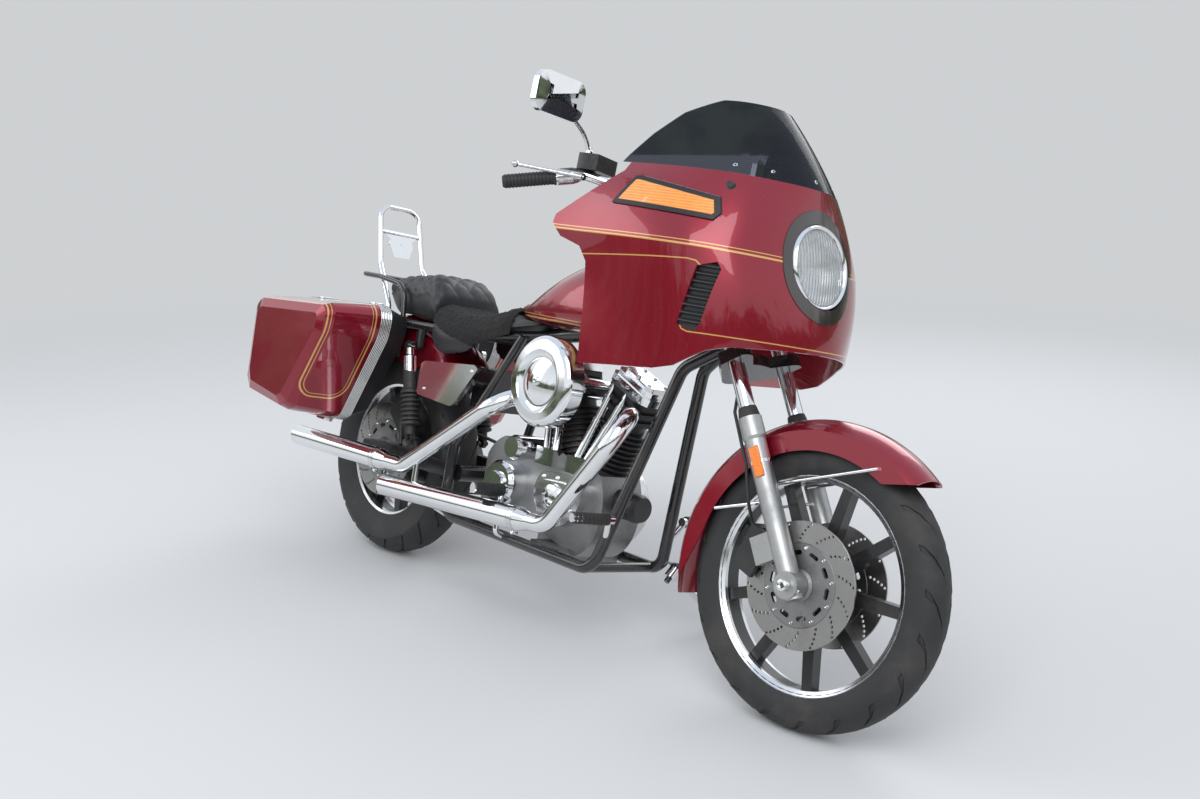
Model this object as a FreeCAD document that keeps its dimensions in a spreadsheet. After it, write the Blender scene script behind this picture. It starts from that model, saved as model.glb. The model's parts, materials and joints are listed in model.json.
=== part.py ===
"""Touring cruiser motorcycle with a frame-mounted fairing and two hard saddlebags.

The machine is drawn upright: X runs forward from the rear axle, Y to the rider's left, Z up from
the road. At the end every piece is leaned on to the side stand and written to parts/.
"""
import math
import os

import FreeCAD
import Part
import Sketcher
from FreeCAD import Placement, Rotation, Vector

# Driving dimensions, in millimetres and degrees
SIZES = {
    # chassis
    "wheelbase": 1643, "rake_deg": 31, "trail": 119, "lean_deg": 13.5, "steer_deg": 3.5,
    "fork_spread": 100, "fit_gap": 0.05, "seat_gap": 0.3,
    # front wheel
    "front_tyre_radius": 331, "front_tyre_width": 100, "front_bead_radius": 243,
    "front_rim_width": 78, "front_lip_height": 12, "rim_wall": 7, "front_hub_radius": 34,
    "front_hub_width": 104, "axle_radius": 10, "axle_bore_radius": 5, "spoke_width": 26,
    "spoke_depth": 16, "spoke_root_width": 34, "front_disc_radius": 146, "disc_thickness": 5,
    "front_disc_side": 66, "carrier_hole_radius": 9,
    "carrier_radius": 70, "carrier_bore_radius": 36,
    # rear wheel
    "rear_tyre_radius": 320, "rear_tyre_width": 130, "rear_bead_radius": 205,
    "rear_rim_width": 96, "rear_lip_height": 12, "rear_hub_radius": 42, "rear_hub_width": 112,
    "rear_disc_radius": 146, "rear_disc_side": 78, "pulley_radius": 122, "pulley_side": 80,
    "pulley_width": 24, "front_pulley_radius": 48, "front_pulley_forward": 560,
    "front_pulley_height": 345, "belt_thickness": 5, "belt_width": 20,
    # fork, measured along the legs from the axle
    "fork_tube_radius": 19.5, "fork_tube_top": 792, "slider_radius": 25, "slider_top": 398,
    "slider_foot": 34, "slider_eye_radius": 31, "boot_height": 26, "slider_bore_depth": 60,
    "lower_clamp": 556, "upper_clamp": 764, "clamp_thickness": 30, "clamp_reach": 36,
    "stem_radius": 14, "head_tube_radius": 31, "head_gap": 1.5,
    # front mudguard
    "front_guard_radius": 380, "front_guard_skirt": 76, "front_guard_half_width": 63,
    "guard_wall": 3, "front_guard_front_deg": 50, "front_guard_rear_deg": 198,
    "stay_radius": 4,
    # front brakes
    "caliper_length": 108, "caliper_height": 62, "caliper_depth": 46, "caliper_slot": 9,
    "caliper_inner_radius": 111, "disc_clear_radius": 153, "bracket_radius": 6,
    "hose_radius": 4, "hose_bend": 14,
    # handlebar and its fittings
    "bar_radius": 12.7, "bar_bend": 60, "riser_height": 42, "riser_radius": 17,
    "riser_spread": 45, "grip_radius": 17, "grip_length": 128, "switch_length": 52,
    "switch_radius": 21, "lever_thickness": 9, "reservoir_length": 92, "reservoir_width": 58,
    "reservoir_height": 40, "mirror_width": 160, "mirror_height": 100, "mirror_depth": 30,
    "mirror_stem_radius": 5, "bar_reach": 402, "bar_rise": 190, "bar_half_width": 392,
    "lever_reach": 42, "lever_lift": 46, "mirror_foot_forward": 909,
    "mirror_foot_side": 264, "mirror_forward": 938, "mirror_side": 430,
    "mirror_middle_height": 1329, "mirror_pad_radius": 10,
    # frame tubes
    "backbone_radius": 22, "down_tube_radius": 16, "rail_radius": 14, "strut_radius": 13,
    "tube_bend": 55, "rail_spread": 128, "seat_rail_spread": 104, "seat_node_forward": 600,
    "seat_node_height": 765, "down_tube_forward": 1154, "down_tube_height": 755,
    "cradle_front": 1052, "rail_height": 208, "rear_frame_reach": 150,
    "rear_frame_height": 712, "bag_arm_reach": 120,
    # engine
    "crank_forward": 850, "crank_height": 345, "case_half_width": 72, "case_radius": 128,
    "v_half_deg": 22.5, "cylinder_start": 118, "cylinder_length": 168, "fin_radius": 72,
    "fin_root_radius": 58, "fin_pitch": 15, "fin_thickness": 5, "head_height": 62,
    "head_length": 150, "head_width": 130, "rocker_height": 44, "rocker_length": 158,
    "rocker_width": 112, "cam_cover_depth": 42, "cam_cover_radius": 68,
    "gearbox_cover_depth": 62, "gearbox_cover_radius": 62, "starter_radius": 34,
    "primary_depth": 74, "primary_front_radius": 118, "primary_rear_radius": 98,
    "primary_rear_forward": 585, "primary_rear_height": 362, "pushrod_radius": 9,
    "lifter_size": 46, "air_cleaner_radius": 120, "air_cleaner_depth": 62,
    "air_cleaner_side": 152, "air_cleaner_height": 652, "air_cleaner_back": 35,
    "carburettor_radius": 34, "gearbox_rear": 486, "filter_radius": 38, "filter_length": 92,
    "filter_forward": 1000, "filter_height": 372, "belt_clear": 6, "pulley_hub_radius": 30,
    # exhaust
    "header_radius": 23, "muffler_radius": 31, "pipe_wall": 2, "pipe_bend": 70,
    "upper_pipe_side": 216, "lower_pipe_side": 214, "pipe_reach": 258,
    "upper_port_height": 623, "upper_knee_forward": 305, "upper_knee_height": 321,
    "upper_tip_height": 304, "lower_port_height": 616, "lower_front_forward": 1160,
    "lower_knee_forward": 945, "lower_knee_height": 298, "lower_tip_forward": 228,
    "lower_tip_height": 247,
    # swinging arm and shock absorbers
    "pivot_forward": 425, "pivot_height": 330, "arm_side": 116, "arm_depth": 48,
    "arm_width": 28, "pivot_radius": 24, "shock_side": 138, "shock_top_forward": 128,
    "shock_top_height": 657, "shock_foot_forward": 208, "shock_foot_height": 402,
    "spring_radius": 28, "spring_root_radius": 21, "shock_eye_radius": 15,
    # fuel tank
    "tank_rear": 499, "tank_length": 631, "tank_half_width": 130, "tank_base": 795,
    "tank_height": 222,
    # seats
    "seat_rear": 209, "seat_length": 397, "seat_base": 646, "seat_height": 228,
    "pillion_rear": -150, "pillion_length": 355, "pillion_base": 735, "pillion_height": 150,
    "seat_half_width": 140, "pillion_half_width": 125, "fleece_thickness": 18,
    # rear mudguard
    "rear_guard_radius": 428, "rear_guard_skirt": 150, "rear_guard_half_width": 84,
    "rear_guard_front_deg": 28, "rear_guard_rear_deg": 176,
    # saddlebags
    "bag_inner_side": 126, "bag_band_side": 200, "bag_lid_side": 240, "bag_outer_side": 425,
    "bag_front": 100, "bag_length": 442, "bag_base": 392, "bag_height": 366, "bag_wall": 5,
    "band_proud": 4, "lid_gap": 1, "bag_taper": 22, "knuckle_radius": 5,
    "knuckle_length": 34,
    # fairing
    "fairing_rear": 900, "fairing_length": 633, "fairing_half_width": 330,
    "fairing_base": 720, "fairing_height": 505, "fairing_wall": 5, "shield_height": 190,
    "shield_wall": 4, "lamp_half_width": 128, "lamp_half_height": 136, "lamp_tilt_deg": 13,
    "lamp_height": 1046, "lamp_radius": 92, "lamp_ring": 10, "lamp_depth": 95,
    "surround_proud": 8, "turn_lamp_depth": 22,
    # stand
    "stand_pivot_forward": 1075, "stand_pivot_side": 150, "stand_pivot_height": 205,
    "stand_foot_forward": 1150, "stand_foot_side": 318, "stand_leg_radius": 11,
    "stand_boss_radius": 17, "stand_boss_height": 30, "stand_pin_radius": 8,
    "stand_foot_radius": 24, "stand_foot_height": 8,
    # rear furniture
    "sissy_foot_reach": 62, "sissy_knee_reach": 185, "sissy_top_reach": 250, "sissy_bend": 45,
    "grab_front": 40, "grab_rear": 255, "grab_height": 846, "grab_bend": 60,
    "side_cover_rear": 212, "side_cover_length": 268, "side_cover_base": 515,
    "side_cover_height": 132, "oil_tank_rear": 392, "oil_tank_length": 88,
    "oil_tank_half_width": 84, "oil_tank_base": 521, "oil_tank_height": 119,
    "guard_strut_radius": 8, "guard_strut_foot": 610,
    "hoop_radius": 8, "sissy_half_width": 81, "sissy_height": 1071, "plate_hole_radius": 4,
    "sissy_knee_height": 886,
    "sissy_plate_thickness": 5, "sissy_plate_width": 150, "sissy_plate_height": 88,
    "rail_tube_radius": 8, "grab_side": 117, "tail_lamp_width": 96, "tail_lamp_height": 72,
    "tail_lamp_depth": 58, "side_cover_thickness": 16, "side_cover_side": 132,
    # foot controls
    "peg_radius": 14, "peg_length": 92, "pedal_thickness": 8, "peg_forward": 700,
    "peg_height": 338, "front_peg_forward": 1095, "front_peg_height": 350,
}

doc = FreeCAD.newDocument("TouringMotorcycle")
sheet = doc.addObject("Spreadsheet::Sheet", "Sizes")
for row, (alias, value) in enumerate(SIZES.items(), start=1):
    sheet.set("A%d" % row, alias)
    sheet.set("B%d" % row, str(value))
    sheet.setAlias("B%d" % row, alias)
doc.recompute()


class Size:
    """A length together with the spreadsheet expression that gives it."""

    def __init__(self, value, text):
        self.value = value
        self.text = text

    def __add__(self, other):
        other = sized(other)
        return Size(self.value + other.value, "(%s + %s)" % (self.text, other.text))

    __radd__ = __add__

    def __neg__(self):
        return Size(-self.value, "(-1 * %s)" % self.text)

    def __sub__(self, other):
        other = sized(other)
        return Size(self.value - other.value, "(%s - %s)" % (self.text, other.text))

    def __rsub__(self, other):
        return sized(other) - self

    def __mul__(self, share):
        share = sized(share)
        return Size(self.value * share.value, "(%s * %s)" % (self.text, share.text))

    __rmul__ = __mul__

    def __truediv__(self, share):
        share = sized(share)
        return Size(self.value / share.value, "(%s / %s)" % (self.text, share.text))

    def __float__(self):
        return float(self.value)


def sized(value):
    if isinstance(value, Size):
        return value
    return Size(float(value), "%.9g" % value)


class Aliases:
    """Reads a named size out of the spreadsheet."""

    def __getattr__(self, alias):
        return Size(float(sheet.get(alias)), "Sizes." + alias)


S = Aliases()


def vec(x, y, z):
    return Vector(float(x), float(y), float(z))


def sine(size):
    return math.sin(math.radians(float(size)))


def cosine(size):
    return math.cos(math.radians(float(size)))


# Sketches and features

def origin_plane(part, role):
    return [feature for feature in part.Origin.OriginFeatures if feature.Role == role][0]


def hold_corner(drawing, edge, spot, u, v):
    """Ties one end of an edge to its named distances from the sketch's origin."""
    for axis, kind, size in ((-2, "DistanceX", u), (-1, "DistanceY", v)):
        if size.value == 0:
            drawing.addConstraint(Sketcher.Constraint("PointOnObject", edge, spot, axis))
        else:
            rule = Sketcher.Constraint(kind, -1, 1, edge, spot, size.value)
            index = drawing.addConstraint(rule)
            drawing.setExpression("Constraints[%d]" % index, size.text)


def draw_outline(drawing, outline):
    """Closed outline of (u, v) corners; a third value is the bulge of the arc that leaves there."""
    corners = [(sized(p[0]), sized(p[1]), p[2] if len(p) > 2 else 0) for p in outline]
    places = [vec(u, v, 0) for u, v, bulge in corners]
    edges = []
    for i, (u, v, bulge) in enumerate(corners):
        start = places[i]
        end = places[(i + 1) % len(corners)]
        if bulge:
            across = Vector(end.y - start.y, start.x - end.x, 0) * (bulge / 2)
            middle = (start + end) / 2 + across
            edges.append(drawing.addGeometry(Part.Arc(start, middle, end)))
        else:
            edges.append(drawing.addGeometry(Part.LineSegment(start, end)))

    def nearest_end(edge, place):
        near = (drawing.getPoint(edge, 1) - place).Length
        far = (drawing.getPoint(edge, 2) - place).Length
        return 1 if near < far else 2

    for i, (u, v, bulge) in enumerate(corners):
        edge = edges[i]
        before = edges[i - 1]
        spot = nearest_end(edge, places[i])
        meets = nearest_end(before, places[i])
        drawing.addConstraint(Sketcher.Constraint("Coincident", before, meets, edge, spot))
        hold_corner(drawing, edge, spot, u, v)


def draw_circle(drawing, u, v, radius):
    u, v = sized(u), sized(v)
    circle = Part.Circle(vec(u, v, 0), Vector(0, 0, 1), float(radius))
    index = drawing.addGeometry(circle)
    hold_corner(drawing, index, 3, u, v)
    rule = drawing.addConstraint(Sketcher.Constraint("Radius", index, float(radius)))
    drawing.setExpression("Constraints[%d]" % rule, radius.text)


def sketch(part, role, outlines=(), circles=(), shift=None):
    drawing = part.newObject("Sketcher::SketchObject", part.Name + "_sketch")
    drawing.AttachmentSupport = [(origin_plane(part, role), "")]
    drawing.MapMode = "FlatFace"
    if shift is not None:
        drawing.setExpression("AttachmentOffset.Base.z", shift.text)
    for outline in outlines:
        draw_outline(drawing, outline)
    for u, v, radius in circles:
        draw_circle(drawing, u, v, radius)
    return drawing


def body(name):
    part = doc.addObject("PartDesign::Body", name)
    part.Label = name
    return part


def revolve(part, profile, degrees=360):
    """Adds a full or part turn of an (r, z) profile about the body's own Z axis."""
    drawing = sketch(part, "XZ_Plane", [profile])
    turn = part.newObject("PartDesign::Revolution", part.Name + "_turn")
    turn.Profile = drawing
    turn.ReferenceAxis = (drawing, ["V_Axis"])
    turn.Angle = degrees
    drawing.Visibility = False
    return turn


def pad(part, role, outlines=(), circles=(), length=None, shift=None, symmetric=True):
    drawing = sketch(part, role, outlines, circles, shift)
    feature = part.newObject("PartDesign::Pad", part.Name + "_pad")
    feature.Profile = drawing
    feature.setExpression("Length", length.text)
    if symmetric:
        feature.SideType = "Symmetric"
    drawing.Visibility = False
    return feature


def pocket(part, role, outlines=(), circles=()):
    """Cuts right through, both ways from the plane."""
    drawing = sketch(part, role, outlines, circles)
    feature = part.newObject("PartDesign::Pocket", part.Name + "_pocket")
    feature.Profile = drawing
    feature.Type = "ThroughAll"
    feature.SideType = "Symmetric"
    drawing.Visibility = False
    return feature


def polar(part, features, count, role="Z_Axis"):
    pattern = part.newObject("PartDesign::PolarPattern", part.Name + "_ring")
    pattern.Originals = features
    axis = [f for f in part.Origin.OriginFeatures if f.Role == role][0]
    pattern.Axis = (axis, [""])
    pattern.Angle = 360
    pattern.Occurrences = count
    part.Tip = pattern
    return pattern


def dome(radius, rise):
    """Bulge of a profile's last arc, which meets the axis squarely."""
    return math.tan(math.atan(float(rise) / float(radius)) / 2)


def coded(name, shape):
    part = doc.addObject("Part::Feature", name)
    part.Shape = shape
    return part


def cylinder(name, radius, height):
    part = doc.addObject("Part::Cylinder", name)
    part.setExpression("Radius", sized(radius).text)
    part.setExpression("Height", sized(height).text)
    return part


def box(name, length, width, height):
    part = doc.addObject("Part::Box", name)
    part.setExpression("Length", sized(length).text)
    part.setExpression("Width", sized(width).text)
    part.setExpression("Height", sized(height).text)
    return part


def joined(name, parts):
    """One object that shows several pieces, kept as separate solids."""
    group = doc.addObject("Part::Compound", name)
    group.Links = parts
    return group


def fused(name, parts):
    group = doc.addObject("Part::MultiFuse", name)
    group.Shapes = parts
    return group


def less(name, base, tool):
    cut = doc.addObject("Part::Cut", name)
    cut.Base = base
    cut.Tool = tool
    return cut


def shared(name, base, tool):
    common = doc.addObject("Part::Common", name)
    common.Base = base
    common.Tool = tool
    return common


def mirrored(part):
    """The same piece on the other side of the machine."""
    twin = doc.addObject("Part::Mirroring", part.Name + "_left")
    twin.Source = part
    twin.Normal = Vector(0, 1, 0)
    return twin


def both_sides(name, part):
    return joined(name, [part, mirrored(part)])


# Shapes along a run

def run_path(points, bend):
    """Straight runs joined by tangent arcs of one bend radius."""
    edges = []
    start = points[0]
    for before, corner, after in zip(points, points[1:], points[2:]):
        back = (before - corner).normalize()
        ahead = (after - corner).normalize()
        half = back.getAngle(ahead) / 2
        reach = float(bend) / math.tan(half)
        first = corner + back * reach
        last = corner + ahead * reach
        centre = corner + (back + ahead).normalize() * (float(bend) / math.sin(half))
        middle = centre + (corner - centre).normalize() * float(bend)
        if (first - start).Length > 1e-6:
            edges.append(Part.makeLine(start, first))
        edges.append(Part.Arc(first, middle, last).toShape())
        start = last
    edges.append(Part.makeLine(start, points[-1]))
    return Part.Wire(edges)


def tube_shape(points, radius, bend, bore=None):
    path = run_path(points, bend)
    heading = (points[1] - points[0]).normalize()

    def swept(size):
        ring = Part.Wire(Part.makeCircle(float(size), points[0], heading))
        return path.makePipeShell([ring], True, False, 2)

    solid = swept(radius)
    if bore is not None:
        solid = solid.cut(swept(bore))
    return solid


def strut_shape(start, end, radius):
    return Part.makeCylinder(float(radius), (end - start).Length, start, end - start)


def inset(points, distance):
    """Moves an open curve's points inwards, to its right-hand side."""
    moved = []
    for i, point in enumerate(points):
        ahead = points[min(i + 1, len(points) - 1)] - points[max(i - 1, 0)]
        ahead.z = 0
        ahead.normalize()
        moved.append(point + Vector(ahead.y, -ahead.x, 0) * float(distance))
    return moved


def spline(points):
    curve = Part.BSplineCurve()
    curve.interpolate(points)
    return curve.toShape()


def wrap_section(half_points, wall, proud=0):
    """A closed wire round a wall of even thickness, bent round the nose like a horseshoe."""
    right = [Vector(p.x, -p.y, p.z) for p in half_points]
    left = [Vector(p.x, p.y, p.z) for p in reversed(half_points[:-1])]
    middle = right + left
    outer = inset(middle, -float(proud))
    inner = inset(middle, float(wall) - float(proud))
    return Part.Wire([
        spline(outer), Part.makeLine(outer[-1], inner[-1]),
        spline(list(reversed(inner))), Part.makeLine(inner[0], outer[0])])


def prism(outline, half_width):
    """A side-view outline of (x, z) corners, extruded evenly to both sides."""
    corners = [vec(x, -half_width, z) for x, z in outline]
    face = Part.Face(Part.makePolygon(corners + corners[:1]))
    return face.extrude(vec(0, half_width + half_width, 0))


# Where things are

RAKE = Vector(-sine(S.rake_deg), 0, cosine(S.rake_deg))
AXLE = vec(S.wheelbase, 0, S.front_tyre_radius)
STEER_FOOT = vec(S.wheelbase + S.trail, 0, 0)
FORK = Placement(AXLE, Rotation(Vector(0, 1, 0), -float(S.rake_deg)))
FORK_OFFSET = (S.front_tyre_radius * sine(S.rake_deg)) - (S.trail * cosine(S.rake_deg))
ACROSS = Rotation(Vector(1, 0, 0), -90)
ACROSS_RIGHT = Rotation(Vector(1, 0, 0), 90)


def on_fork(ahead, side, along):
    """A point given in the fork's own frame."""
    return FORK.multVec(vec(ahead, side, along))


def on_steering_axis(along):
    return on_fork(-FORK_OFFSET, 0, along)


# The leaning rest pose

def crown_radius(section, half):
    """Radius of the tread arc that rises by the crown share over half the tread."""
    rise = float(section) * TYRE_CROWN_share
    return (float(half) ** 2 + rise ** 2) / (2 * rise)


def low_point(centre, spin, radius, crown):
    """Lowest height of a leaned tyre whose tread is an arc of the crown's radius."""
    return centre.z - (float(radius) - crown) * math.sqrt(1 - spin.z ** 2) - crown


def solve_rest():
    """Leans, pitches and lowers the machine until both tyres stand on the road."""
    turned = Rotation(RAKE, float(S.steer_deg))
    steer = Placement(STEER_FOOT, turned).multiply(Placement(-STEER_FOOT, Rotation()))
    front_crown = crown_radius(S.front_tyre_radius - S.front_bead_radius,
                               S.front_tyre_width / 2 * TYRE_SHOULDER_share)
    rear_crown = crown_radius(S.rear_tyre_radius - S.rear_bead_radius,
                              S.rear_tyre_width / 2 * TYRE_SHOULDER_share)
    lean = Rotation(Vector(1, 0, 0), -float(S.lean_deg))
    pitch, rise = 0.0, 0.0
    for attempt in range(SOLVER_STEPS):
        rest = Placement(vec(0, 0, rise), lean.multiply(Rotation(Vector(0, 1, 0), pitch)))
        front = rest.multiply(steer)
        front_low = low_point(front.multVec(AXLE), front.Rotation.multVec(Vector(0, 1, 0)),
                              S.front_tyre_radius, front_crown)
        rear_low = low_point(rest.multVec(vec(0, 0, S.rear_tyre_radius)),
                             rest.Rotation.multVec(Vector(0, 1, 0)),
                             S.rear_tyre_radius, rear_crown)
        pitch += math.degrees((front_low - rear_low) / float(S.wheelbase))
        rise -= rear_low
    return rest, front


TYRE_BEAD_share = 0.62
TYRE_SHOULDER_share = 0.93
TYRE_CROWN_share = 0.30
TYRE_BELLY_share = 0.42
TYRE_FLANK_share = 0.17
SOLVER_STEPS = 12
REST, FRONT_REST = solve_rest()
GROUND_UP = REST.Rotation.inverted().multVec(Vector(0, 0, 1))

nodes = []


def node(name, part, place=None, group="frame"):
    """Registers a finished piece, its own place in the upright machine and its moving group."""
    part.Label = name
    nodes.append((name, part, place or Placement(), group))


def wheel_place(centre):
    return Placement(centre, ACROSS)


# Wheels

def tyre(name, radius, width, bead):
    """Tyre with a round tread, tucked-in sidewalls and a bead that seats on the rim."""
    section = radius - bead
    half = width / 2
    shoulder = half * TYRE_SHOULDER_share
    rise = section * TYRE_CROWN_share
    crown = float(rise) / float(shoulder)
    part = body(name)
    foot = half * TYRE_BEAD_share
    flank = bead + section * TYRE_FLANK_share
    belly = bead + section * TYRE_BELLY_share
    revolve(part, [
        (bead, -foot), (flank, -foot), (belly, -half, 0.08), (radius - rise, -shoulder, crown),
        (radius - rise, shoulder, 0.08), (belly, half), (flank, foot), (bead, foot)])
    return part


def cast_rim(name, bead, rim_width, lip, tyre_bead, hub_radius, hub_width, bore):
    """Rim barrel with lips, nine tapered spokes and a hub bored for the axle."""
    half = rim_width / 2
    seat = bead - S.seat_gap
    wall = S.rim_wall
    part = body(name)
    shelf = tyre_bead + S.seat_gap
    revolve(part, [
        (seat - wall, -shelf), (seat - wall, shelf), (bead + lip - wall, half),
        (bead + lip, half), (bead + lip, shelf), (seat, shelf), (seat, -shelf),
        (bead + lip, -shelf), (bead + lip, -half), (bead + lip - wall, -half)])
    revolve(part, [
        (bore, -hub_width / 2), (hub_radius, -hub_width / 2), (hub_radius, -hub_width * 0.32),
        (hub_radius * 1.35, -hub_width * 0.2), (hub_radius * 1.35, hub_width * 0.2),
        (hub_radius, hub_width * 0.32), (hub_radius, hub_width / 2), (bore, hub_width / 2)])
    spoke = pad(part, "XY_Plane", [[
        (hub_radius, -S.spoke_root_width / 2), (seat - wall / 2, -S.spoke_width / 2),
        (seat - wall / 2, S.spoke_width / 2), (hub_radius, S.spoke_root_width / 2)]],
        length=S.spoke_depth * 2)
    polar(part, [spoke], SPOKE_COUNT)
    return part


SPOKE_COUNT = 9
CARRIER_HOLES = 9


def brake_disc(name, radius):
    """Disc with a dished carrier, lightened by a ring of holes."""
    part = body(name)
    pad(part, "XY_Plane", circles=[(0, 0, radius), (0, 0, S.carrier_bore_radius)],
        length=S.disc_thickness)
    hole = pocket(part, "XY_Plane", circles=[(S.carrier_radius, 0, S.carrier_hole_radius)])
    polar(part, [hole], CARRIER_HOLES)
    return part


def front_wheel():
    place = wheel_place(AXLE)
    tread = tyre("front_tyre", S.front_tyre_radius, S.front_tyre_width, S.front_bead_radius)
    node("front_tyre", tread, place, "front_wheel")
    rim = cast_rim("front_rim", S.front_bead_radius, S.front_rim_width, S.front_lip_height,
                   S.front_tyre_width / 2 * TYRE_BEAD_share, S.front_hub_radius,
                   S.front_hub_width, S.axle_radius + S.fit_gap)
    node("front_rim", rim, place, "front_wheel")
    right = brake_disc("front_disc_right", S.front_disc_radius)
    right.Placement = Placement(vec(0, 0, -S.front_disc_side), Rotation())
    left = brake_disc("front_disc_left", S.front_disc_radius)
    left.Placement = Placement(vec(0, 0, S.front_disc_side), Rotation())
    sleeve = body("front_disc_sleeve")
    revolve(sleeve, [
        (S.axle_radius + S.fit_gap, S.front_hub_width / 2),
        (S.carrier_bore_radius, S.front_hub_width / 2),
        (S.carrier_bore_radius, S.front_disc_side + S.disc_thickness / 2),
        (S.axle_radius + S.fit_gap, S.front_disc_side + S.disc_thickness / 2)])
    node("front_discs", joined("front_discs", [
        fused("front_disc_right_hub", [right, flipped(sleeve)]),
        fused("front_disc_left_hub", [left, sleeve])]), place, "front_wheel")


def flipped(part):
    """A twin mirrored through the wheel's middle plane."""
    twin = doc.addObject("Part::Mirroring", part.Name + "_twin")
    twin.Source = part
    twin.Normal = Vector(0, 0, 1)
    return twin


def rear_wheel():
    place = wheel_place(vec(0, 0, S.rear_tyre_radius))
    tread = tyre("rear_tyre", S.rear_tyre_radius, S.rear_tyre_width, S.rear_bead_radius)
    node("rear_tyre", tread, place, "rear_wheel")
    bore = S.axle_radius + S.fit_gap
    rim = cast_rim("rear_rim_casting", S.rear_bead_radius, S.rear_rim_width, S.rear_lip_height,
                   S.rear_tyre_width / 2 * TYRE_BEAD_share, S.rear_hub_radius,
                   S.rear_hub_width, bore)
    pulley = body("rear_pulley")
    inner = S.pulley_side - S.pulley_width / 2
    outer = S.pulley_side + S.pulley_width / 2
    revolve(pulley, [
        (bore, S.rear_hub_width / 2), (S.rear_hub_radius, S.rear_hub_width / 2),
        (S.rear_hub_radius, inner), (S.pulley_radius, inner), (S.pulley_radius, outer),
        (S.pulley_radius - S.rim_wall, outer), (S.pulley_radius - S.rim_wall, S.pulley_side),
        (S.rear_hub_radius, S.pulley_side), (S.rear_hub_radius, outer), (bore, outer)])
    node("rear_rim", fused("rear_rim", [rim, pulley]), place, "rear_wheel")
    disc = brake_disc("rear_disc_plate", S.rear_disc_radius)
    disc.Placement = Placement(vec(0, 0, -S.rear_disc_side), Rotation())
    sleeve = body("rear_disc_sleeve")
    revolve(sleeve, [
        (bore, -S.rear_disc_side - S.disc_thickness / 2),
        (S.carrier_bore_radius, -S.rear_disc_side - S.disc_thickness / 2),
        (S.carrier_bore_radius, -S.rear_hub_width / 2), (bore, -S.rear_hub_width / 2)])
    node("rear_disc", fused("rear_disc", [disc, sleeve]), place, "rear_wheel")
    axle = body("rear_axle")
    reach = S.arm_side + S.arm_width
    pad(axle, "XY_Plane", circles=[(0, 0, S.axle_radius), (0, 0, S.axle_bore_radius)],
        length=reach * 2)
    node("rear_axle", axle, place, "frame")


# Fork, mudguard and brakes

def fork():
    tube = body("fork_tube_right")
    seat = S.slider_top - S.slider_bore_depth
    pad(tube, "XY_Plane", circles=[(0, 0, S.fork_tube_radius)], length=S.fork_tube_top - seat,
        symmetric=False)
    tube.Placement = Placement(vec(0, -S.fork_spread, seat), Rotation())
    node("fork_tubes", both_sides("fork_tubes", tube), FORK, "steering")
    slider = body("slider_barrel")
    bore = S.fork_tube_radius + S.fit_gap
    revolve(slider, [
        (0, -S.slider_foot), (S.slider_radius * 0.8, -S.slider_foot),
        (S.slider_radius, S.slider_eye_radius), (S.slider_radius, S.slider_top * 0.86),
        (S.slider_radius * 1.12, S.slider_top * 0.88), (S.slider_radius * 1.12, S.slider_top),
        (bore, S.slider_top), (bore, S.slider_top - S.slider_bore_depth),
        (0, S.slider_top - S.slider_bore_depth)])
    eye = cylinder("slider_eye", S.slider_eye_radius, S.slider_radius * 1.92)
    eye.Placement = Placement(vec(0, S.slider_radius * 0.96, 0), ACROSS_RIGHT)
    reach = S.slider_radius * 2.8
    lug = box("caliper_lug", reach, S.slider_radius, S.caliper_length * 0.6)
    lug.Placement = Placement(
        vec(-reach, -S.slider_radius * 0.6, S.slider_radius * 2.6), Rotation())
    bored = cylinder("axle_clamp_bore", S.axle_radius, S.slider_radius * 4)
    bored.Placement = Placement(vec(0, S.slider_radius * 2, 0), ACROSS_RIGHT)
    room = caliper_block("caliper_room", S.seat_gap)
    room.Placement = Placement(vec(0, S.fork_spread - S.front_disc_side, 0), FRONT_CALIPER_TURN)
    blank = less("slider_faced", fused("slider_blank", [slider, eye, lug]), room)
    leg = less("slider_right", blank, bored)
    leg.Placement = Placement(vec(0, -S.fork_spread, 0), Rotation())
    node("fork_sliders", both_sides("fork_sliders", leg), FORK, "steering")
    boot = body("boot_right")
    revolve(boot, [
        (bore, S.slider_top), (S.slider_radius * 1.05, S.slider_top),
        (S.slider_radius * 0.86, S.slider_top + S.boot_height), (bore, S.slider_top + S.boot_height)])
    boot.Placement = Placement(vec(0, -S.fork_spread, 0), Rotation())
    node("dust_boots", both_sides("dust_boots", boot), FORK, "steering")
    axle = body("front_axle")
    pad(axle, "XY_Plane", circles=[(0, 0, S.axle_radius), (0, 0, S.axle_bore_radius)],
        length=(S.fork_spread + S.slider_radius * 1.3) * 2)
    node("front_axle", axle, Placement(AXLE, ACROSS), "steering")


def yoke(name, along):
    """Fork clamp: a plate that holds both tubes and the stem."""
    part = body(name)
    reach = S.clamp_reach
    back = -FORK_OFFSET - S.head_tube_radius
    pad(part, "XY_Plane", [[
        (-reach * 0.8, -S.fork_spread - reach * 0.6), (reach, -S.fork_spread - reach * 0.6, 0.35),
        (reach, -S.fork_spread + reach * 0.6), (reach * 0.1, -reach, 0.1),
        (reach * 0.1, reach), (reach, S.fork_spread - reach * 0.6, 0.35),
        (reach, S.fork_spread + reach * 0.6), (-reach * 0.8, S.fork_spread + reach * 0.6),
        (back, reach * 0.8, 0.4), (back, -reach * 0.8)]],
        circles=[(0, -S.fork_spread, S.fork_tube_radius + S.fit_gap),
                 (0, S.fork_spread, S.fork_tube_radius + S.fit_gap)],
        length=S.clamp_thickness)
    part.Placement = Placement(vec(0, 0, along), Rotation())
    return part


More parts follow.
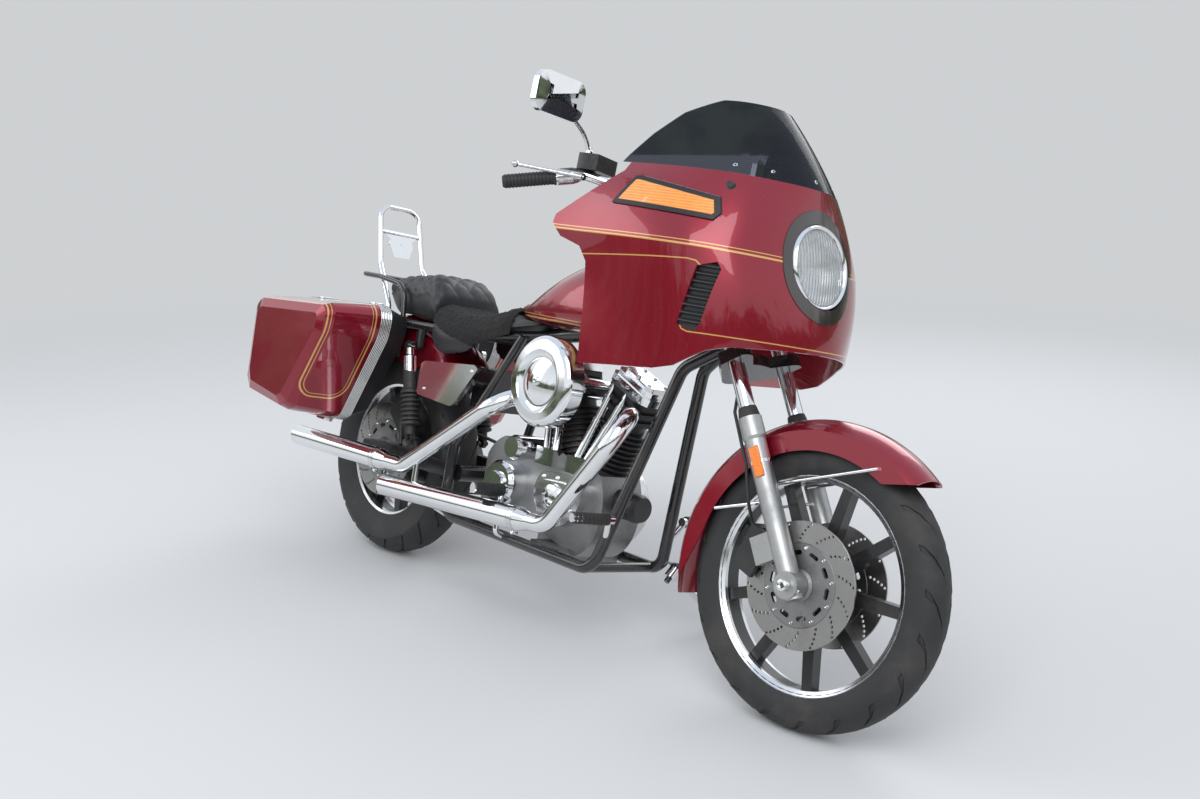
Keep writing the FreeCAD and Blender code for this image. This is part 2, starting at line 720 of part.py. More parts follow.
def triple_clamps():
    low = yoke("lower_clamp", S.lower_clamp)
    high = yoke("upper_clamp", S.upper_clamp)
    half = S.clamp_thickness / 2
    stem = cylinder("stem", S.stem_radius, S.upper_clamp - S.lower_clamp + S.clamp_thickness)
    stem.Placement = Placement(vec(-FORK_OFFSET, 0, S.lower_clamp - half), Rotation())
    node("triple_clamps", fused("triple_clamps", [low, high, stem]), FORK, "steering")


def guard_ring(name, radius, skirt, half_width, wall, front_deg, rear_deg):
    """A stretch of mudguard: a round-shouldered channel turned about the wheel's axle."""
    part = body(name)
    outer = half_width + wall
    revolve(part, [
        (radius - skirt, -outer), (radius - outer * 0.45, -outer, 0.25), (radius, 0, 0.25),
        (radius - outer * 0.45, outer), (radius - skirt, outer), (radius - skirt, half_width),
        (radius - outer * 0.45 - wall, half_width, -0.25), (radius - wall, 0, -0.25),
        (radius - outer * 0.45 - wall, -half_width), (radius - skirt, -half_width)],
        rear_deg - front_deg)
    return part


def front_mudguard():
    front = float(S.front_guard_front_deg)
    ring = guard_ring("front_guard_ring", S.front_guard_radius, S.front_guard_skirt,
                      S.front_guard_half_width, S.guard_wall, front,
                      float(S.front_guard_rear_deg))
    # The turn runs from +X towards the local +Y, which is down once the axle lies across
    spin = Rotation(Vector(0, 0, 1), -float(S.front_guard_rear_deg))
    ring.Placement = Placement(AXLE, ACROSS.multiply(spin))
    tyre_top = S.front_guard_radius
    trim = coded("front_guard_side", prism(
        [(S.wheelbase + tyre_top * u, S.front_tyre_radius + tyre_top * w)
         for u, w in FRONT_GUARD_SIDE_shares], S.front_guard_half_width * 1.5))
    guard = shared("front_guard_shell", ring, trim)
    stays = []
    inner = S.fork_spread - S.slider_radius - S.stay_radius - S.seat_gap
    outer = S.front_guard_half_width + S.guard_wall + S.stay_radius + S.seat_gap
    for index, (u, w, along) in enumerate(FRONT_STAY_shares):
        foot = on_fork(0, -inner, S.slider_top * along)
        tip = vec(S.wheelbase + tyre_top * u, -outer, S.front_tyre_radius + tyre_top * w)
        stays.append(coded("guard_stay_%d" % (index + 1), strut_shape(foot, tip, S.stay_radius)))
    stay_pair = [both_sides("guard_stays_%d" % (i + 1), stay) for i, stay in enumerate(stays)]
    node("front_fender", guard, Placement(), "steering")
    node("fender_stays", joined("fender_stays", stay_pair), Placement(), "steering")


FRONT_GUARD_SIDE_shares = [
    (0.52, 1.02), (0.64, 0.80), (0.60, 0.74), (0.40, 0.70), (0.10, 0.74), (-0.25, 0.72),
    (-0.56, 0.52), (-0.76, 0.22), (-0.88, -0.12), (-0.93, -0.32), (-1.10, -0.32), (-1.10, 1.02)]
FRONT_STAY_shares = [(0.36, 0.78, 0.60), (-0.72, 0.30, 0.50)]


def caliper_block(name, grow):
    """Plain block of a caliper about its disc's axle: local X runs with the rim, Z outwards."""
    part = box(name, S.caliper_length + grow * 2, S.caliper_depth + grow * 2,
               S.caliper_height + grow * 2)
    part.Placement = Placement(vec(-S.caliper_length / 2 - grow, -S.caliper_depth / 2 - grow,
                                   S.caliper_inner_radius - grow), Rotation())
    return joined(name + "_set", [part])


def caliper(name, turn):
    """Block that bridges the disc, open towards the axle."""
    slot = box(name + "_slot", S.caliper_length * 3, S.caliper_slot * 2, S.disc_clear_radius)
    slot.Placement = Placement(vec(-S.caliper_length * 1.5, -S.caliper_slot, 0), Rotation())
    part = less(name, caliper_block(name + "_block", sized(0)), slot)
    part.Placement = Placement(Vector(), turn)
    return part


def front_calipers():
    """Caliper astride each disc, behind the leg, on the slider's lug."""
    part = joined("front_caliper_right", [caliper("front_caliper", FRONT_CALIPER_TURN)])
    part.Placement = Placement(vec(0, -S.front_disc_side, 0), Rotation())
    node("front_calipers", both_sides("front_calipers", part), FORK, "steering")


def brake_hose():
    points = [on_fork(S.slider_top * u, S.fork_spread * v, S.slider_top * w)
              for u, v, w in HOSE_shares]
    hose = tube_shape(points, S.hose_radius, S.hose_bend)
    node("brake_hose", coded("brake_hose", hose), Placement(), "steering")


HOSE_shares = [
    (-0.2136, -0.66, 0.3967), (-0.2136, -0.66, 0.447), (-0.151, -0.98, 0.540),
    (-0.1055, -0.98, 0.754), (-0.1055, -0.92, 1.080), (-0.0653, -0.64, 1.269),
    (-0.0653, -0.64, 1.3583)]
FRONT_CALIPER_TURN = Rotation(Vector(0, 1, 0), -40)
REAR_CALIPER_TURN = Rotation(Vector(0, 1, 0), 40)


# Handlebar and hand controls, in the upright machine's frame

def bar_points():
    """From the middle of the handlebar out to the right-hand end."""
    clamp = on_fork(-FORK_OFFSET * BAR_CLAMP_share, 0, S.upper_clamp + S.riser_height)
    reach = float(S.bar_reach)
    rise = float(S.bar_rise)
    half = float(S.bar_half_width)
    return [clamp + Vector(-reach * u, -half * v, rise * w) for u, v, w in BAR_shares]


BAR_CLAMP_share = 1.0
BAR_shares = [(0, 0, 0), (0, 0.22, 0), (0.25, 0.40, 0.85), (0.66, 0.66, 1.0), (1.0, 1.0, 0.71)]


def along_grip(start, end):
    """Places local Z along the grip, from its inner end outwards, and local X upwards."""
    axis = (end - start).normalize()
    up = Vector(0, 0, 1)
    side = axis.cross(up).normalize()
    return Placement(start, Rotation(axis.cross(side) * -1, side, axis, "ZXY"))


def handlebar():
    points = bar_points()
    full = [Vector(p.x, -p.y, p.z) for p in reversed(points[1:])] + points[1:]
    bar = coded("bar_tube", tube_shape(full, S.bar_radius, S.bar_bend))
    risers = []
    for index, side in enumerate((-S.riser_spread, S.riser_spread)):
        foot = on_fork(-FORK_OFFSET, side, S.upper_clamp + S.clamp_thickness / 2)
        top = on_fork(-FORK_OFFSET, side, S.upper_clamp + S.riser_height + S.bar_radius * 1.5)
        risers.append(coded("riser_%d" % (index + 1), strut_shape(foot, top, S.riser_radius)))
    node("handlebar", fused("handlebar", [bar] + risers), Placement(), "steering")
    start, end = points[-2], points[-1]
    axis = (end - start).normalize()
    inner = end - axis * float(S.grip_length)
    frame = along_grip(inner, end)
    grip = body("grip_right")
    bore = S.bar_radius + S.seat_gap
    revolve(grip, [
        (bore, 0), (S.grip_radius * 1.15, 0), (S.grip_radius * 1.15, S.grip_radius * 0.3),
        (S.grip_radius, S.grip_radius * 0.5), (S.grip_radius * 1.05, S.grip_length * 0.5, 0),
        (S.grip_radius, S.grip_length), (S.grip_radius * 0.8, S.grip_length + S.grip_radius * 0.4),
        (0, S.grip_length + S.grip_radius * 0.4), (0, S.grip_length + S.seat_gap),
        (bore, S.grip_length + S.seat_gap)])
    grip.Placement = frame
    node("grips", both_sides("grips", grip), Placement(), "steering")
    room = tube_shape(points, S.bar_radius + S.fit_gap, S.bar_bend)
    hand_controls(frame, coded("bar_room", room))


def hand_controls(frame, bar):
    """Switch housing, master cylinder and ball-ended lever inboard of each grip."""
    housing = body("switch_housing")
    gap = S.grip_radius * 0.2
    revolve(housing, [
        (0, -S.switch_length - gap), (S.switch_radius * 0.85, -S.switch_length - gap),
        (S.switch_radius, -S.switch_length * 0.8), (S.switch_radius, -gap), (0, -gap)])
    housing.Placement = frame
    tank = body("reservoir")
    pad(tank, "XY_Plane", [[
        (-S.reservoir_width / 2, -S.reservoir_length / 2, 0.12),
        (S.reservoir_width / 2, -S.reservoir_length / 2, 0),
        (S.reservoir_width / 2, S.reservoir_length / 2, 0.12),
        (-S.reservoir_width / 2, S.reservoir_length / 2)]], length=S.reservoir_height)
    inner = frame.multVec(vec(0, 0, -S.switch_length))
    middle = vec(S.mirror_foot_forward, -S.mirror_foot_side * 0.86, 0)
    middle.z = inner.z + float(S.switch_radius + S.reservoir_height * 0.42)
    tank.Placement = Placement(middle, Rotation(Vector(0, 0, 1), RESERVOIR_TURN_DEG))
    stalk = coded("reservoir_stalk", strut_shape(inner, middle, S.switch_radius * 0.8))
    pivot = frame.multVec(vec(0, 0, -S.switch_length * 0.75)) + vec(S.lever_reach, 0, 0)
    knob = frame.multVec(vec(0, 0, S.grip_length)) + vec(S.lever_reach * 0.6, 0, S.lever_lift)
    blade = coded("lever_blade", strut_shape(pivot, knob, S.lever_thickness / 2))
    ball = coded("lever_ball", Part.makeSphere(float(S.lever_thickness), knob))
    post = coded("lever_post", strut_shape(
        frame.multVec(vec(0, 0, -S.switch_length * 0.75)), pivot, S.lever_thickness))
    group = less("hand_control_right", fused("hand_control_blank", [
        housing, tank, stalk, blade, ball, post]), bar)
    node("hand_controls", both_sides("hand_controls", group), Placement(), "steering")
    mirrors(middle.z + float(S.reservoir_height / 2))


RESERVOIR_TURN_DEG = 12


def mirrors(lid):
    """Rounded rectangular mirror on a bent stem that stands on the reservoir's lid."""
    foot = vec(S.mirror_foot_forward, -S.mirror_foot_side, lid + S.seat_gap)
    head = vec(S.mirror_forward, -S.mirror_side, S.mirror_middle_height)
    rise = head.z - foot.z
    knee = foot + Vector(0, (head.y - foot.y) * 0.1, rise * 0.35)
    start = foot + vec(0, 0, S.mirror_stem_radius * 0.8)
    stem = coded("mirror_stem", tube_shape([start, knee, head], S.mirror_stem_radius,
                                           S.mirror_pad_radius * 3))
    base = coded("mirror_pad", Part.makeCylinder(float(S.mirror_pad_radius),
                                                 float(S.mirror_stem_radius), foot))
    shell = body("mirror_shell")
    half_width = S.mirror_width / 2
    half_height = S.mirror_height / 2
    round_off = half_height * 0.72
    pad(shell, "YZ_Plane", [[
        (-half_width + round_off, -half_height), (half_width - round_off, -half_height, 0.35),
        (half_width, -half_height + round_off), (half_width, half_height - round_off, 0.35),
        (half_width - round_off, half_height), (-half_width + round_off, half_height, 0.35),
        (-half_width, half_height - round_off), (-half_width, -half_height + round_off, 0.35)]],
        length=S.mirror_depth)
    shell.Placement = Placement(head, Rotation())
    node("mirrors", both_sides("mirrors", fused("mirror_right", [stem, base, shell])),
         Placement(), "steering")


# Frame

def cradle_shape(radius):
    """Down tube, lower rail and rear upright of the right side as one bent tube."""
    throat = on_steering_axis(S.lower_clamp + S.backbone_radius * 2.4)
    behind = vec(S.head_tube_radius * 0.95, 0, 0)
    upright = S.pivot_forward - S.rail_radius
    return tube_shape([
        throat - behind + vec(0, -S.down_tube_radius * 0.6, 0),
        vec(S.down_tube_forward, -S.rail_spread * 0.30, S.down_tube_height),
        vec(S.cradle_front, -S.rail_spread, S.rail_height),
        vec(upright, -S.rail_spread, S.rail_height),
        vec(upright, -S.rail_spread, S.pivot_height + S.pivot_radius * 3.4)], radius, S.tube_bend)


def seat_rail_shape(radius):
    return tube_shape([
        vec(S.seat_node_forward, -S.backbone_radius * 0.5, S.seat_node_height),
        vec(S.pivot_forward, -S.seat_rail_spread, S.seat_node_height - S.rail_radius * 2.5),
        vec(-S.rear_frame_reach, -S.seat_rail_spread, S.rear_frame_height)], radius, S.tube_bend)


def brace_shape(radius):
    """Slanted tube from the seat node down to the cradle's upright."""
    top = vec(S.seat_node_forward * 0.94, -S.seat_rail_spread * 0.7,
              S.seat_node_height - S.rail_radius)
    foot = vec(S.pivot_forward - S.rail_radius, -S.rail_spread,
               S.pivot_height + S.pivot_radius * 3)
    return strut_shape(top, foot, radius)


def clear_of(name, part, shapes):
    """Cuts both sides' copies of some right-hand tube shapes out of a piece."""
    tubes = [coded("%s_room_%d" % (name, i + 1), shape) for i, shape in enumerate(shapes)]
    room = fused(name + "_room", tubes + [mirrored(tube) for tube in tubes])
    return less(name, part, room)


def frame():
    """Steering head, backbone, twin cradle and rear triangle of round tube."""
    low = S.lower_clamp + S.clamp_thickness / 2 + S.head_gap
    high = S.upper_clamp - S.clamp_thickness / 2 - S.head_gap
    head = body("steering_head")
    bore = S.stem_radius + S.fit_gap
    revolve(head, [
        (bore, low), (S.head_tube_radius * 1.1, low), (S.head_tube_radius * 1.1, low + S.rail_radius),
        (S.head_tube_radius, low + S.rail_radius * 1.2),
        (S.head_tube_radius, high - S.rail_radius * 1.2),
        (S.head_tube_radius * 1.1, high - S.rail_radius), (S.head_tube_radius * 1.1, high),
        (bore, high)])
    head.Placement = FORK.multiply(Placement(vec(-FORK_OFFSET, 0, 0), Rotation()))
    neck = on_steering_axis(S.upper_clamp - S.backbone_radius * 4)
    behind = vec(S.head_tube_radius * 0.95, 0, 0)
    seat_node = vec(S.seat_node_forward, 0, S.seat_node_height)
    spine = strut_shape(neck - behind, seat_node, S.backbone_radius)
    tubes = [coded("backbone", spine)]
    tubes.append(coded("cradle_right", cradle_shape(S.down_tube_radius)))
    tubes.append(coded("seat_rail_right", seat_rail_shape(S.rail_radius)))
    tubes.append(coded("brace_right", brace_shape(S.strut_radius)))
    top = vec(S.shock_top_forward, -S.seat_rail_spread, S.rear_frame_height)
    stud = strut_shape(
        vec(S.shock_top_forward, -S.seat_rail_spread * 0.9, S.shock_top_height),
        vec(S.shock_top_forward, -S.shock_side - S.spring_radius * 0.6, S.shock_top_height),
        S.strut_radius * 0.6)
    tubes.append(coded("shock_stud_right", stud))
    plate_foot = vec(S.shock_top_forward, -S.seat_rail_spread, S.shock_top_height)
    tubes.append(coded("shock_plate_right", strut_shape(top, plate_foot, S.rail_radius)))
    for index, x in enumerate((-S.bag_arm_reach, S.bag_arm_reach * 0.1)):
        arm = strut_shape(vec(x, -S.seat_rail_spread, S.rear_frame_height),
                          vec(x, -S.bag_inner_side, S.rear_frame_height), S.strut_radius * 0.7)
        tubes.append(coded("bag_arm_right_%d" % (index + 1), arm))
        side = S.rear_guard_half_width + S.guard_wall + S.seat_gap + S.guard_strut_radius
        strut = strut_shape(vec(x, -side, S.rear_frame_height), vec(x, -side, S.guard_strut_foot),
                            S.guard_strut_radius)
        tubes.append(coded("guard_strut_right_%d" % (index + 1), strut))
    right = tubes[1:]
    left = [mirrored(tube) for tube in right]
    cross = []
    for index, (x, half, z) in enumerate((
            (S.cradle_front * 0.97, S.rail_spread, S.rail_height),
            (S.pivot_forward, S.seat_rail_spread, S.seat_node_height - S.rail_radius * 2.5))):
        bar = strut_shape(vec(x, -half, z), vec(x, half, z), S.strut_radius)
        cross.append(coded("cross_tube_%d" % (index + 1), bar))
    node("frame", fused("frame", [head, tubes[0]] + right + left + cross + [stand_mount()]))


def stand_mount():
    """Lug on the left rail with the pin on which the side stand turns."""
    rail = vec(S.cradle_front + S.rail_radius * 0.3, S.rail_spread * 0.97,
               S.rail_height + S.rail_radius * 1.2)
    pin = STAND_AXIS
    pivot = vec(S.stand_pivot_forward, S.stand_pivot_side, S.stand_pivot_height)
    boss = float(S.stand_boss_height) / 2
    shaft = strut_shape(pivot - pin * (boss * 1.9), pivot + pin * (boss * 1.9),
                        S.stand_pin_radius)
    lug = strut_shape(rail, pivot + pin * (boss * 1.6), S.rail_radius * 0.8)
    room = Part.makeCylinder(float(S.stand_boss_radius + S.rail_radius), boss * 2.2,
                             pivot - pin * (boss * 1.1), pin)
    washer = Part.makeCylinder(float(S.stand_boss_radius), boss * 0.6,
                               pivot + pin * (boss * 1.05), pin)
    return coded("stand_mount", shaft.fuse([lug.cut(room), washer]))


def stand_axis():
    """Hinge line of the side stand, square to both its ends of travel."""
    pivot = vec(S.stand_pivot_forward, S.stand_pivot_side, S.stand_pivot_height)
    down = (stand_foot() - pivot).normalize()
    stowed = Vector(*STAND_STOWED_shares).normalize()
    return down.cross(stowed).normalize()


def stand_foot():
    """Where the foot's sole meets the road when the machine leans."""
    x, y = float(S.stand_foot_forward), float(S.stand_foot_side)
    rise = REST.Base.z
    up = GROUND_UP
    return Vector(x, y, -(rise + up.x * x + up.y * y) / up.z)


STAND_STOWED_shares = (-0.97, 0.20, -0.13)
STAND_AXIS = stand_axis()


def side_stand():
    """Round leg from a bored boss to a flat foot that lies on the road."""
    pivot = vec(S.stand_pivot_forward, S.stand_pivot_side, S.stand_pivot_height)
    half = STAND_AXIS * float(S.stand_boss_height / 2)
    sole = stand_foot()
    ankle = sole + GROUND_UP * float(S.stand_foot_height)
    boss = strut_shape(pivot - half, pivot + half, S.stand_boss_radius)
    heading = (ankle - pivot).normalize()
    leg = strut_shape(pivot + heading * float(S.stand_boss_radius * 0.7), ankle, S.stand_leg_radius)
    foot = Part.makeCylinder(float(S.stand_foot_radius), float(S.stand_foot_height), sole, GROUND_UP)
    bore = strut_shape(pivot - half * 2, pivot + half * 2, S.stand_pin_radius + S.fit_gap)
    node("side_stand", coded("side_stand", boss.fuse([leg, foot]).cut(bore)), Placement(), "side_stand")


# Engine

def engine_place(angle):
    """A frame at the crankshaft whose Z runs up one cylinder."""
    centre = vec(S.crank_forward, 0, S.crank_height)
    return Placement(centre, Rotation(Vector(0, 1, 0), angle))


def engine_cases():
    x, z = S.crank_forward, S.crank_height
    case = body("crankcase")
    r = S.case_radius
    pad(case, "XZ_Plane", [[
        (x - r * 0.9, z - r * 0.72, 0), (x + r * 0.55, z - r * 1.05, 0.25),
        (x + r * 1.08, z - r * 0.35, 0.2), (x + r * 0.92, z + r * 0.72),
        (x + r * 0.1, z + r * 0.96), (x, z + r * 0.86), (x - r * 0.1, z + r * 0.96),
        (x - r * 0.92, z + r * 0.72)]], length=S.case_half_width * 2)
    gearbox = body("gearbox")
    pad(gearbox, "XZ_Plane", [[
        (S.gearbox_rear, z - r * 0.55, 0), (x - r * 0.8, z - r * 0.72, 0),
        (x - r * 0.8, z + r * 0.62), (S.gearbox_rear + r * 0.5, z + r * 0.95, 0.2),
        (S.gearbox_rear, z + r * 0.45, 0)]], length=S.case_half_width * 1.7)
    mount = box("front_mount", r * 0.9, S.rail_spread * 2 - S.down_tube_radius * 2, r * 0.28)
    mount.Placement = Placement(
        vec(x - r * 0.5, -S.rail_spread + S.down_tube_radius, S.rail_height - r * 0.14), Rotation())
    sump = box("sump", r * 1.2, S.case_half_width * 1.2, r * 0.4)
    sump.Placement = Placement(
        vec(x - r * 0.9, -S.case_half_width * 0.6, S.rail_height - r * 0.1), Rotation())
    whole = fused("cases_whole", [case, gearbox, mount, sump])
    angle = float(S.v_half_deg)
    wells = []
    for index, lean in enumerate((angle, -angle)):
        well = cylinder("barrel_well_%d" % (index + 1), S.fin_radius + S.seat_gap,
                        S.cylinder_length)
        well.Placement = engine_place(lean).multiply(
            Placement(vec(0, 0, S.cylinder_start - S.seat_gap), Rotation()))
        wells.append(well)
    node("engine_cases", less("engine_cases", whole, fused("barrel_wells", wells)))
    return whole


def finned_cylinder(name, angle, tubes):
    """Barrel and head with evenly pitched fins, notched where the pushrod tubes pass."""
    part = body(name)
    start = S.cylinder_start
    profile = [(0, start), (S.fin_root_radius, start)]
    for index in range(FIN_COUNT):
        foot = start + S.fin_pitch * (index + 0.6)
        profile += [(S.fin_root_radius, foot), (S.fin_radius, foot),
                    (S.fin_radius, foot + S.fin_thickness),
                    (S.fin_root_radius, foot + S.fin_thickness)]
    top = start + S.cylinder_length
    profile += [(S.fin_root_radius, top), (0, top)]
    revolve(part, profile)
    head = body(name + "_head")
    half_length = S.head_length / 2
    half_width = S.head_width / 2
    round_off = half_width * 0.4
    for index in range(HEAD_PLATES):
        share = index / (HEAD_PLATES - 1)
        level = top + S.head_height * (share * 0.80 + HEAD_FOOT_share)
        spread = 1 if index % 2 == 0 else 0.88
        pad(head, "XY_Plane", [[
            (-half_length * spread, round_off - half_width),
            (round_off - half_length, -half_width * spread),
            (half_length - round_off, -half_width * spread),
            (half_length * spread, round_off - half_width),
            (half_length * spread, half_width - round_off),
            (half_length - round_off, half_width * spread),
            (round_off - half_length, half_width * spread),
            (-half_length * spread, half_width - round_off)]],
            length=S.head_height / (HEAD_PLATES - 1) * 0.9, shift=level)
    whole = fused(name + "_whole", [part, head])
    whole.Placement = engine_place(angle)
    sign = 1 if angle > 0 else -1
    half_box = box(name + "_side", S.case_radius * 3, S.head_width * 2, S.case_radius * 4)
    inner = S.crank_forward + S.seat_gap
    if sign < 0:
        inner = S.crank_forward - S.seat_gap - S.case_radius * 3
    half_box.Placement = Placement(vec(inner, -S.head_width, S.crank_height), Rotation())
    return less(name + "_notched", shared(name + "_own_half", whole, half_box), tubes)


def head_room(name, angle):
    """Box round one cylinder head and its cover, a small gap outside them."""
    length = S.rocker_length + S.seat_gap * 2
    width = S.head_width + S.seat_gap * 2
    low = (S.cylinder_start + S.cylinder_length + S.head_height * HEAD_FOOT_share
           - S.head_height / (HEAD_PLATES - 1) * 0.45 - S.seat_gap)
    room = box(name, length, width, S.head_height + S.rocker_height * 1.2)
    room.Placement = engine_place(angle).multiply(
        Placement(vec(-length / 2, -width / 2, low), Rotation()))
    return room


def port_room(name, angle):
    """Box of the head itself, inside which an exhaust pipe begins."""
    length = S.head_length + S.seat_gap * 2
    width = S.head_width + S.seat_gap * 2
    room = box(name, length, width, S.head_height + S.seat_gap * 2)
    room.Placement = engine_place(angle).multiply(Placement(
        vec(-length / 2, -width / 2, S.cylinder_start + S.cylinder_length), Rotation()))
    return room


FIN_COUNT = 9
HEAD_PLATES = 5
HEAD_FOOT_share = 0.08


def rocker_cover(name, angle):
    """Stepped lid with clipped corners, a little longer than the head."""
    part = body(name)
    base = S.cylinder_start + S.cylinder_length + S.head_height + S.seat_gap
    for share_low, share_high, spread in ((0, 0.45, 1), (0.45, 0.8, 0.9), (0.8, 1, 0.72)):
        half_length = S.rocker_length / 2 * spread
        half_width = S.rocker_width / 2 * spread
        clip = S.rocker_width * 0.14
        pad(part, "XY_Plane", [[
            (-half_length, clip - half_width), (clip - half_length, -half_width),
            (half_length - clip, -half_width), (half_length, clip - half_width),
            (half_length, half_width - clip), (half_length - clip, half_width),
            (clip - half_length, half_width), (-half_length, half_width - clip)]],
            length=S.rocker_height * (share_high - share_low + 0.02),
            shift=base + S.rocker_height * share_low, symmetric=False)
    part.Placement = engine_place(angle)
    return part


def engine():
    cases = engine_cases()
    angle = float(S.v_half_deg)
    tubes = pushrod_tubes(angle)
    node("cylinders", joined("cylinders", [
        finned_cylinder("front_cylinder", angle, tubes),
        finned_cylinder("rear_cylinder", -angle, tubes)]))
    node("rocker_covers", joined("rocker_covers", [
        rocker_cover("front_rocker_cover", angle), rocker_cover("rear_rocker_cover", -angle)]))
    side_covers_of_engine()
    intake()
    oil_filter = body("oil_filter")
    revolve(oil_filter, [
        (0, 0), (S.filter_radius * 0.8, 0), (S.filter_radius, S.filter_radius * 0.15),
        (S.filter_radius, S.filter_length * 0.86), (S.filter_radius * 0.86, S.filter_length),
        (0, S.filter_length)])
    oil_filter.Placement = Placement(
        vec(S.filter_forward - S.filter_length * 0.25, 0, S.filter_height),
        Rotation(Vector(0, 1, 0), 90))
    node("oil_filter", less("oil_filter_seated", oil_filter, cases))


def pushrod_tubes(angle):
    """Four tubes that fan out from the lifter blocks to the cylinder heads."""
    tubes = []
    rooms = []
    side = S.case_half_width + S.lifter_size * 0.5 + S.seat_gap
    for sign, name in ((1, "front"), (-1, "rear")):
        place = engine_place(sign * angle)
        for index, spread in enumerate((-0.5, 0.5)):
            foot = vec(S.crank_forward + S.lifter_size * (sign * 1.35 + spread * 0.8), -side,
                       S.crank_height + S.case_radius * 0.98)
            top = place.multVec(vec(S.lifter_size * (spread * 1.2 - sign * 0.3),
                                    -S.rocker_width * 0.5,
                                    S.cylinder_start + S.cylinder_length + S.head_height))
            middle = foot + (top - foot) * 0.52
            lower = strut_shape(foot, middle, S.pushrod_radius * 1.25)
            upper = strut_shape(foot, top, S.pushrod_radius)
            label = "%s_%d" % (name, index + 1)
            tubes.append(coded("pushrod_" + label, lower.fuse(upper)))
            room = strut_shape(foot, top, S.pushrod_radius * 1.25 + S.fin_thickness / 2)
            rooms.append(coded("pushrod_room_" + label, room))
        block = box("lifter_block_" + name, S.lifter_size * 1.5, S.lifter_size, S.lifter_size)
        block.Placement = Placement(
            vec(S.crank_forward + S.lifter_size * (sign * 1.35 - 0.75), -side - S.lifter_size / 2,
                S.crank_height + S.case_radius * 0.98 - S.lifter_size * 0.9), Rotation())
        tubes.append(block)
    heads = fused("pushrod_ends", [head_room("front_tube_end", angle),
                                   head_room("rear_tube_end", -angle)])
    node("pushrod_tubes", less("pushrod_tubes", fused("pushrods_whole", tubes), heads))
    return less("pushrod_rooms", fused("pushrod_rooms_whole", rooms), heads)


def side_covers_of_engine():
    """Cam cover, gearbox cover and starter on the right, long primary cover on the left."""
    x, z = S.crank_forward, S.crank_height
    r = S.cam_cover_radius
    cam = body("cam_cover")
    depth = S.cam_cover_depth
    for reach, spread in ((1.0, 1.0), (1.35, 0.72)):
        pad(cam, "XZ_Plane", [[
            (x - r * spread, z - r * 0.4 * spread, 0.4),
            (x + r * 0.5 * spread, z - r * 0.9 * spread, 0.3),
            (x + r * 1.45 * spread, z + r * 0.35 * spread, 0.45),
            (x + r * 0.9 * spread, z + r * 1.1 * spread),
            (x - r * 0.9 * spread, z + r * 1.0 * spread, 0.4)]],
            length=depth * reach, shift=S.case_half_width, symmetric=False)
    node("cam_cover", cam)
    gearbox_side = S.case_half_width * 0.85 + S.seat_gap
    rear = vec(S.primary_rear_forward + S.gearbox_cover_radius * 0.5, -gearbox_side, z)
    gear = body("gearbox_cover")
    revolve(gear, [
        (0, 0), (S.gearbox_cover_radius, 0), (S.gearbox_cover_radius, S.gearbox_cover_depth * 0.8),
        (S.gearbox_cover_radius * 0.86, S.gearbox_cover_depth),
        (S.gearbox_cover_radius * 0.5, S.gearbox_cover_depth),
        (S.gearbox_cover_radius * 0.46, S.gearbox_cover_depth * 1.2), (0, S.gearbox_cover_depth * 1.2)])
    gear.Placement = Placement(rear, ACROSS_RIGHT)
    starter = body("starter_motor")
    revolve(starter, [
        (0, 0), (S.starter_radius, 0), (S.starter_radius, S.starter_radius * 2.6),
        (S.starter_radius * 0.84, S.starter_radius * 3), (0, S.starter_radius * 3)])
    starter.Placement = Placement(vec(x - r * 2.2, -gearbox_side, z + r * 1.65), ACROSS_RIGHT)
    node("transmission_cover", fused("transmission_cover", [gear, starter]))
    front_r, rear_r = S.primary_front_radius, S.primary_rear_radius
    rx, rz = S.primary_rear_forward, S.primary_rear_height
    case = body("primary_cover")
    for reach, spread in ((0.72, 1.0), (1.0, 0.88)):
        fr, rr = front_r * spread, rear_r * spread
        pad(case, "XZ_Plane", [[
            (x, z - fr, 1.0), (x, z + fr, 0.02), (rx, rz + rr, 1.0), (rx, rz - rr, 0.02)]],
            length=S.primary_depth * reach, shift=-S.case_half_width - S.primary_depth * reach,
            symmetric=False)
    room = belt_shape(S.belt_thickness + S.belt_clear, S.belt_width + S.belt_clear)
    room.translate(vec(0, S.pulley_side, 0))
    node("primary_cover", less("primary_cover_relieved", case, coded("belt_room", room)))


def intake():
    """Carburettor between the cylinders and the round, domed air cleaner outside them."""
    carburettor = body("carburettor")
    near = S.air_cleaner_side
    revolve(carburettor, [
        (0, 0), (S.carburettor_radius * 0.8, 0), (S.carburettor_radius * 0.8, near * 0.55),
        (S.carburettor_radius * 1.1, near * 0.58), (S.carburettor_radius * 1.1, near * 0.9),
        (S.carburettor_radius, near), (0, near)])
    cleaner = body("air_cleaner")
    r, depth = S.air_cleaner_radius, S.air_cleaner_depth
    revolve(cleaner, [
        (0, 0), (r * 0.96, 0), (r, depth * 0.06), (r, depth * 0.72, 0.25), (r * 0.86, depth * 0.95),
        (r * 0.70, depth * 0.98, -0.1), (r * 0.56, depth * 0.82),
        (r * 0.52, depth * 0.82, dome(r * 0.52, depth * 0.23)), (0, depth * 1.05)])
    place = Placement(vec(S.crank_forward, 0, S.air_cleaner_height), ACROSS_RIGHT)
    cleaner.Placement = Placement(vec(-S.air_cleaner_back, 0, near), Rotation())
    node("air_cleaner", fused("air_cleaner_whole", [carburettor, cleaner]), place)


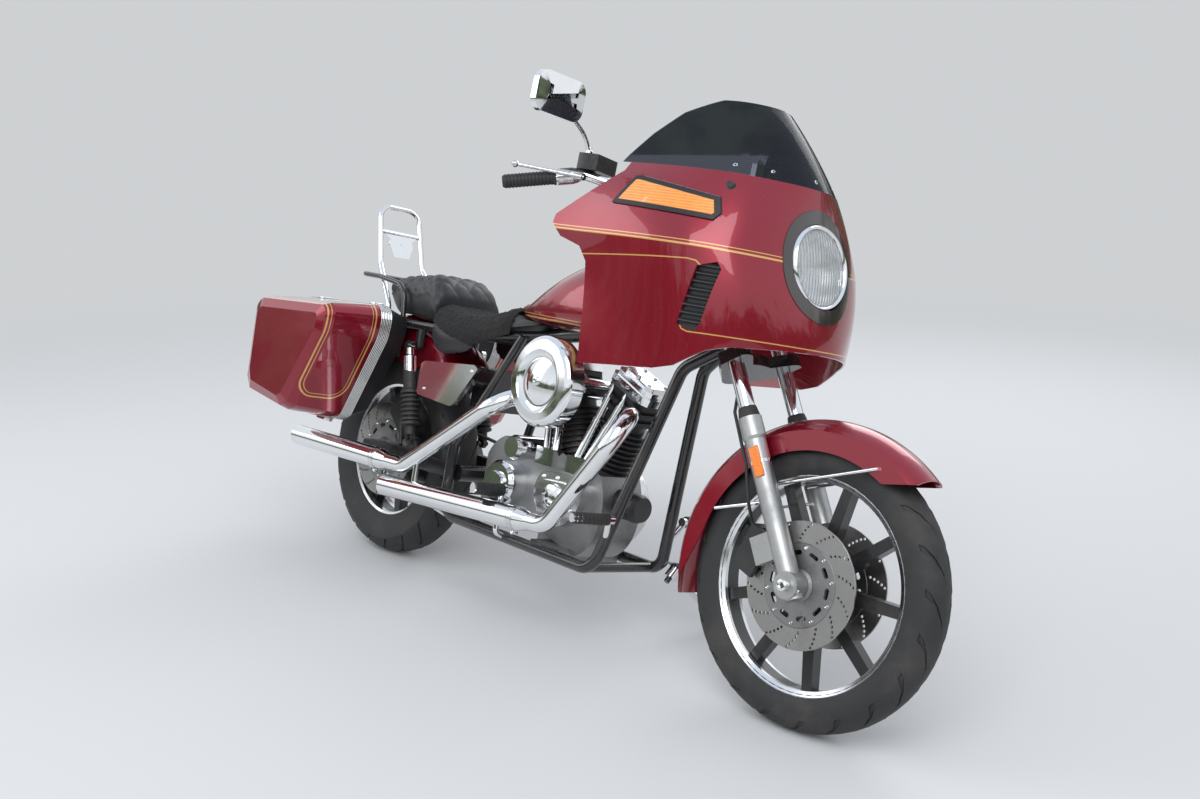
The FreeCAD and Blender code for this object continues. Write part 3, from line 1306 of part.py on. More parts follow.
def exhaust_pipes():
    """Two hollow pipes: header sweeps out of the port, straight muffler behind."""
    upper_side, lower_side = S.upper_pipe_side, S.lower_pipe_side
    reach = S.pipe_reach
    port = S.crank_forward - S.head_length * 1.13
    upper = [
        vec(port, -S.head_width * 0.3, S.upper_port_height),
        vec(port, -upper_side, S.upper_port_height - S.header_radius * 2),
        vec(S.upper_knee_forward, -upper_side, S.upper_knee_height),
        vec(-reach, -upper_side - S.muffler_radius * 0.4, S.upper_tip_height)]
    lower = [
        vec(S.crank_forward + S.head_length * 1.02, -S.head_width * 0.28, S.lower_port_height),
        vec(S.lower_front_forward, -lower_side * 0.95, S.lower_port_height - S.header_radius * 0.2),
        vec(S.lower_knee_forward, -lower_side, S.lower_knee_height),
        vec(S.lower_tip_forward, -lower_side, S.lower_tip_height)]
    pipes = []
    for name, points, tip_share in (("upper_pipe", upper, 0.80), ("lower_pipe", lower, 0.86)):
        header = tube_shape(points, S.header_radius, S.pipe_bend)
        run = points[-1] - points[-2]
        length = run.Length
        ahead = run.normalize()
        start = points[-1] - ahead * (length * tip_share)
        slope = float(S.muffler_radius * 1.2)
        muffler = Part.makeCylinder(float(S.muffler_radius), length * tip_share, start, ahead)
        cone = Part.makeCone(float(S.header_radius), float(S.muffler_radius), slope,
                             start - ahead * slope, ahead)
        bore = Part.makeCylinder(float(S.muffler_radius - S.pipe_wall),
                                 float(S.muffler_radius * 5),
                                 points[-1] - ahead * float(S.muffler_radius * 4.5), ahead)
        pipes.append(coded(name, header.fuse([cone, muffler]).cut(bore)))
    angle = float(S.v_half_deg)
    ports = fused("pipe_ports", [port_room("front_port", angle), port_room("rear_port", -angle)])
    hanger_foot = vec(S.pivot_forward, -lower_side, S.lower_tip_height)
    hanger = coded("pipe_hanger", strut_shape(
        vec(S.pivot_forward, -S.rail_spread, S.rail_height), hanger_foot, S.strut_radius * 0.6))
    strap_forward = S.pivot_forward * 0.86
    strap = coded("pipe_strap", strut_shape(
        vec(strap_forward, -lower_side, S.lower_tip_height),
        vec(strap_forward, -upper_side, S.upper_knee_height + S.header_radius * 2),
        S.strut_radius * 0.6))
    whole = less("pipes_at_ports", fused("pipes_whole", pipes + [hanger, strap]), ports)
    node("exhaust_pipes", clear_of("exhaust_pipes", whole, [
        cradle_shape(S.down_tube_radius + S.seat_gap)]))


# Rear suspension

def swingarm():
    side = S.arm_side
    arm = body("arm_right")
    half = S.arm_depth / 2
    px, pz = S.pivot_forward, S.pivot_height
    rz = S.rear_tyre_radius
    pad(arm, "XZ_Plane", [[
        (-half * 1.4, rz - half * 0.8, 0), (px, pz - half * 0.8, 0.9), (px, pz + half, 0),
        (S.shock_foot_forward + half, pz + half * 1.1),
        (S.shock_foot_forward, S.shock_foot_height - half * 0.4),
        (S.shock_foot_forward - half * 1.2, pz + half * 1.1), (-half * 1.4, rz + half, 0.6)]],
        length=S.arm_width)
    bored = cylinder("arm_axle_bore", S.axle_radius, S.arm_width * 2)
    bored.Placement = Placement(vec(0, S.arm_width, rz), ACROSS_RIGHT)
    inner = S.rail_spread - S.down_tube_radius
    relief = box("upright_room", S.down_tube_radius * 5, S.arm_width, S.arm_depth * 3)
    relief.Placement = Placement(
        vec(px - S.rail_radius - S.down_tube_radius * 1.1, side - inner + S.seat_gap - S.arm_width,
            pz - S.arm_depth * 1.5), Rotation())
    blade = less("arm_right_relieved", less("arm_right_bored", arm, bored), relief)
    blade.Placement = Placement(vec(0, -side, 0), Rotation())
    pin = strut_shape(vec(px, -inner, pz), vec(px, inner, pz), S.pivot_radius)
    stud_height = S.shock_foot_height - half * 0.5
    stud = strut_shape(
        vec(S.shock_foot_forward, -side, stud_height),
        vec(S.shock_foot_forward, -S.shock_side - S.spring_radius * 0.6, stud_height),
        S.strut_radius * 0.6)
    blades = both_sides("arm_blades", blade)
    node("swingarm", fused("swingarm", [
        blades, coded("swing_pivot", pin),
        both_sides("shock_studs", coded("shock_stud_low", stud))]))
    block = caliper("rear_caliper_block", REAR_CALIPER_TURN)
    seat = REAR_CALIPER_TURN.multVec(vec(0, 0, S.caliper_inner_radius + S.caliper_height / 2))
    stay_side = S.arm_side - S.rear_disc_side - S.arm_width / 2 + S.bracket_radius * 0.6
    foot = vec(S.rear_disc_radius * 0.82, -stay_side, S.arm_depth * 0.7)
    bracket = coded("caliper_bracket", strut_shape(
        seat + vec(0, -S.caliper_depth * 0.42, 0), foot, S.bracket_radius))
    group = fused("rear_caliper_whole", [block, bracket])
    place = Placement(vec(0, -S.rear_disc_side, rz), Rotation())
    group.Placement = place
    node("rear_caliper", less("rear_caliper", group, blades))


def shock_absorbers():
    """Bright rod above a ribbed bellows, between two bored eyes, along its own axis."""
    foot = vec(S.shock_foot_forward, -S.shock_side, S.shock_foot_height - S.arm_depth / 4)
    top = vec(S.shock_top_forward, -S.shock_side, S.shock_top_height)
    span = sized((top - foot).Length)
    part = body("shock_right")
    eye = S.shock_eye_radius
    profile = [(0, eye * 0.6), (eye, eye * 0.6), (eye, span * 0.12),
               (S.spring_radius * 1.04, span * 0.14), (S.spring_radius * 1.04, span * 0.17)]
    for index in range(BELLOWS_TURNS):
        pitch = 0.30 / BELLOWS_TURNS
        foot_share = 0.17 + pitch * index
        profile += [(S.spring_root_radius, span * (foot_share + pitch * 0.12)),
                    (S.spring_radius, span * (foot_share + pitch * 0.35)),
                    (S.spring_radius, span * (foot_share + pitch * 0.75)),
                    (S.spring_root_radius, span * (foot_share + pitch * 0.98))]
    profile += [(S.spring_radius * 1.04, span * 0.48), (S.spring_radius * 1.04, span * 0.51),
                (S.spring_root_radius, span * 0.53), (S.spring_root_radius, span * 0.88),
                (eye * 0.9, span * 0.90), (eye * 0.9, span - eye * 0.6), (0, span - eye * 0.6)]
    revolve(part, profile)
    half = S.spring_radius / 4
    eyes = []
    bores = []
    for name, height in (("low", sized(0)), ("high", span)):
        ring = cylinder("shock_eye_" + name, eye, half * 2)
        ring.Placement = Placement(vec(0, half, height), ACROSS_RIGHT)
        eyes.append(ring)
        bore = cylinder("shock_bore_" + name, S.strut_radius * 0.6 + S.fit_gap, S.spring_radius * 2)
        bore.Placement = Placement(vec(0, S.spring_radius, height), ACROSS_RIGHT)
        bores.append(bore)
    unit = less("shock_unit", fused("shock_whole", [part] + eyes), fused("shock_bores", bores))
    axis = (top - foot).normalize()
    unit.Placement = Placement(foot, Rotation(Vector(0, 0, 1), axis))
    node("shock_absorbers", both_sides("shock_absorbers", unit))


BELLOWS_TURNS = 6


def belt_loop(grow):
    """Closed line round both pulleys with true tangent runs, in the plane of the belt."""
    rear = vec(0, 0, S.rear_tyre_radius)
    front = vec(S.front_pulley_forward, 0, S.front_pulley_height)
    big = float(S.pulley_radius + S.seat_gap + grow)
    small = float(S.front_pulley_radius + S.seat_gap + grow)
    run = front - rear
    turn = math.acos((big - small) / run.Length)
    along = run.normalize()
    above = Vector(-along.z, 0, along.x)

    def rim(centre, radius, angle):
        return centre + (along * math.cos(angle) + above * math.sin(angle)) * radius

    high, low = rim(rear, big, turn), rim(rear, big, -turn)
    high_front, low_front = rim(front, small, turn), rim(front, small, -turn)
    return Part.Wire([
        Part.makeLine(high, high_front),
        Part.Arc(high_front, front + along * small, low_front).toShape(),
        Part.makeLine(low_front, low),
        Part.Arc(low, rear - along * big, high).toShape()])


def belt_shape(grow, width):
    face = Part.Face(belt_loop(grow))
    face.translate(vec(0, -width / 2, 0))
    return face.extrude(vec(0, width, 0))


def drive_belt():
    """Flat belt round both pulleys, and the front pulley on the gearbox's side."""
    place = Placement(vec(0, S.pulley_side, 0), Rotation())
    room = belt_shape(sized(0), S.belt_width * 2)
    belt = belt_shape(S.belt_thickness, S.belt_width).cut(room)
    node("drive_belt", coded("drive_belt", belt), place)
    reach = S.pulley_side - S.case_half_width * 0.85 - S.seat_gap
    wheel = cylinder("front_pulley_rim", S.front_pulley_radius, S.belt_width)
    wheel.Placement = Placement(vec(0, S.belt_width / 2, 0), ACROSS_RIGHT)
    hub = cylinder("front_pulley_hub", S.pulley_hub_radius, reach)
    hub.Placement = Placement(Vector(), ACROSS_RIGHT)
    pulley = fused("front_pulley", [wheel, hub])
    node("front_pulley", pulley, Placement(
        vec(S.front_pulley_forward, S.pulley_side, S.front_pulley_height), Rotation()))


# Tank and seats

def ring_wire(place_x, half_width, base, height, shares):
    """A closed smooth section across the machine, given as half-outline shares."""
    right = [vec(place_x, -half_width * v, base + height * w) for v, w in shares]
    left = [Vector(p.x, -p.y, p.z) for p in reversed(right) if abs(p.y) > 1e-6]
    curve = Part.BSplineCurve()
    curve.interpolate(right + left, PeriodicFlag=True)
    return Part.Wire([curve.toShape()])


def loft(wires):
    return Part.makeLoft(wires, True, False)


TANK_SECTION_shares = [(0, 0), (0.62, 0.0), (0.93, 0.10), (1.0, 0.38), (0.86, 0.74), (0.5, 0.96), (0, 1)]
TANK_STATION_shares = [
    (0.0, 0.28, 0.10, 0.12), (0.10, 0.55, 0.03, 0.28), (0.26, 0.82, 0.0, 0.60),
    (0.44, 0.97, 0.0, 0.84), (0.64, 1.0, 0.02, 0.96), (0.84, 0.86, 0.10, 0.88),
    (0.96, 0.66, 0.22, 0.68), (1.0, 0.52, 0.30, 0.54)]


def tank_shape(grow):
    """Teardrop of smooth sections; a small growth gives the room its neighbours leave."""
    wires = []
    last = len(TANK_STATION_shares) - 1
    for index, (along, width, base, height) in enumerate(TANK_STATION_shares):
        end = grow * ((index == last) - (index == 0))
        wires.append(ring_wire(
            S.tank_rear + S.tank_length * along + end, S.tank_half_width * width + grow,
            S.tank_base + S.tank_height * base - grow, S.tank_height * height + grow * 2,
            TANK_SECTION_shares))
    return loft(wires)


def fuel_tank():
    """Teardrop tank, saddled over the backbone."""
    tank = coded("tank_shell", tank_shape(sized(0)))
    neck = on_steering_axis(S.upper_clamp - S.backbone_radius * 4)
    neck = neck - vec(S.head_tube_radius * 0.95, 0, 0)
    rear = vec(S.seat_node_forward, 0, S.seat_node_height)
    run = (neck - rear).normalize() * float(S.backbone_radius * 3)
    tunnel = strut_shape(rear - run, neck + run, S.backbone_radius + S.seat_gap)
    cap = body("fuel_cap")
    r = S.backbone_radius
    revolve(cap, [(0, -r), (r * 1.3, -r), (r * 1.3, 0, 0), (r * 1.5, 0, 0.3),
                  (r * 1.2, r * 0.6, dome(r * 1.2, r * 0.1)), (0, r * 0.7)])
    cap.Placement = Placement(
        vec(S.tank_rear + S.tank_length * 0.56, 0, S.tank_base + S.tank_height * 0.93), Rotation())
    node("fuel_tank", less("fuel_tank_hollowed", tank, coded("tank_tunnel", tunnel)))
    node("fuel_cap", less("fuel_cap_seated", cap, tank))


def cushion_shape(stations, grow, low=0):
    """Upholstered shape lofted through (x, half width, base, top) stations."""
    wires = []
    last = len(stations) - 1
    for index, (x, half, base, top) in enumerate(stations):
        end = grow * ((index == last) - (index == 0))
        wires.append(ring_wire(x + end, half + grow, base - grow, top - base + grow * 2,
                               CUSHION_SECTION_shares))
    return loft(wires)


def rider_stations():
    return [(S.seat_rear + S.seat_length * u, S.seat_half_width * v,
             S.seat_base + S.seat_height * low, S.seat_base + S.seat_height * high)
            for u, v, low, high in RIDER_SEAT_shares]


def rail_room():
    """Tunnel under the seat that the seat rails and the backbone run through."""
    tall = S.rail_radius * 1.12 + S.seat_gap
    spine = S.backbone_radius * 1.06 + S.seat_gap
    pivot_top = S.seat_node_height - S.rail_radius * 2.5 + tall
    neck = on_steering_axis(S.upper_clamp - S.backbone_radius * 4)
    return coded("rail_room", prism([
        (-S.rear_frame_reach, S.seat_base - S.seat_height),
        (neck.x, S.seat_base - S.seat_height), (neck.x, neck.z + float(spine)),
        (S.seat_node_forward, S.seat_node_height + spine), (S.pivot_forward, pivot_top),
        (-S.rear_frame_reach, S.rear_frame_height + tall)],
        S.seat_rail_spread + S.rail_radius + S.seat_gap))


def seats():
    tank_room = coded("tank_room", tank_shape(S.seat_gap * 3))
    leather = coded("rider_seat_block", cushion_shape(rider_stations(), sized(0)))
    room = fused("rider_seat_room", [tank_room, rail_room()])
    node("rider_seat", less("rider_seat", leather, room))
    px, pz = S.pillion_rear, S.pillion_base
    pillion = coded("pillion_block", cushion_shape([
        (px + S.pillion_length * u, S.pillion_half_width * v, pz + S.pillion_height * low,
         pz + S.pillion_height * high) for u, v, low, high in PILLION_shares], sized(0)))
    crown = cylinder("pillion_crown", S.rear_guard_radius + S.seat_gap, S.pillion_half_width * 4)
    crown.Placement = Placement(vec(0, S.pillion_half_width * 2, S.rear_tyre_radius), ACROSS_RIGHT)
    node("pillion_pad", less("pillion_pad", pillion, crown))
    fleece_room = coded("fleece_room", cushion_shape(rider_stations(), S.seat_gap))
    over = coded("fleece_over", cushion_shape([
        (S.seat_rear + S.seat_length * u, S.seat_half_width * v + S.fleece_thickness,
         S.seat_base + S.seat_height * low, S.seat_base + S.seat_height * high + S.fleece_thickness)
        for u, v, low, high in FLEECE_shares], sized(0)))
    side = coded("fleece_side", prism(
        [(S.seat_rear + S.seat_length * u, S.seat_base + S.seat_height * w)
         for u, w in FLEECE_SIDE_shares], S.seat_half_width * 2))
    pad_whole = less("fleece_hollow", shared("fleece_cut", over, side), fleece_room)
    node("fleece_pad", less("fleece_pad", pad_whole, tank_room))


CUSHION_SECTION_shares = [
    (0, 0), (0.45, 0.0), (0.82, 0.06), (1.0, 0.34), (0.95, 0.72), (0.72, 0.96), (0.35, 1), (0, 1)]
RIDER_SEAT_shares = [
    (0.0, 0.92, 0.10, 0.62), (0.13, 1.0, 0.0, 0.575), (0.33, 1.0, 0.04, 0.54),
    (0.53, 0.86, 0.10, 0.585), (0.73, 0.66, 0.20, 0.72), (0.89, 0.52, 0.32, 0.87),
    (1.0, 0.42, 0.46, 0.97)]
PILLION_shares = [
    (0.0, 0.42, 0.42, 0.73), (0.14, 0.56, 0.16, 0.80), (0.35, 0.80, 0.0, 0.88),
    (0.59, 0.83, 0.0, 0.95), (0.81, 0.94, 0.0, 1.0), (0.93, 1.0, 0.0, 0.86),
    (1.0, 0.98, 0.04, 0.62)]
FLEECE_shares = [
    (0.01, 0.92, 0.10, 0.60), (0.13, 1.0, 0.0, 0.575), (0.33, 1.0, 0.04, 0.54),
    (0.53, 0.86, 0.10, 0.585), (0.73, 0.66, 0.20, 0.72), (0.89, 0.52, 0.32, 0.87),
    (1.06, 0.44, 0.50, 0.94)]
FLEECE_SIDE_shares = [
    (-0.02, 0.40), (0.50, 0.22), (0.78, 0.42), (1.10, 0.80), (1.10, 1.3), (-0.02, 1.3)]


# Rear mudguard, rails and lamp

def rear_mudguard():
    ring = guard_ring("rear_guard_ring", S.rear_guard_radius, S.rear_guard_skirt,
                      S.rear_guard_half_width, S.guard_wall,
                      float(S.rear_guard_front_deg), float(S.rear_guard_rear_deg))
    spin = Rotation(Vector(0, 0, 1), -float(S.rear_guard_rear_deg))
    ring.Placement = Placement(vec(0, 0, S.rear_tyre_radius), ACROSS.multiply(spin))
    r = S.rear_guard_radius
    trim = coded("rear_guard_side", prism(
        [(r * u, S.rear_tyre_radius + r * w) for u, w in REAR_GUARD_SIDE_shares],
        S.rear_guard_half_width * 1.5))
    node("rear_fender", shared("rear_guard_shell", ring, trim))
    lamp = box("tail_lamp", S.tail_lamp_depth, S.tail_lamp_width, S.tail_lamp_height)
    at = Rotation(Vector(0, 1, 0), -TAIL_LAMP_DEG)
    spot = vec(0, 0, S.rear_tyre_radius) + at.multVec(vec(-r + S.guard_wall, 0, 0))
    lamp.Placement = Placement(
        spot + at.multVec(vec(-S.tail_lamp_depth, -S.tail_lamp_width / 2, -S.tail_lamp_height / 2)), at)
    trimmed = less("tail_lamp_seated", lamp, ring)
    node("tail_lamp", trimmed)


REAR_GUARD_SIDE_shares = [
    (1.0, 0.36), (0.80, 0.62), (0.45, 0.66), (0.10, 0.62), (-0.35, 0.56), (-0.72, 0.30),
    (-0.86, 0.02), (-1.1, 0.0), (-1.1, 1.1), (1.0, 1.1)]
TAIL_LAMP_DEG = -34


def hoop_points(half_width, marks):
    """Right half of a hoop, as (forward, share of the half width, height)."""
    right = [vec(x, -half_width * v, z) for x, v, z in marks]
    return right + [Vector(p.x, -p.y, p.z) for p in reversed(right)]


def rear_hoops():
    rail = S.rear_frame_height
    base = S.seat_rail_spread / S.sissy_half_width
    sissy = tube_shape(hoop_points(S.sissy_half_width, [
        (-S.sissy_foot_reach, float(base), rail),
        (-S.sissy_foot_reach * 1.1, float(base), rail + S.strut_radius * 4),
        (-S.sissy_knee_reach, 1, S.sissy_knee_height),
        (-S.sissy_top_reach, 0.92, S.sissy_height)]), S.hoop_radius, S.sissy_bend)
    plate = body("sissy_plate")
    half_w, half_h = S.sissy_plate_width / 2, S.sissy_plate_height / 2
    pad(plate, "XY_Plane", [[
        (-half_h, -half_w * 0.4), (-half_h * 0.3, -half_w * 0.55, 0.3),
        (half_h * 0.3, -half_w * 0.55, 0), (half_h, -half_w), (half_h, half_w),
        (half_h * 0.3, half_w * 0.55, 0.3), (-half_h * 0.3, half_w * 0.55),
        (-half_h, half_w * 0.4)]],
        circles=[(0, 0, S.plate_hole_radius)], length=S.sissy_plate_thickness)
    knee = vec(-S.sissy_knee_reach, 0, S.sissy_knee_height)
    up = (vec(-S.sissy_top_reach, 0, S.sissy_height) - knee).normalize()
    centre = knee + up * float(S.sissy_plate_height * 0.84)
    normal = up.cross(Vector(0, 1, 0))
    plate.Placement = Placement(centre, Rotation(up, Vector(0, 1, 0), normal, "XYZ"))
    bar = strut_shape(centre + up * float(half_h * 0.8) + vec(0, -S.sissy_half_width * 0.98, 0),
                      centre + up * float(half_h * 0.8) + vec(0, S.sissy_half_width * 0.98, 0),
                      S.hoop_radius * 0.7)
    hole = Part.makeCylinder(float(S.plate_hole_radius), float(S.sissy_plate_width),
                             centre - normal * float(half_w), normal)
    tubes = coded("sissy_hoop", sissy.fuse(bar).cut(hole))
    rails = [seat_rail_shape(S.rail_radius + S.fit_gap)]
    node("sissy_bar", clear_of("sissy_bar", fused("sissy_whole", [tubes, plate]), rails))
    grab = tube_shape(hoop_points(S.grab_side, [
        (S.grab_front, 1.0, rail + S.hoop_radius),
        (S.grab_front * 0.5, 1.0, S.grab_height - S.rail_radius),
        (-S.grab_front * 3, 1.0, S.grab_height), (-S.grab_rear, 0.92, S.grab_height)]),
        S.rail_tube_radius, S.grab_bend)
    inner = S.seat_rail_spread + S.rail_radius * 0.8
    feet = strut_shape(vec(S.grab_front, -S.grab_side, rail + S.hoop_radius),
                       vec(S.grab_front, -inner, rail + S.hoop_radius * 0.3), S.rail_tube_radius)
    far = strut_shape(vec(S.grab_front, S.grab_side, rail + S.hoop_radius),
                      vec(S.grab_front, inner, rail + S.hoop_radius * 0.3), S.rail_tube_radius)
    node("grab_rail", clear_of("grab_rail", coded("grab_whole", grab.fuse([feet, far])), rails))


def side_covers():
    """Four-sided cover with rounded corners between the frame tubes."""
    part = body("side_cover_right")
    x0, z0 = S.side_cover_rear, S.side_cover_base
    length, height = S.side_cover_length, S.side_cover_height
    pad(part, "XZ_Plane", [[
        (x0 + length * u, z0 + height * w, b) for u, w, b in SIDE_COVER_shares]],
        length=S.side_cover_thickness, shift=S.side_cover_side, symmetric=False)
    node("side_covers", both_sides("side_covers", part))
    tank = box("oil_tank_block", S.oil_tank_length, S.oil_tank_half_width * 2, S.oil_tank_height)
    tank.Placement = Placement(
        vec(S.oil_tank_rear, -S.oil_tank_half_width, S.oil_tank_base), Rotation())
    pins = []
    for index, u in enumerate((0.15, 0.70)):
        at = S.oil_tank_rear + S.oil_tank_length * u
        post = strut_shape(vec(at, -S.side_cover_side, z0 + height * 0.6),
                           vec(at, S.side_cover_side, z0 + height * 0.6), S.strut_radius * 0.5)
        pins.append(coded("cover_post_%d" % (index + 1), post))
    at = S.oil_tank_rear + S.oil_tank_length * 0.89
    strap = strut_shape(vec(at, -S.seat_rail_spread, S.oil_tank_base + S.oil_tank_height * 0.13),
                        vec(at, S.seat_rail_spread, S.oil_tank_base + S.oil_tank_height * 0.13),
                        S.strut_radius * 0.5)
    whole = fused("oil_tank_whole", [tank, coded("oil_tank_strap", strap)] + pins)
    node("oil_tank", clear_of("oil_tank", whole, [brace_shape(S.strut_radius + S.fit_gap)]))


SIDE_COVER_shares = [
    (0.05, 0.06, 0), (0.62, 0.0, 0.12), (0.70, 0.08, 0), (1.0, 0.92, 0.2), (0.93, 1.0, 0),
    (0.10, 0.84, 0.2), (0.0, 0.74, 0), (0.0, 0.12, 0.2)]


# Saddlebags

def bag_outline(grow):
    """Side view of the bag; the front edge leans back towards the bottom."""
    x1, x0 = S.bag_front, S.bag_front - S.bag_length
    z0, z1 = S.bag_base, S.bag_base + S.bag_height
    grow = sized(grow)
    return [(x0 + S.bag_length * u + grow * gu, z0 + S.bag_height * w + grow * gw, b)
            for u, w, gu, gw, b in BAG_shares]


BAG_shares = [
    (0.02, 0.16, -1, -1, 0), (0.10, 0.06, -0.6, -1, 0), (0.60, 0.0, 0.6, -1, 0.12),
    (0.70, 0.06, 1, -0.8, 0), (0.98, 0.72, 1, 0, 0.10), (1.0, 0.90, 1, 0.6, 0.3),
    (0.93, 1.0, 0.6, 1, 0), (0.10, 0.95, -0.6, 1, 0.3), (0.0, 0.82, -1, 0.6, 0)]


def bag_layer(name, sections):
    """Solid through side outlines, each (distance from the middle, growth)."""
    wires = []
    for side, grow in sections:
        outline = bag_outline(grow)
        edges = []
        for (x, z, bulge), (nx, nz, unused) in zip(outline, outline[1:] + outline[:1]):
            start, end = vec(x, -side, z), vec(nx, -side, nz)
            if bulge:
                across = Vector(end.z - start.z, 0, start.x - end.x) * (bulge / 2)
                edges.append(Part.Arc(start, (start + end) / 2 + across, end).toShape())
            else:
                edges.append(Part.makeLine(start, end))
        wires.append(Part.Wire(edges))
    return coded(name, Part.makeLoft(wires, True, True))


def knuckle(name, start, leaf_near, leaf_far):
    """Barrel of a hinge on the bag's foot line, with the leaf that ties it to its own half."""
    axis_side, axis_height = hinge_line()
    r, length = S.knuckle_radius, S.knuckle_length
    barrel = cylinder(name + "_barrel", r, length)
    barrel.Placement = Placement(vec(start, -axis_side, axis_height),
                                 Rotation(Vector(0, 1, 0), 90))
    leaf = box(name + "_leaf", length, leaf_far - leaf_near, r * 2 + S.band_proud)
    leaf.Placement = Placement(vec(start, -leaf_far, axis_height - r / 2), Rotation())
    return fused(name, [barrel, leaf])


def hinge_line():
    """Distance from the middle and height of the lids' hinge axis."""
    side = S.bag_lid_side - S.lid_gap / 2
    return side, S.bag_base - S.band_proud - S.knuckle_radius


def saddlebags():
    """Inner shell with a proud band, and an outer half that hinges down from the band's foot."""
    wall = S.bag_wall
    inner, band, lid, outer = S.bag_inner_side, S.bag_band_side, S.bag_lid_side, S.bag_outer_side
    taper, proud = S.bag_taper, S.band_proud
    shell = bag_layer("bag_inner_block", [(inner, -taper), (band, 0)])
    hollow = bag_layer("bag_inner_hollow", [(inner + wall, -taper - wall), (band + wall, -wall)])
    node("bag_shells", both_sides("bag_shells", less("bag_inner_right", shell, hollow)))
    ring = bag_layer("bag_band_block", [(band + S.seat_gap, proud), (lid - S.lid_gap, proud)])
    ring_bore = bag_layer("bag_band_bore", [(band - wall, -wall), (lid + wall, -wall)])
    band_ring = less("bag_band_ring", ring, ring_bore)
    side, height = hinge_line()
    first = S.bag_front - S.bag_length * 0.40 - S.knuckle_length
    second = first - S.knuckle_length - S.lid_gap
    leaf = knuckle("band_knuckle", first, side - S.knuckle_radius * 1.6, side - S.lid_gap)
    node("bag_bands", both_sides("bag_bands", fused("bag_band_right", [band_ring, leaf])))
    outline = [(lid, proud / 2), (outer - taper * 1.7, -taper * 0.55),
               (outer - taper * 0.5, -taper), (outer, -taper * 2.2)]
    block = bag_layer("bag_lid_block", outline)
    bore = bag_layer("bag_lid_bore", [(lid - wall, proud / 2 - wall)] + [
        (at - wall, grow - wall) for at, grow in outline[1:]])
    shell = less("bag_lid_shell", block, bore)
    hook = knuckle("lid_knuckle", second, side + S.lid_gap, side + S.knuckle_radius * 1.6)
    half = fused("bag_lid_half", [shell, hook])
    node("bag_lid_right", half, Placement(), "bag_lid_right")
    node("bag_lid_left", mirrored(half), Placement(), "bag_lid_left")


# Fairing, windshield and lamps

FAIRING_shares = {
    "base": (0.0, [
        (0, 0.90), (0.32, 0.895), (0.62, 0.84), (0.78, 0.71), (0.893, 0.47), (0.948, 0.23), (0.96, 0)]),
    "lip": (0.267, [
        (0, 0.92), (0.32, 0.918), (0.62, 0.875), (0.80, 0.755), (0.916, 0.515), (0.98, 0.26), (1.0, 0)]),
    "waist": (0.475, [
        (0, 0.945), (0.32, 0.945), (0.63, 0.905), (0.79, 0.78), (0.90, 0.545), (0.952, 0.27),
        (0.968, 0)]),
    "crease": (0.638, [
        (0, 1.0), (0.32, 0.985), (0.54, 0.962), (0.73, 0.85), (0.853, 0.61), (0.92, 0.30), (0.936, 0)]),
    "brow": (0.812, [
        (0, 0.93), (0.32, 0.91), (0.54, 0.868), (0.71, 0.74), (0.83, 0.50), (0.878, 0.26), (0.89, 0)]),
    "top": (1.0, [
        (0, 0.78), (0.32, 0.765), (0.54, 0.705), (0.695, 0.575), (0.79, 0.364), (0.837, 0.18),
        (0.853, 0)]),
}
SHIELD_shares = [
    (0.0, [(0, 0.79), (0.32, 0.765), (0.54, 0.705), (0.695, 0.575), (0.79, 0.364), (0.837, 0.18),
           (0.853, 0)]),
    (0.50, [(0, 0.62), (0.32, 0.60), (0.49, 0.55), (0.63, 0.42), (0.70, 0.25), (0.725, 0.12),
            (0.733, 0)]),
    (1.0, [(0, 0.43), (0.30, 0.42), (0.44, 0.385), (0.535, 0.28), (0.575, 0.16), (0.59, 0.08),
           (0.596, 0)]),
]
FAIRING_SIDE_shares = [
    (0.236, 0.014), (0.60, 0.060), (0.69, 0.092), (0.80, 0.185), (0.86, 0.215), (1.06, 0.262),
    (1.06, 1.02), (0.27, 1.02),
    (0.262, 0.955), (0.141, 0.836), (0.012, 0.705), (0.01, 0.665), (0.058, 0.60), (0.166, 0.565),
    (0.207, 0.497), (0.225, 0.26)]
SHIELD_SIDE_shares = [
    (0.22, 0.0), (0.232, 0.10), (0.285, 0.42), (0.365, 0.74), (0.49, 0.96), (0.62, 1.0), (1.0, 1.0),
    (1.0, 0.0)]


def fairing_wire(height, shares, wall, proud=0):
    half = [vec(S.fairing_rear + S.fairing_length * u, S.fairing_half_width * v, height) for u, v in shares]
    return wrap_section(half, wall, proud)


def fairing_level(name, wall, proud=0):
    share, half = FAIRING_shares[name]
    return fairing_wire(S.fairing_base + S.fairing_height * share, half, wall, proud)


def lamp_place():
    """Centre of the lamp opening on the nose, with Z pointing out along the lamp."""
    top = S.fairing_base + S.fairing_height * FAIRING_shares["brow"][0]
    low = S.fairing_base + S.fairing_height * FAIRING_shares["lip"][0]
    nose_top = S.fairing_rear + S.fairing_length * FAIRING_shares["brow"][1][-1][0]
    nose_low = S.fairing_rear + S.fairing_length * FAIRING_shares["lip"][1][-1][0]
    share = (float(S.lamp_height) - float(low)) / (float(top) - float(low))
    x = float(nose_low) + (float(nose_top) - float(nose_low)) * share
    turn = Rotation(Vector(0, 1, 0), 90 - float(S.lamp_tilt_deg))
    return Placement(vec(x, 0, S.lamp_height), turn)


def oval(half_height, half_width, reach_back, reach_out):
    """Oval bar along the lamp's axis; local X runs down the nose."""
    ellipse = Part.Ellipse(Vector(0, 0, 0), float(half_height), float(half_width))
    face = Part.Face(Part.Wire([ellipse.toShape()]))
    face.translate(vec(0, 0, -reach_back))
    bar = face.extrude(vec(0, 0, reach_back + reach_out))
    bar.Placement = lamp_place().multiply(bar.Placement)
    return bar


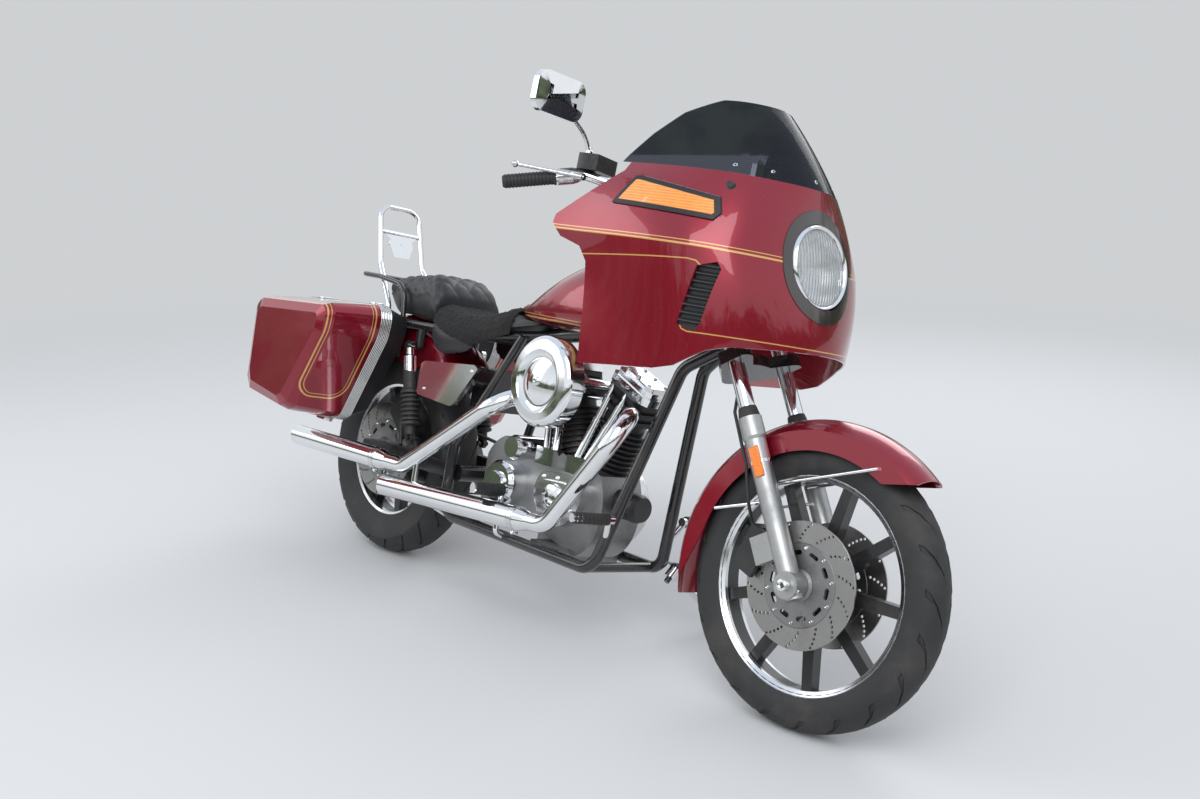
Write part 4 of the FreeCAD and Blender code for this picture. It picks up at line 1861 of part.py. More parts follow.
def fairing_prism(name, shares, grow=0):
    """Side-view outline in shares of the fairing, right across it, grown by a gap."""
    outline = [(S.fairing_rear + S.fairing_length * u, S.fairing_base + S.fairing_height * w)
               for u, w in shares]
    half = S.fairing_half_width * 1.2
    shape = prism(outline, half)
    if grow:
        corners = [vec(x, -half, z) for x, z in outline]
        face = Part.Face(Part.makePolygon(corners + corners[:1]))
        shape = face.makeOffset2D(float(grow)).extrude(vec(0, half + half, 0))
    return coded(name, shape)


def fairing():
    wall = S.fairing_wall
    low = loft([fairing_level(name, wall) for name in ("base", "lip", "waist", "crease")])
    high = loft([fairing_level(name, wall) for name in ("crease", "brow", "top")])
    shell = coded("fairing_shell", low.fuse(high))
    mouth = coded("lamp_mouth", oval(S.lamp_half_height, S.lamp_half_width,
                                     S.lamp_depth * 1.4, S.lamp_depth))
    base = shared("fairing_outline", shell, fairing_prism("fairing_side", FAIRING_SIDE_shares))
    holes = fused("fairing_holes", [
        mouth, fairing_prism("fairing_vents", VENT_shares),
        fairing_prism("turn_lamp_windows", TURN_LAMP_shares, S.seat_gap)])
    node("fairing", less("fairing_open", base, holes))
    rods = []
    head = on_steering_axis((S.lower_clamp + S.upper_clamp) / 2)
    for index, side in enumerate((-0.88, 0.88)):
        out = vec(S.fairing_rear + S.fairing_length * 0.30, S.fairing_half_width * side,
                  S.fairing_base + S.fairing_height * 0.42)
        rods.append(coded("fairing_arm_%d" % (index + 1),
                          strut_shape(head, out, S.strut_radius * 0.7)))
    nose = lamp_place().multVec(vec(0, 0, -S.lamp_depth * 1.02))
    rods.append(coded("lamp_arm", strut_shape(head, nose, S.strut_radius)))
    head_room = coded("arm_head_room", strut_shape(
        on_steering_axis(S.lower_clamp), on_steering_axis(S.upper_clamp),
        S.head_tube_radius + S.fit_gap))
    lamp_room = cylinder("arm_lamp_room", S.lamp_radius * 0.6, S.lamp_depth)
    lamp_room.Placement = lamp_place().multiply(
        Placement(vec(0, 0, -S.lamp_depth - S.seat_gap), Rotation()))
    node("fairing_frame", less("fairing_frame", fused("fairing_rods", rods),
                               fused("fairing_frame_rooms", [head_room, lamp_room])))
    shields()
    headlamp(wall)
    turn_lamps()


VENT_shares = [(0.69, 0.28), (0.755, 0.255), (0.775, 0.30), (0.81, 0.55), (0.795, 0.58), (0.735, 0.55)]


def shields():
    wires = []
    start = S.fairing_base + S.fairing_height + S.seat_gap
    for share, half in SHIELD_shares:
        wires.append(fairing_wire(start + S.shield_height * share, half, S.shield_wall))
    glass = coded("windshield_sheet", loft(wires))
    side = coded("windshield_side", prism(
        [(S.fairing_rear + S.fairing_length * u, start + S.shield_height * w)
         for u, w in SHIELD_SIDE_shares], S.fairing_half_width * 1.2))
    node("windshield", shared("windshield_cut", glass, side))


def headlamp(wall):
    place = lamp_place()
    unit = body("headlamp")
    r, ring, depth = S.lamp_radius, S.lamp_ring, S.lamp_depth
    revolve(unit, [
        (0, -depth), (r * 0.45, -depth, 0.1), (r, -ring * 2, 0), (r + ring, -ring * 2, 0),
        (r + ring, ring * 0.4, 0.4), (r, ring * 0.8, 0),
        (r * 0.98, ring * 0.2, dome(r * 0.98, ring * 1.2)), (0, ring * 1.4)])
    node("headlamp", unit, place)
    proud = S.surround_proud
    low = loft([fairing_level(name, wall * 3, proud) for name in ("base", "lip", "waist", "crease")])
    high = loft([fairing_level(name, wall * 3, proud) for name in ("crease", "brow", "top")])
    rim = oval(S.lamp_half_height - S.seat_gap, S.lamp_half_width - S.seat_gap,
               S.lamp_depth * 1.4, S.lamp_depth)
    bore = Part.makeCylinder(float(r + ring + S.seat_gap), float(depth * 4), vec(0, 0, -depth * 2))
    bore.Placement = place.multiply(bore.Placement)
    node("lamp_surround", coded("lamp_surround", low.fuse(high).common(rim).cut(bore)))


def turn_lamps():
    """Wedge lamps let into the upper panels, one each side."""
    proud = S.turn_lamp_depth / 4
    skin = loft([fairing_level(name, S.fairing_wall * 3, proud)
                 for name in ("crease", "brow", "top")])
    window = fairing_prism("turn_lamp_outline", TURN_LAMP_shares)
    node("turn_lamps", shared("turn_lamps", coded("turn_lamp_skin", skin), window))


TURN_LAMP_shares = [
    (0.29, 0.79), (0.735, 0.765), (0.745, 0.80), (0.715, 0.875), (0.37, 0.935), (0.345, 0.93)]


# Foot controls

def foot_controls():
    """Rider's peg on its post, and the forward peg on its plate."""
    side = S.rail_spread
    post_side = side * 1.3
    knee = S.rail_height + S.rail_radius
    post = tube_shape([
        vec(S.peg_forward, -side, S.rail_height), vec(S.peg_forward, -post_side, knee),
        vec(S.peg_forward, -post_side, S.peg_height)], S.pedal_thickness, S.peg_radius)
    peg = strut_shape(vec(S.peg_forward, -side * 1.22, S.peg_height),
                      vec(S.peg_forward - S.peg_radius, -post_side - S.peg_length, S.peg_height),
                      S.peg_radius)
    front = S.front_peg_forward
    plate = strut_shape(vec(front - S.peg_radius * 2, -side * 0.9, S.rail_height * 1.39),
                        vec(front, -side - S.peg_radius, S.front_peg_height), S.pedal_thickness)
    toe = strut_shape(vec(front, -side, S.front_peg_height),
                      vec(front - S.peg_radius, -side - S.peg_length * 1.4, S.front_peg_height),
                      S.peg_radius * 0.8)
    whole = fused("foot_controls_right", [
        coded("peg_post", post), coded("rider_peg", peg), coded("front_plate", plate),
        coded("front_peg", toe)])
    node("foot_controls", clear_of("foot_controls", both_sides("foot_controls_pair", whole),
                                   [cradle_shape(S.down_tube_radius + S.seat_gap)]))


# Build

def build():
    front_wheel()
    rear_wheel()
    fork()
    triple_clamps()
    front_mudguard()
    front_calipers()
    brake_hose()
    handlebar()
    frame()
    side_stand()
    engine()
    exhaust_pipes()
    swingarm()
    shock_absorbers()
    drive_belt()
    fuel_tank()
    seats()
    rear_mudguard()
    rear_hoops()
    side_covers()
    saddlebags()
    fairing()
    foot_controls()


def lean_and_write():
    """Leans every piece, sets the box's bottom centre on the origin and writes the STEP files."""
    doc.recompute()
    rests = {"steering": FRONT_REST, "front_wheel": FRONT_REST}
    whole = FreeCAD.BoundBox()
    for name, part, place, group in nodes:
        part.Placement = rests.get(group, REST).multiply(place.multiply(part.Placement))
        whole.add(part.Shape.optimalBoundingBox())
    shift = Vector(-whole.Center.x, -whole.Center.y, -whole.ZMin)
    faults = [item.Label for item in doc.Objects if {"Invalid", "Error"} & set(item.State)]
    for name, part, place, group in nodes:
        part.Placement = Placement(shift, Rotation()).multiply(part.Placement)
        shape = part.Shape
        if shape.isNull() or not shape.isValid() or not shape.Solids:
            faults.append(name)
    if faults:
        raise RuntimeError("features or pieces failed: " + ", ".join(faults))
    os.makedirs("parts", exist_ok=True)
    for name, part, place, group in nodes:
        part.Shape.exportStep("parts/%s.step" % name)
    return shift


build()
ORIGIN_SHIFT = lean_and_write()
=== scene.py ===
"""Looks of the touring cruiser: paint, chrome, rubber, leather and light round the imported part."""
import json
import math

import bmesh
import bpy
from mathutils import Matrix, Vector, noise


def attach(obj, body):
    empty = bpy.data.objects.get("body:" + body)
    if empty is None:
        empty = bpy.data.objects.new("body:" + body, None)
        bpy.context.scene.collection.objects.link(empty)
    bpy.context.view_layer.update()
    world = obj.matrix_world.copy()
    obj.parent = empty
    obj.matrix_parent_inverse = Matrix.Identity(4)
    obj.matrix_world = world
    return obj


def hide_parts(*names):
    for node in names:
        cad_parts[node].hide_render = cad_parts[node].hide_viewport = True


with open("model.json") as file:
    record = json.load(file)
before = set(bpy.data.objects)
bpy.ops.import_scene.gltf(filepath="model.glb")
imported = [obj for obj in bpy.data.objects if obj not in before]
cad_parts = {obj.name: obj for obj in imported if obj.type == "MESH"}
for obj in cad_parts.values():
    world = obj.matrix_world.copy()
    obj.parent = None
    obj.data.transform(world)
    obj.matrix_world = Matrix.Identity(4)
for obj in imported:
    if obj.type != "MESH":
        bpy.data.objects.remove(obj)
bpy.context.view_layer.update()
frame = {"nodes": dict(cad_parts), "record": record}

# Camera, set up from the rear axle, in metres
CAMERA_FROM_REAR_AXLE = Vector((3.4234, -2.2883, 1.0930))
CAMERA_YAW = 0.831
CAMERA_PITCH = 0.224
CAMERA_ROLL = 0.004
SENSOR_WIDTH = 36
FOCAL_LENGTH = 39.9

JOINTS = {joint["name"]: joint for joint in frame["record"]["behaviour"]["joints"]}
RAKE_ANGLE = math.radians(31)
REAR_TYRE_RADIUS = 0.320
FRONT_TYRE_RADIUS = 0.331
WHEELBASE = 1.643


def standing(spin, centre, upright_centre):
    """Matrix from the upright machine's metres to the row frame, from a wheel's joint."""
    left = Vector(spin["axis"]).normalized()
    rake = Vector(JOINTS["steering"]["axis"]).normalized()
    square = left.cross(rake)
    ahead = square * math.cos(RAKE_ANGLE) - rake * math.sin(RAKE_ANGLE)
    up = square * math.sin(RAKE_ANGLE) + rake * math.cos(RAKE_ANGLE)
    turn = Matrix((ahead, left, up)).transposed()
    place = Vector(centre) - turn @ upright_centre
    return Matrix.Translation(place) @ turn.to_4x4()


REAR_AXLE = Vector((0, 0, REAR_TYRE_RADIUS))
FRONT_AXLE = Vector((WHEELBASE, 0, FRONT_TYRE_RADIUS))
MACHINE = standing(JOINTS["rear_wheel_spin"], JOINTS["rear_wheel_spin"]["pos_m"], REAR_AXLE)
FORK = standing(JOINTS["front_wheel_spin"], JOINTS["front_wheel_spin"]["pos_m"], FRONT_AXLE)


def camera():
    """Camera at the photograph's place, made first so that every view can move it."""
    ahead = Vector((-math.sin(CAMERA_YAW) * math.cos(CAMERA_PITCH),
                    math.cos(CAMERA_YAW) * math.cos(CAMERA_PITCH), -math.sin(CAMERA_PITCH)))
    level = ahead.cross(Vector((0, 0, 1))).normalized()
    top = level.cross(ahead)
    right = level * math.cos(CAMERA_ROLL) + top * math.sin(CAMERA_ROLL)
    up = top * math.cos(CAMERA_ROLL) - level * math.sin(CAMERA_ROLL)
    data = bpy.data.cameras.new("camera")
    data.sensor_width = SENSOR_WIDTH
    data.lens = FOCAL_LENGTH
    shot = bpy.data.objects.new("camera", data)
    bpy.context.collection.objects.link(shot)
    turn = Matrix((right, up, -ahead)).transposed().to_4x4()
    spot = Vector(JOINTS["rear_wheel_spin"]["pos_m"]) + CAMERA_FROM_REAR_AXLE
    shot.matrix_world = Matrix.Translation(spot) @ turn
    bpy.context.scene.camera = shot


camera()
bpy.context.scene.view_settings.view_transform = "Standard"


# Node helpers

class Board:
    """A node tree with short ways to add nodes and link them."""

    def __init__(self, tree):
        self.tree = tree

    def add(self, kind, sockets=None, **settings):
        made = self.tree.nodes.new(kind)
        for name, value in settings.items():
            setattr(made, name, value)
        for name, value in (sockets or {}).items():
            self.feed(made.inputs[name], value)
        return made

    def feed(self, socket, value):
        if isinstance(value, bpy.types.NodeSocket):
            self.tree.links.new(value, socket)
        elif isinstance(value, bpy.types.Node):
            self.tree.links.new(value.outputs[0], socket)
        else:
            socket.default_value = value

    def maths(self, operation, first, second=0.0, third=0.0):
        made = self.add("ShaderNodeMath", operation=operation)
        for socket, value in zip(made.inputs, (first, second, third)):
            self.feed(socket, value)
        return made.outputs[0]

    def mix(self, share, first, second):
        made = self.add("ShaderNodeMix", data_type="RGBA")
        self.feed(made.inputs["Factor"], share)
        self.feed(made.inputs["A"], first)
        self.feed(made.inputs["B"], second)
        return made.outputs["Result"]

    def ramp(self, share, low, high):
        """Smooth step between two thresholds."""
        made = self.add("ShaderNodeMapRange", interpolation_type="SMOOTHSTEP")
        self.feed(made.inputs["Value"], share)
        self.feed(made.inputs["From Min"], low)
        self.feed(made.inputs["From Max"], high)
        return made.outputs["Result"]

    def length(self, first, second):
        """Distance from the origin to a point in a plane."""
        squares = [self.maths("MULTIPLY", share, share) for share in (first, second)]
        return self.maths("SQRT", self.maths("ADD", *squares))

    def noise(self, where, scale, detail=3.0, rough=0.55):
        made = self.add("ShaderNodeTexNoise", {"Vector": where, "Scale": scale,
                                               "Detail": detail, "Roughness": rough})
        return made.outputs["Fac"]

    def split(self, vector):
        return self.add("ShaderNodeSeparateXYZ", {"Vector": vector}).outputs


def rgba(color):
    return (color[0], color[1], color[2], 1.0)


def group(name, inputs, outputs):
    """An empty shader node group with named sockets."""
    tree = bpy.data.node_groups.new(name, "ShaderNodeTree")
    for label, kind, value in inputs:
        socket = tree.interface.new_socket(label, in_out="INPUT", socket_type=kind)
        if value is not None:
            socket.default_value = value
    for label, kind in outputs:
        tree.interface.new_socket(label, in_out="OUTPUT", socket_type=kind)
    board = Board(tree)
    return tree, board, board.add("NodeGroupInput"), board.add("NodeGroupOutput")


FLOAT, COLOR, VECTOR = "NodeSocketFloat", "NodeSocketColor", "NodeSocketVector"


def make_grime():
    """Cloudy dirt and fine specks: a colour, a roughness and a height over the surface."""
    tree, board, entry, out = group(
        "grime", [("Vector", VECTOR, None), ("Color", COLOR, (0.5, 0.5, 0.5, 1)),
                  ("Dirt Color", COLOR, (0.1, 0.08, 0.06, 1)), ("Dirt", FLOAT, 0.2),
                  ("Roughness", FLOAT, 0.3), ("Scale", FLOAT, 8.0)],
        [("Color", COLOR), ("Roughness", FLOAT), ("Height", FLOAT)])
    where, scale = entry.outputs["Vector"], entry.outputs["Scale"]
    cloud = board.noise(where, scale, 5.0, 0.6)
    fine = board.noise(where, board.maths("MULTIPLY", scale, 14.0), 3.0, 0.7)
    blotch = board.ramp(cloud, 0.45, 0.75)
    speck = board.ramp(fine, 0.58, 0.72)
    amount = board.maths("MULTIPLY", board.maths("ADD", blotch, board.maths("MULTIPLY", speck, 0.4)),
                         entry.outputs["Dirt"])
    board.feed(out.inputs["Color"], board.mix(amount, entry.outputs["Color"], entry.outputs["Dirt Color"]))
    rough = board.maths("MULTIPLY_ADD", amount, 0.5, entry.outputs["Roughness"])
    board.feed(out.inputs["Roughness"], board.maths("MULTIPLY_ADD", fine, 0.05, rough))
    board.feed(out.inputs["Height"], fine)
    return tree


def make_grain():
    """Fine pebbled grain for leather, rubber and moulded plastic."""
    tree, board, entry, out = group(
        "grain", [("Vector", VECTOR, None), ("Scale", FLOAT, 400.0)], [("Height", FLOAT)])
    cells = board.add("ShaderNodeTexVoronoi", {"Vector": entry.outputs["Vector"],
                                               "Scale": entry.outputs["Scale"]})
    soft = board.noise(entry.outputs["Vector"], board.maths("MULTIPLY", entry.outputs["Scale"], 0.4))
    board.feed(out.inputs["Height"], board.maths("ADD", cells.outputs["Distance"], soft))
    return tree


def make_upright():
    """Turns the leaned row frame back into the upright machine's metres."""
    tree, board, entry, out = group("upright", [("Vector", VECTOR, None)],
                                    [("Vector", VECTOR), ("Side", FLOAT)])
    back = MACHINE.inverted()
    mapping = board.add("ShaderNodeMapping", {"Vector": entry.outputs["Vector"]})
    mapping.inputs["Location"].default_value = back.to_translation()
    mapping.inputs["Rotation"].default_value = back.to_euler("XYZ")
    board.feed(out.inputs["Vector"], mapping.outputs["Vector"])
    x, y, z = board.split(mapping.outputs["Vector"])
    board.feed(out.inputs["Side"], board.maths("ABSOLUTE", y))
    return tree


GRIME = make_grime()
GRAIN = make_grain()
UPRIGHT = make_upright()


class Finish:
    """One material: a Principled shader with object coordinates ready to use."""

    def __init__(self, name):
        self.material = bpy.data.materials.new(name)
        self.material.use_nodes = True
        tree = self.material.node_tree
        tree.nodes.clear()
        self.board = Board(tree)
        self.shader = self.board.add("ShaderNodeBsdfPrincipled")
        exit_node = self.board.add("ShaderNodeOutputMaterial")
        tree.links.new(self.shader.outputs[0], exit_node.inputs["Surface"])
        self.where = self.board.add("ShaderNodeTexCoord").outputs["Object"]

    def set(self, **values):
        for name, value in values.items():
            self.board.feed(self.shader.inputs[name.replace("_", " ")], value)
        return self

    def use(self, tree, **values):
        made = self.board.add("ShaderNodeGroup", node_tree=tree)
        for name, value in values.items():
            self.board.feed(made.inputs[name.replace("_", " ")], value)
        return made

    def bump(self, height, strength, distance):
        made = self.board.add("ShaderNodeBump", {"Height": height, "Strength": strength,
                                                 "Distance": distance})
        self.board.feed(self.shader.inputs["Normal"], made.outputs["Normal"])
        return self

    def grimy(self, color, dirt_color, dirt, roughness, scale=8.0):
        made = self.use(GRIME, Vector=self.where, Color=rgba(color), Dirt_Color=rgba(dirt_color),
                        Dirt=dirt, Roughness=roughness, Scale=scale)
        self.set(Base_Color=made.outputs["Color"], Roughness=made.outputs["Roughness"])
        return made


CHROME_DIRT = (0.30, 0.27, 0.24)
METAL_DIRT = (0.10, 0.09, 0.08)
PAINT_DIRT = (0.09, 0.08, 0.07)
DUST = (0.12, 0.11, 0.10)


def chrome_finish(name="chrome", tint=(0.86, 0.87, 0.88), roughness=0.05, dirt=0.12):
    finish = Finish(name)
    finish.set(Metallic=1.0)
    made = finish.grimy(tint, CHROME_DIRT, dirt, roughness, 9.0)
    finish.bump(made.outputs["Height"], 0.02, 0.0005)
    return finish.material


def metal_finish(name, color, roughness, grain_scale, dirt):
    finish = Finish(name)
    finish.set(Metallic=1.0)
    finish.grimy(color, METAL_DIRT, dirt, roughness, 7.0)
    rough = finish.board.noise(finish.where, grain_scale, 4.0, 0.6)
    finish.bump(rough, 0.12, 0.0006)
    return finish.material


def coated_finish(name, color, roughness, coat=0.6, dirt=0.25):
    finish = Finish(name)
    finish.set(Coat_Weight=coat, Coat_Roughness=0.08)
    made = finish.grimy(color, PAINT_DIRT, dirt, roughness, 6.0)
    finish.bump(made.outputs["Height"], 0.04, 0.0005)
    return finish.material


def grained_finish(name, color, roughness, scale, strength, dirt=0.2):
    finish = Finish(name)
    finish.grimy(color, DUST, dirt, roughness, 5.0)
    grain = finish.use(GRAIN, Vector=finish.where, Scale=scale)
    finish.bump(grain.outputs["Height"], strength, 0.0008)
    return finish.material


RED = (0.430, 0.005, 0.028)
RED_DEEP = (0.205, 0.002, 0.014)
GOLD = (0.62, 0.36, 0.10)
THIN_STRIPE = 0.0011
THICK_STRIPE = 0.0024
STRIPE_GAP = 0.0100
STRIPE_EDGE = 0.0004


def red_finish(name, stripes):
    """Candy red: metallic flake under a clear coat, with gold lines where stripes says."""
    finish = Finish(name)
    board = finish.board
    upright = finish.use(UPRIGHT, Vector=finish.where)
    flake = board.noise(finish.where, 2600.0, 1.0, 0.5)
    cloud = board.noise(finish.where, 3.0, 2.0, 0.5)
    share = board.maths("MULTIPLY_ADD", board.ramp(flake, 0.35, 0.75), 0.30,
                        board.maths("MULTIPLY", cloud, 0.35))
    paint = board.mix(share, rgba(RED_DEEP), rgba(RED))
    mask = None
    for distance, half in stripes(board, upright):
        line = board.maths("SUBTRACT", 1.0, board.ramp(
            board.maths("ABSOLUTE", distance), half - STRIPE_EDGE, half + STRIPE_EDGE))
        mask = line if mask is None else board.maths("MAXIMUM", mask, line)
    if mask is None:
        color, metal = paint, 0.55
    else:
        color = board.mix(mask, paint, rgba(GOLD))
        metal = board.maths("MULTIPLY_ADD", mask, -0.35, 0.55)
    speck = board.ramp(board.noise(finish.where, 90.0, 4.0, 0.7), 0.66, 0.78)
    rough = board.maths("MULTIPLY_ADD", speck, 0.12, 0.27)
    finish.set(Base_Color=color, Metallic=metal, Roughness=rough, Coat_Weight=1.0, Coat_Roughness=0.025)
    return finish.material


def box_distance(board, u, v, centre_u, centre_v, half_u, half_v, corner):
    """Signed distance to the outline of a rounded rectangle."""
    across, along = (
        board.maths("SUBTRACT", board.maths("ABSOLUTE", board.maths("SUBTRACT", spot, centre)),
                    half - corner)
        for spot, centre, half in ((u, centre_u, half_u), (v, centre_v, half_v)))
    away = board.length(board.maths("MAXIMUM", across, 0.0), board.maths("MAXIMUM", along, 0.0))
    inside = board.maths("MINIMUM", board.maths("MAXIMUM", across, along), 0.0)
    return board.maths("SUBTRACT", board.maths("ADD", away, inside), corner)


def make_run():
    """Distance from a point to a straight run of stripe."""
    tree, board, entry, out = group(
        "stripe_run", [("Point", VECTOR, None), ("Start", VECTOR, (0, 0, 0)), ("End", VECTOR, (1, 0, 0))],
        [("Distance", FLOAT)])

    def vector_maths(operation, first, second, output="Vector"):
        made = board.add("ShaderNodeVectorMath", operation=operation)
        board.feed(made.inputs[0], first)
        board.feed(made.inputs[1], second)
        return made.outputs[output]

    away = vector_maths("SUBTRACT", entry.outputs["Point"], entry.outputs["Start"])
    run = vector_maths("SUBTRACT", entry.outputs["End"], entry.outputs["Start"])
    share = board.maths("DIVIDE", vector_maths("DOT_PRODUCT", away, run, "Value"),
                        vector_maths("DOT_PRODUCT", run, run, "Value"))
    share = board.maths("MINIMUM", board.maths("MAXIMUM", share, 0.0), 1.0)
    spot = board.add("ShaderNodeVectorMath", operation="SCALE")
    board.feed(spot.inputs[0], run)
    board.feed(spot.inputs["Scale"], share)
    board.feed(out.inputs["Distance"], vector_maths("DISTANCE", away, spot.outputs["Vector"], "Value"))
    return tree


RUN = make_run()
VENT_STRIPE = [(1.020, 0.9880), (1.342, 1.0105), (1.362, 1.0085), (1.373, 0.9990), (1.374, 0.9850),
               (1.343, 0.8760), (1.343, 0.8620), (1.350, 0.8520), (1.364, 0.8480), (1.640, 0.8600)]
BELT_HEIGHT = 1.0420
BELT_THIN_ABOVE = 0.0085
TANK_STRIPE_HEIGHT = 0.8120
BAG_STRIPE_CENTRE = (0.330, 0.700)
BAG_STRIPE_HALF = (0.076, 0.243)
BAG_STRIPE_CORNER = 0.050


def run_distance(board, point, start, end):
    made = board.add("ShaderNodeGroup", node_tree=RUN)
    board.feed(made.inputs["Point"], point)
    board.feed(made.inputs["Start"], (start[0], 0.0, start[1]))
    board.feed(made.inputs["End"], (end[0], 0.0, end[1]))
    return made.outputs["Distance"]


def fairing_stripes(board, upright):
    x, y, z = board.split(upright.outputs["Vector"])
    flat = board.add("ShaderNodeCombineXYZ", {"X": x, "Z": z}).outputs["Vector"]
    belt = board.maths("SUBTRACT", z, BELT_HEIGHT)
    yield belt, THICK_STRIPE
    yield board.maths("SUBTRACT", belt, BELT_THIN_ABOVE), THIN_STRIPE
    nearest = None
    for start, end in zip(VENT_STRIPE, VENT_STRIPE[1:]):
        distance = run_distance(board, flat, start, end)
        nearest = distance if nearest is None else board.maths("MINIMUM", nearest, distance)
    yield nearest, THIN_STRIPE * 1.3


def plain_stripes(board, upright):
    return ()


def tank_stripes(board, upright):
    x, y, z = board.split(upright.outputs["Vector"])
    line = board.maths("SUBTRACT", z, TANK_STRIPE_HEIGHT)
    yield line, THICK_STRIPE
    yield board.maths("SUBTRACT", line, BELT_THIN_ABOVE), THIN_STRIPE


def bag_stripes(board, upright):
    x, y, z = board.split(upright.outputs["Vector"])
    side = upright.outputs["Side"]
    line = box_distance(board, side, z, *BAG_STRIPE_CENTRE, *BAG_STRIPE_HALF, BAG_STRIPE_CORNER)
    yield line, THICK_STRIPE
    yield board.maths("ADD", line, STRIPE_GAP), THIN_STRIPE


def glass_finish(name, tint, density_share):
    finish = Finish(name)
    finish.set(Base_Color=rgba(tint), Roughness=0.03, Transmission_Weight=density_share, IOR=1.1)
    return finish.material


def lens_finish(name, color, rib_scale, axis):
    """Moulded ribbed lens that glows a little from inside."""
    finish = Finish(name)
    board = finish.board
    upright = finish.use(UPRIGHT, Vector=finish.where)
    u = board.split(upright.outputs["Vector"])[axis]
    wave = board.maths("SINE", board.maths("MULTIPLY", u, rib_scale))
    shade = board.mix(board.maths("MULTIPLY_ADD", wave, 0.25, 0.4),
                      rgba(color), rgba([c * 0.45 for c in color]))
    finish.set(Base_Color=shade, Roughness=0.18, Coat_Weight=0.8, Subsurface_Weight=0.25)
    finish.bump(wave, 0.6, 0.0015)
    return finish.material


def tyre_finish():
    """Black rubber, scuffed grey and dusty, with faint moulding marks."""
    finish = Finish("tyre_rubber")
    board = finish.board
    finish.grimy((0.021, 0.021, 0.022), (0.110, 0.100, 0.090), 0.32, 0.58, 10.0)
    scuff = board.noise(finish.where, 60.0, 6.0, 0.7)
    grain = finish.use(GRAIN, Vector=finish.where, Scale=900.0)
    fine = board.maths("MULTIPLY", grain.outputs["Height"], 0.3)
    finish.bump(board.maths("ADD", scuff, fine), 0.25, 0.0010)
    return finish.material


def rim_finish(name, spin, bead):
    """Black casting whose rim lip is machined bright."""
    finish = Finish(name)
    board = finish.board
    place = FORK if spin == "front_wheel_spin" else MACHINE
    centre = FRONT_AXLE if spin == "front_wheel_spin" else REAR_AXLE
    back = (place @ Matrix.Translation(centre)).inverted()
    mapping = board.add("ShaderNodeMapping", {"Vector": finish.where})
    mapping.inputs["Location"].default_value = back.to_translation()
    mapping.inputs["Rotation"].default_value = back.to_euler("XYZ")
    x, y, z = board.split(mapping.outputs["Vector"])
    far = board.length(x, z)
    lip = board.maths("MULTIPLY", board.ramp(far, bead - 0.010, bead - 0.008),
                      board.ramp(board.maths("ABSOLUTE", y), 0.020, 0.022))
    made = finish.use(GRIME, Vector=finish.where, Color=(0.016, 0.016, 0.018, 1),
                      Dirt_Color=(0.12, 0.10, 0.08, 1),
                      Dirt=0.3, Roughness=0.28, Scale=9.0)
    finish.set(Base_Color=board.mix(lip, made.outputs["Color"], (0.78, 0.79, 0.80, 1)), Metallic=lip,
               Roughness=board.maths("MULTIPLY_ADD", lip, -0.12, made.outputs["Roughness"]), Coat_Weight=0.3)
    return finish.material


def dress(finish, *names):
    """Gives CAD nodes a finish in place of their plain one."""
    for name in names:
        if name in frame["nodes"]:
            piece = frame["nodes"][name]
            piece.data.materials.clear()
            piece.data.materials.append(finish)


def glass_pane(name, tint, roughness, share, ior):
    finish = Finish(name)
    board = finish.board
    haze = board.noise(finish.where, 40.0, 4.0, 0.6)
    finish.set(Base_Color=board.mix(board.ramp(haze, 0.4, 0.9), rgba(tint), rgba([c * 0.92 for c in tint])),
               Roughness=roughness, Transmission_Weight=share, IOR=ior)
    return finish


def lamp_glass():
    """Pressed glass with upright flutes and cross ribs."""
    finish = glass_pane("pressed_lamp_glass", (0.93, 0.95, 0.95), 0.06, 0.80, 1.40)
    board = finish.board
    x, y, z = board.split(finish.use(UPRIGHT, Vector=finish.where).outputs["Vector"])
    flutes = board.maths("SINE", board.maths("MULTIPLY", y, 620.0))
    ribs = board.maths("SINE", board.maths("MULTIPLY", z, 200.0))
    finish.bump(board.maths("ADD", flutes, board.maths("MULTIPLY", ribs, 0.4)), 0.6, 0.0012)
    return finish.material


def amber_plain():
    """Moulded amber reflector with a fine prism pattern."""
    finish = Finish("amber_reflector")
    board = finish.board
    cells = board.add("ShaderNodeTexVoronoi", {"Vector": finish.where, "Scale": 420.0})
    shade = board.mix(board.ramp(cells.outputs["Distance"], 0.1, 0.8),
                      (1.0, 0.30, 0.03, 1), (0.80, 0.17, 0.01, 1))
    finish.set(Base_Color=shade, Roughness=0.16, Coat_Weight=1.0)
    finish.bump(cells.outputs["Distance"], 0.3, 0.0006)
    return finish.material


def dial_finish():
    """Matt black dial face, faintly speckled."""
    finish = Finish("gauge_dial")
    board = finish.board
    speck = board.noise(finish.where, 800.0, 2.0, 0.5)
    shade = board.mix(board.ramp(speck, 0.3, 0.9), (0.008, 0.008, 0.009, 1), (0.022, 0.022, 0.024, 1))
    finish.set(Base_Color=shade, Roughness=0.5)
    return finish.material


def band_finish():
    """Bright extruded trim with fine ribs along its length."""
    finish = Finish("ribbed_trim")
    board = finish.board
    finish.set(Metallic=1.0)
    finish.grimy((0.80, 0.80, 0.79), (0.30, 0.28, 0.26), 0.25, 0.14, 12.0)
    side = finish.use(UPRIGHT, Vector=finish.where).outputs["Side"]
    finish.bump(board.maths("SINE", board.maths("MULTIPLY", side, 1100.0)), 0.8, 0.0016)
    return finish.material


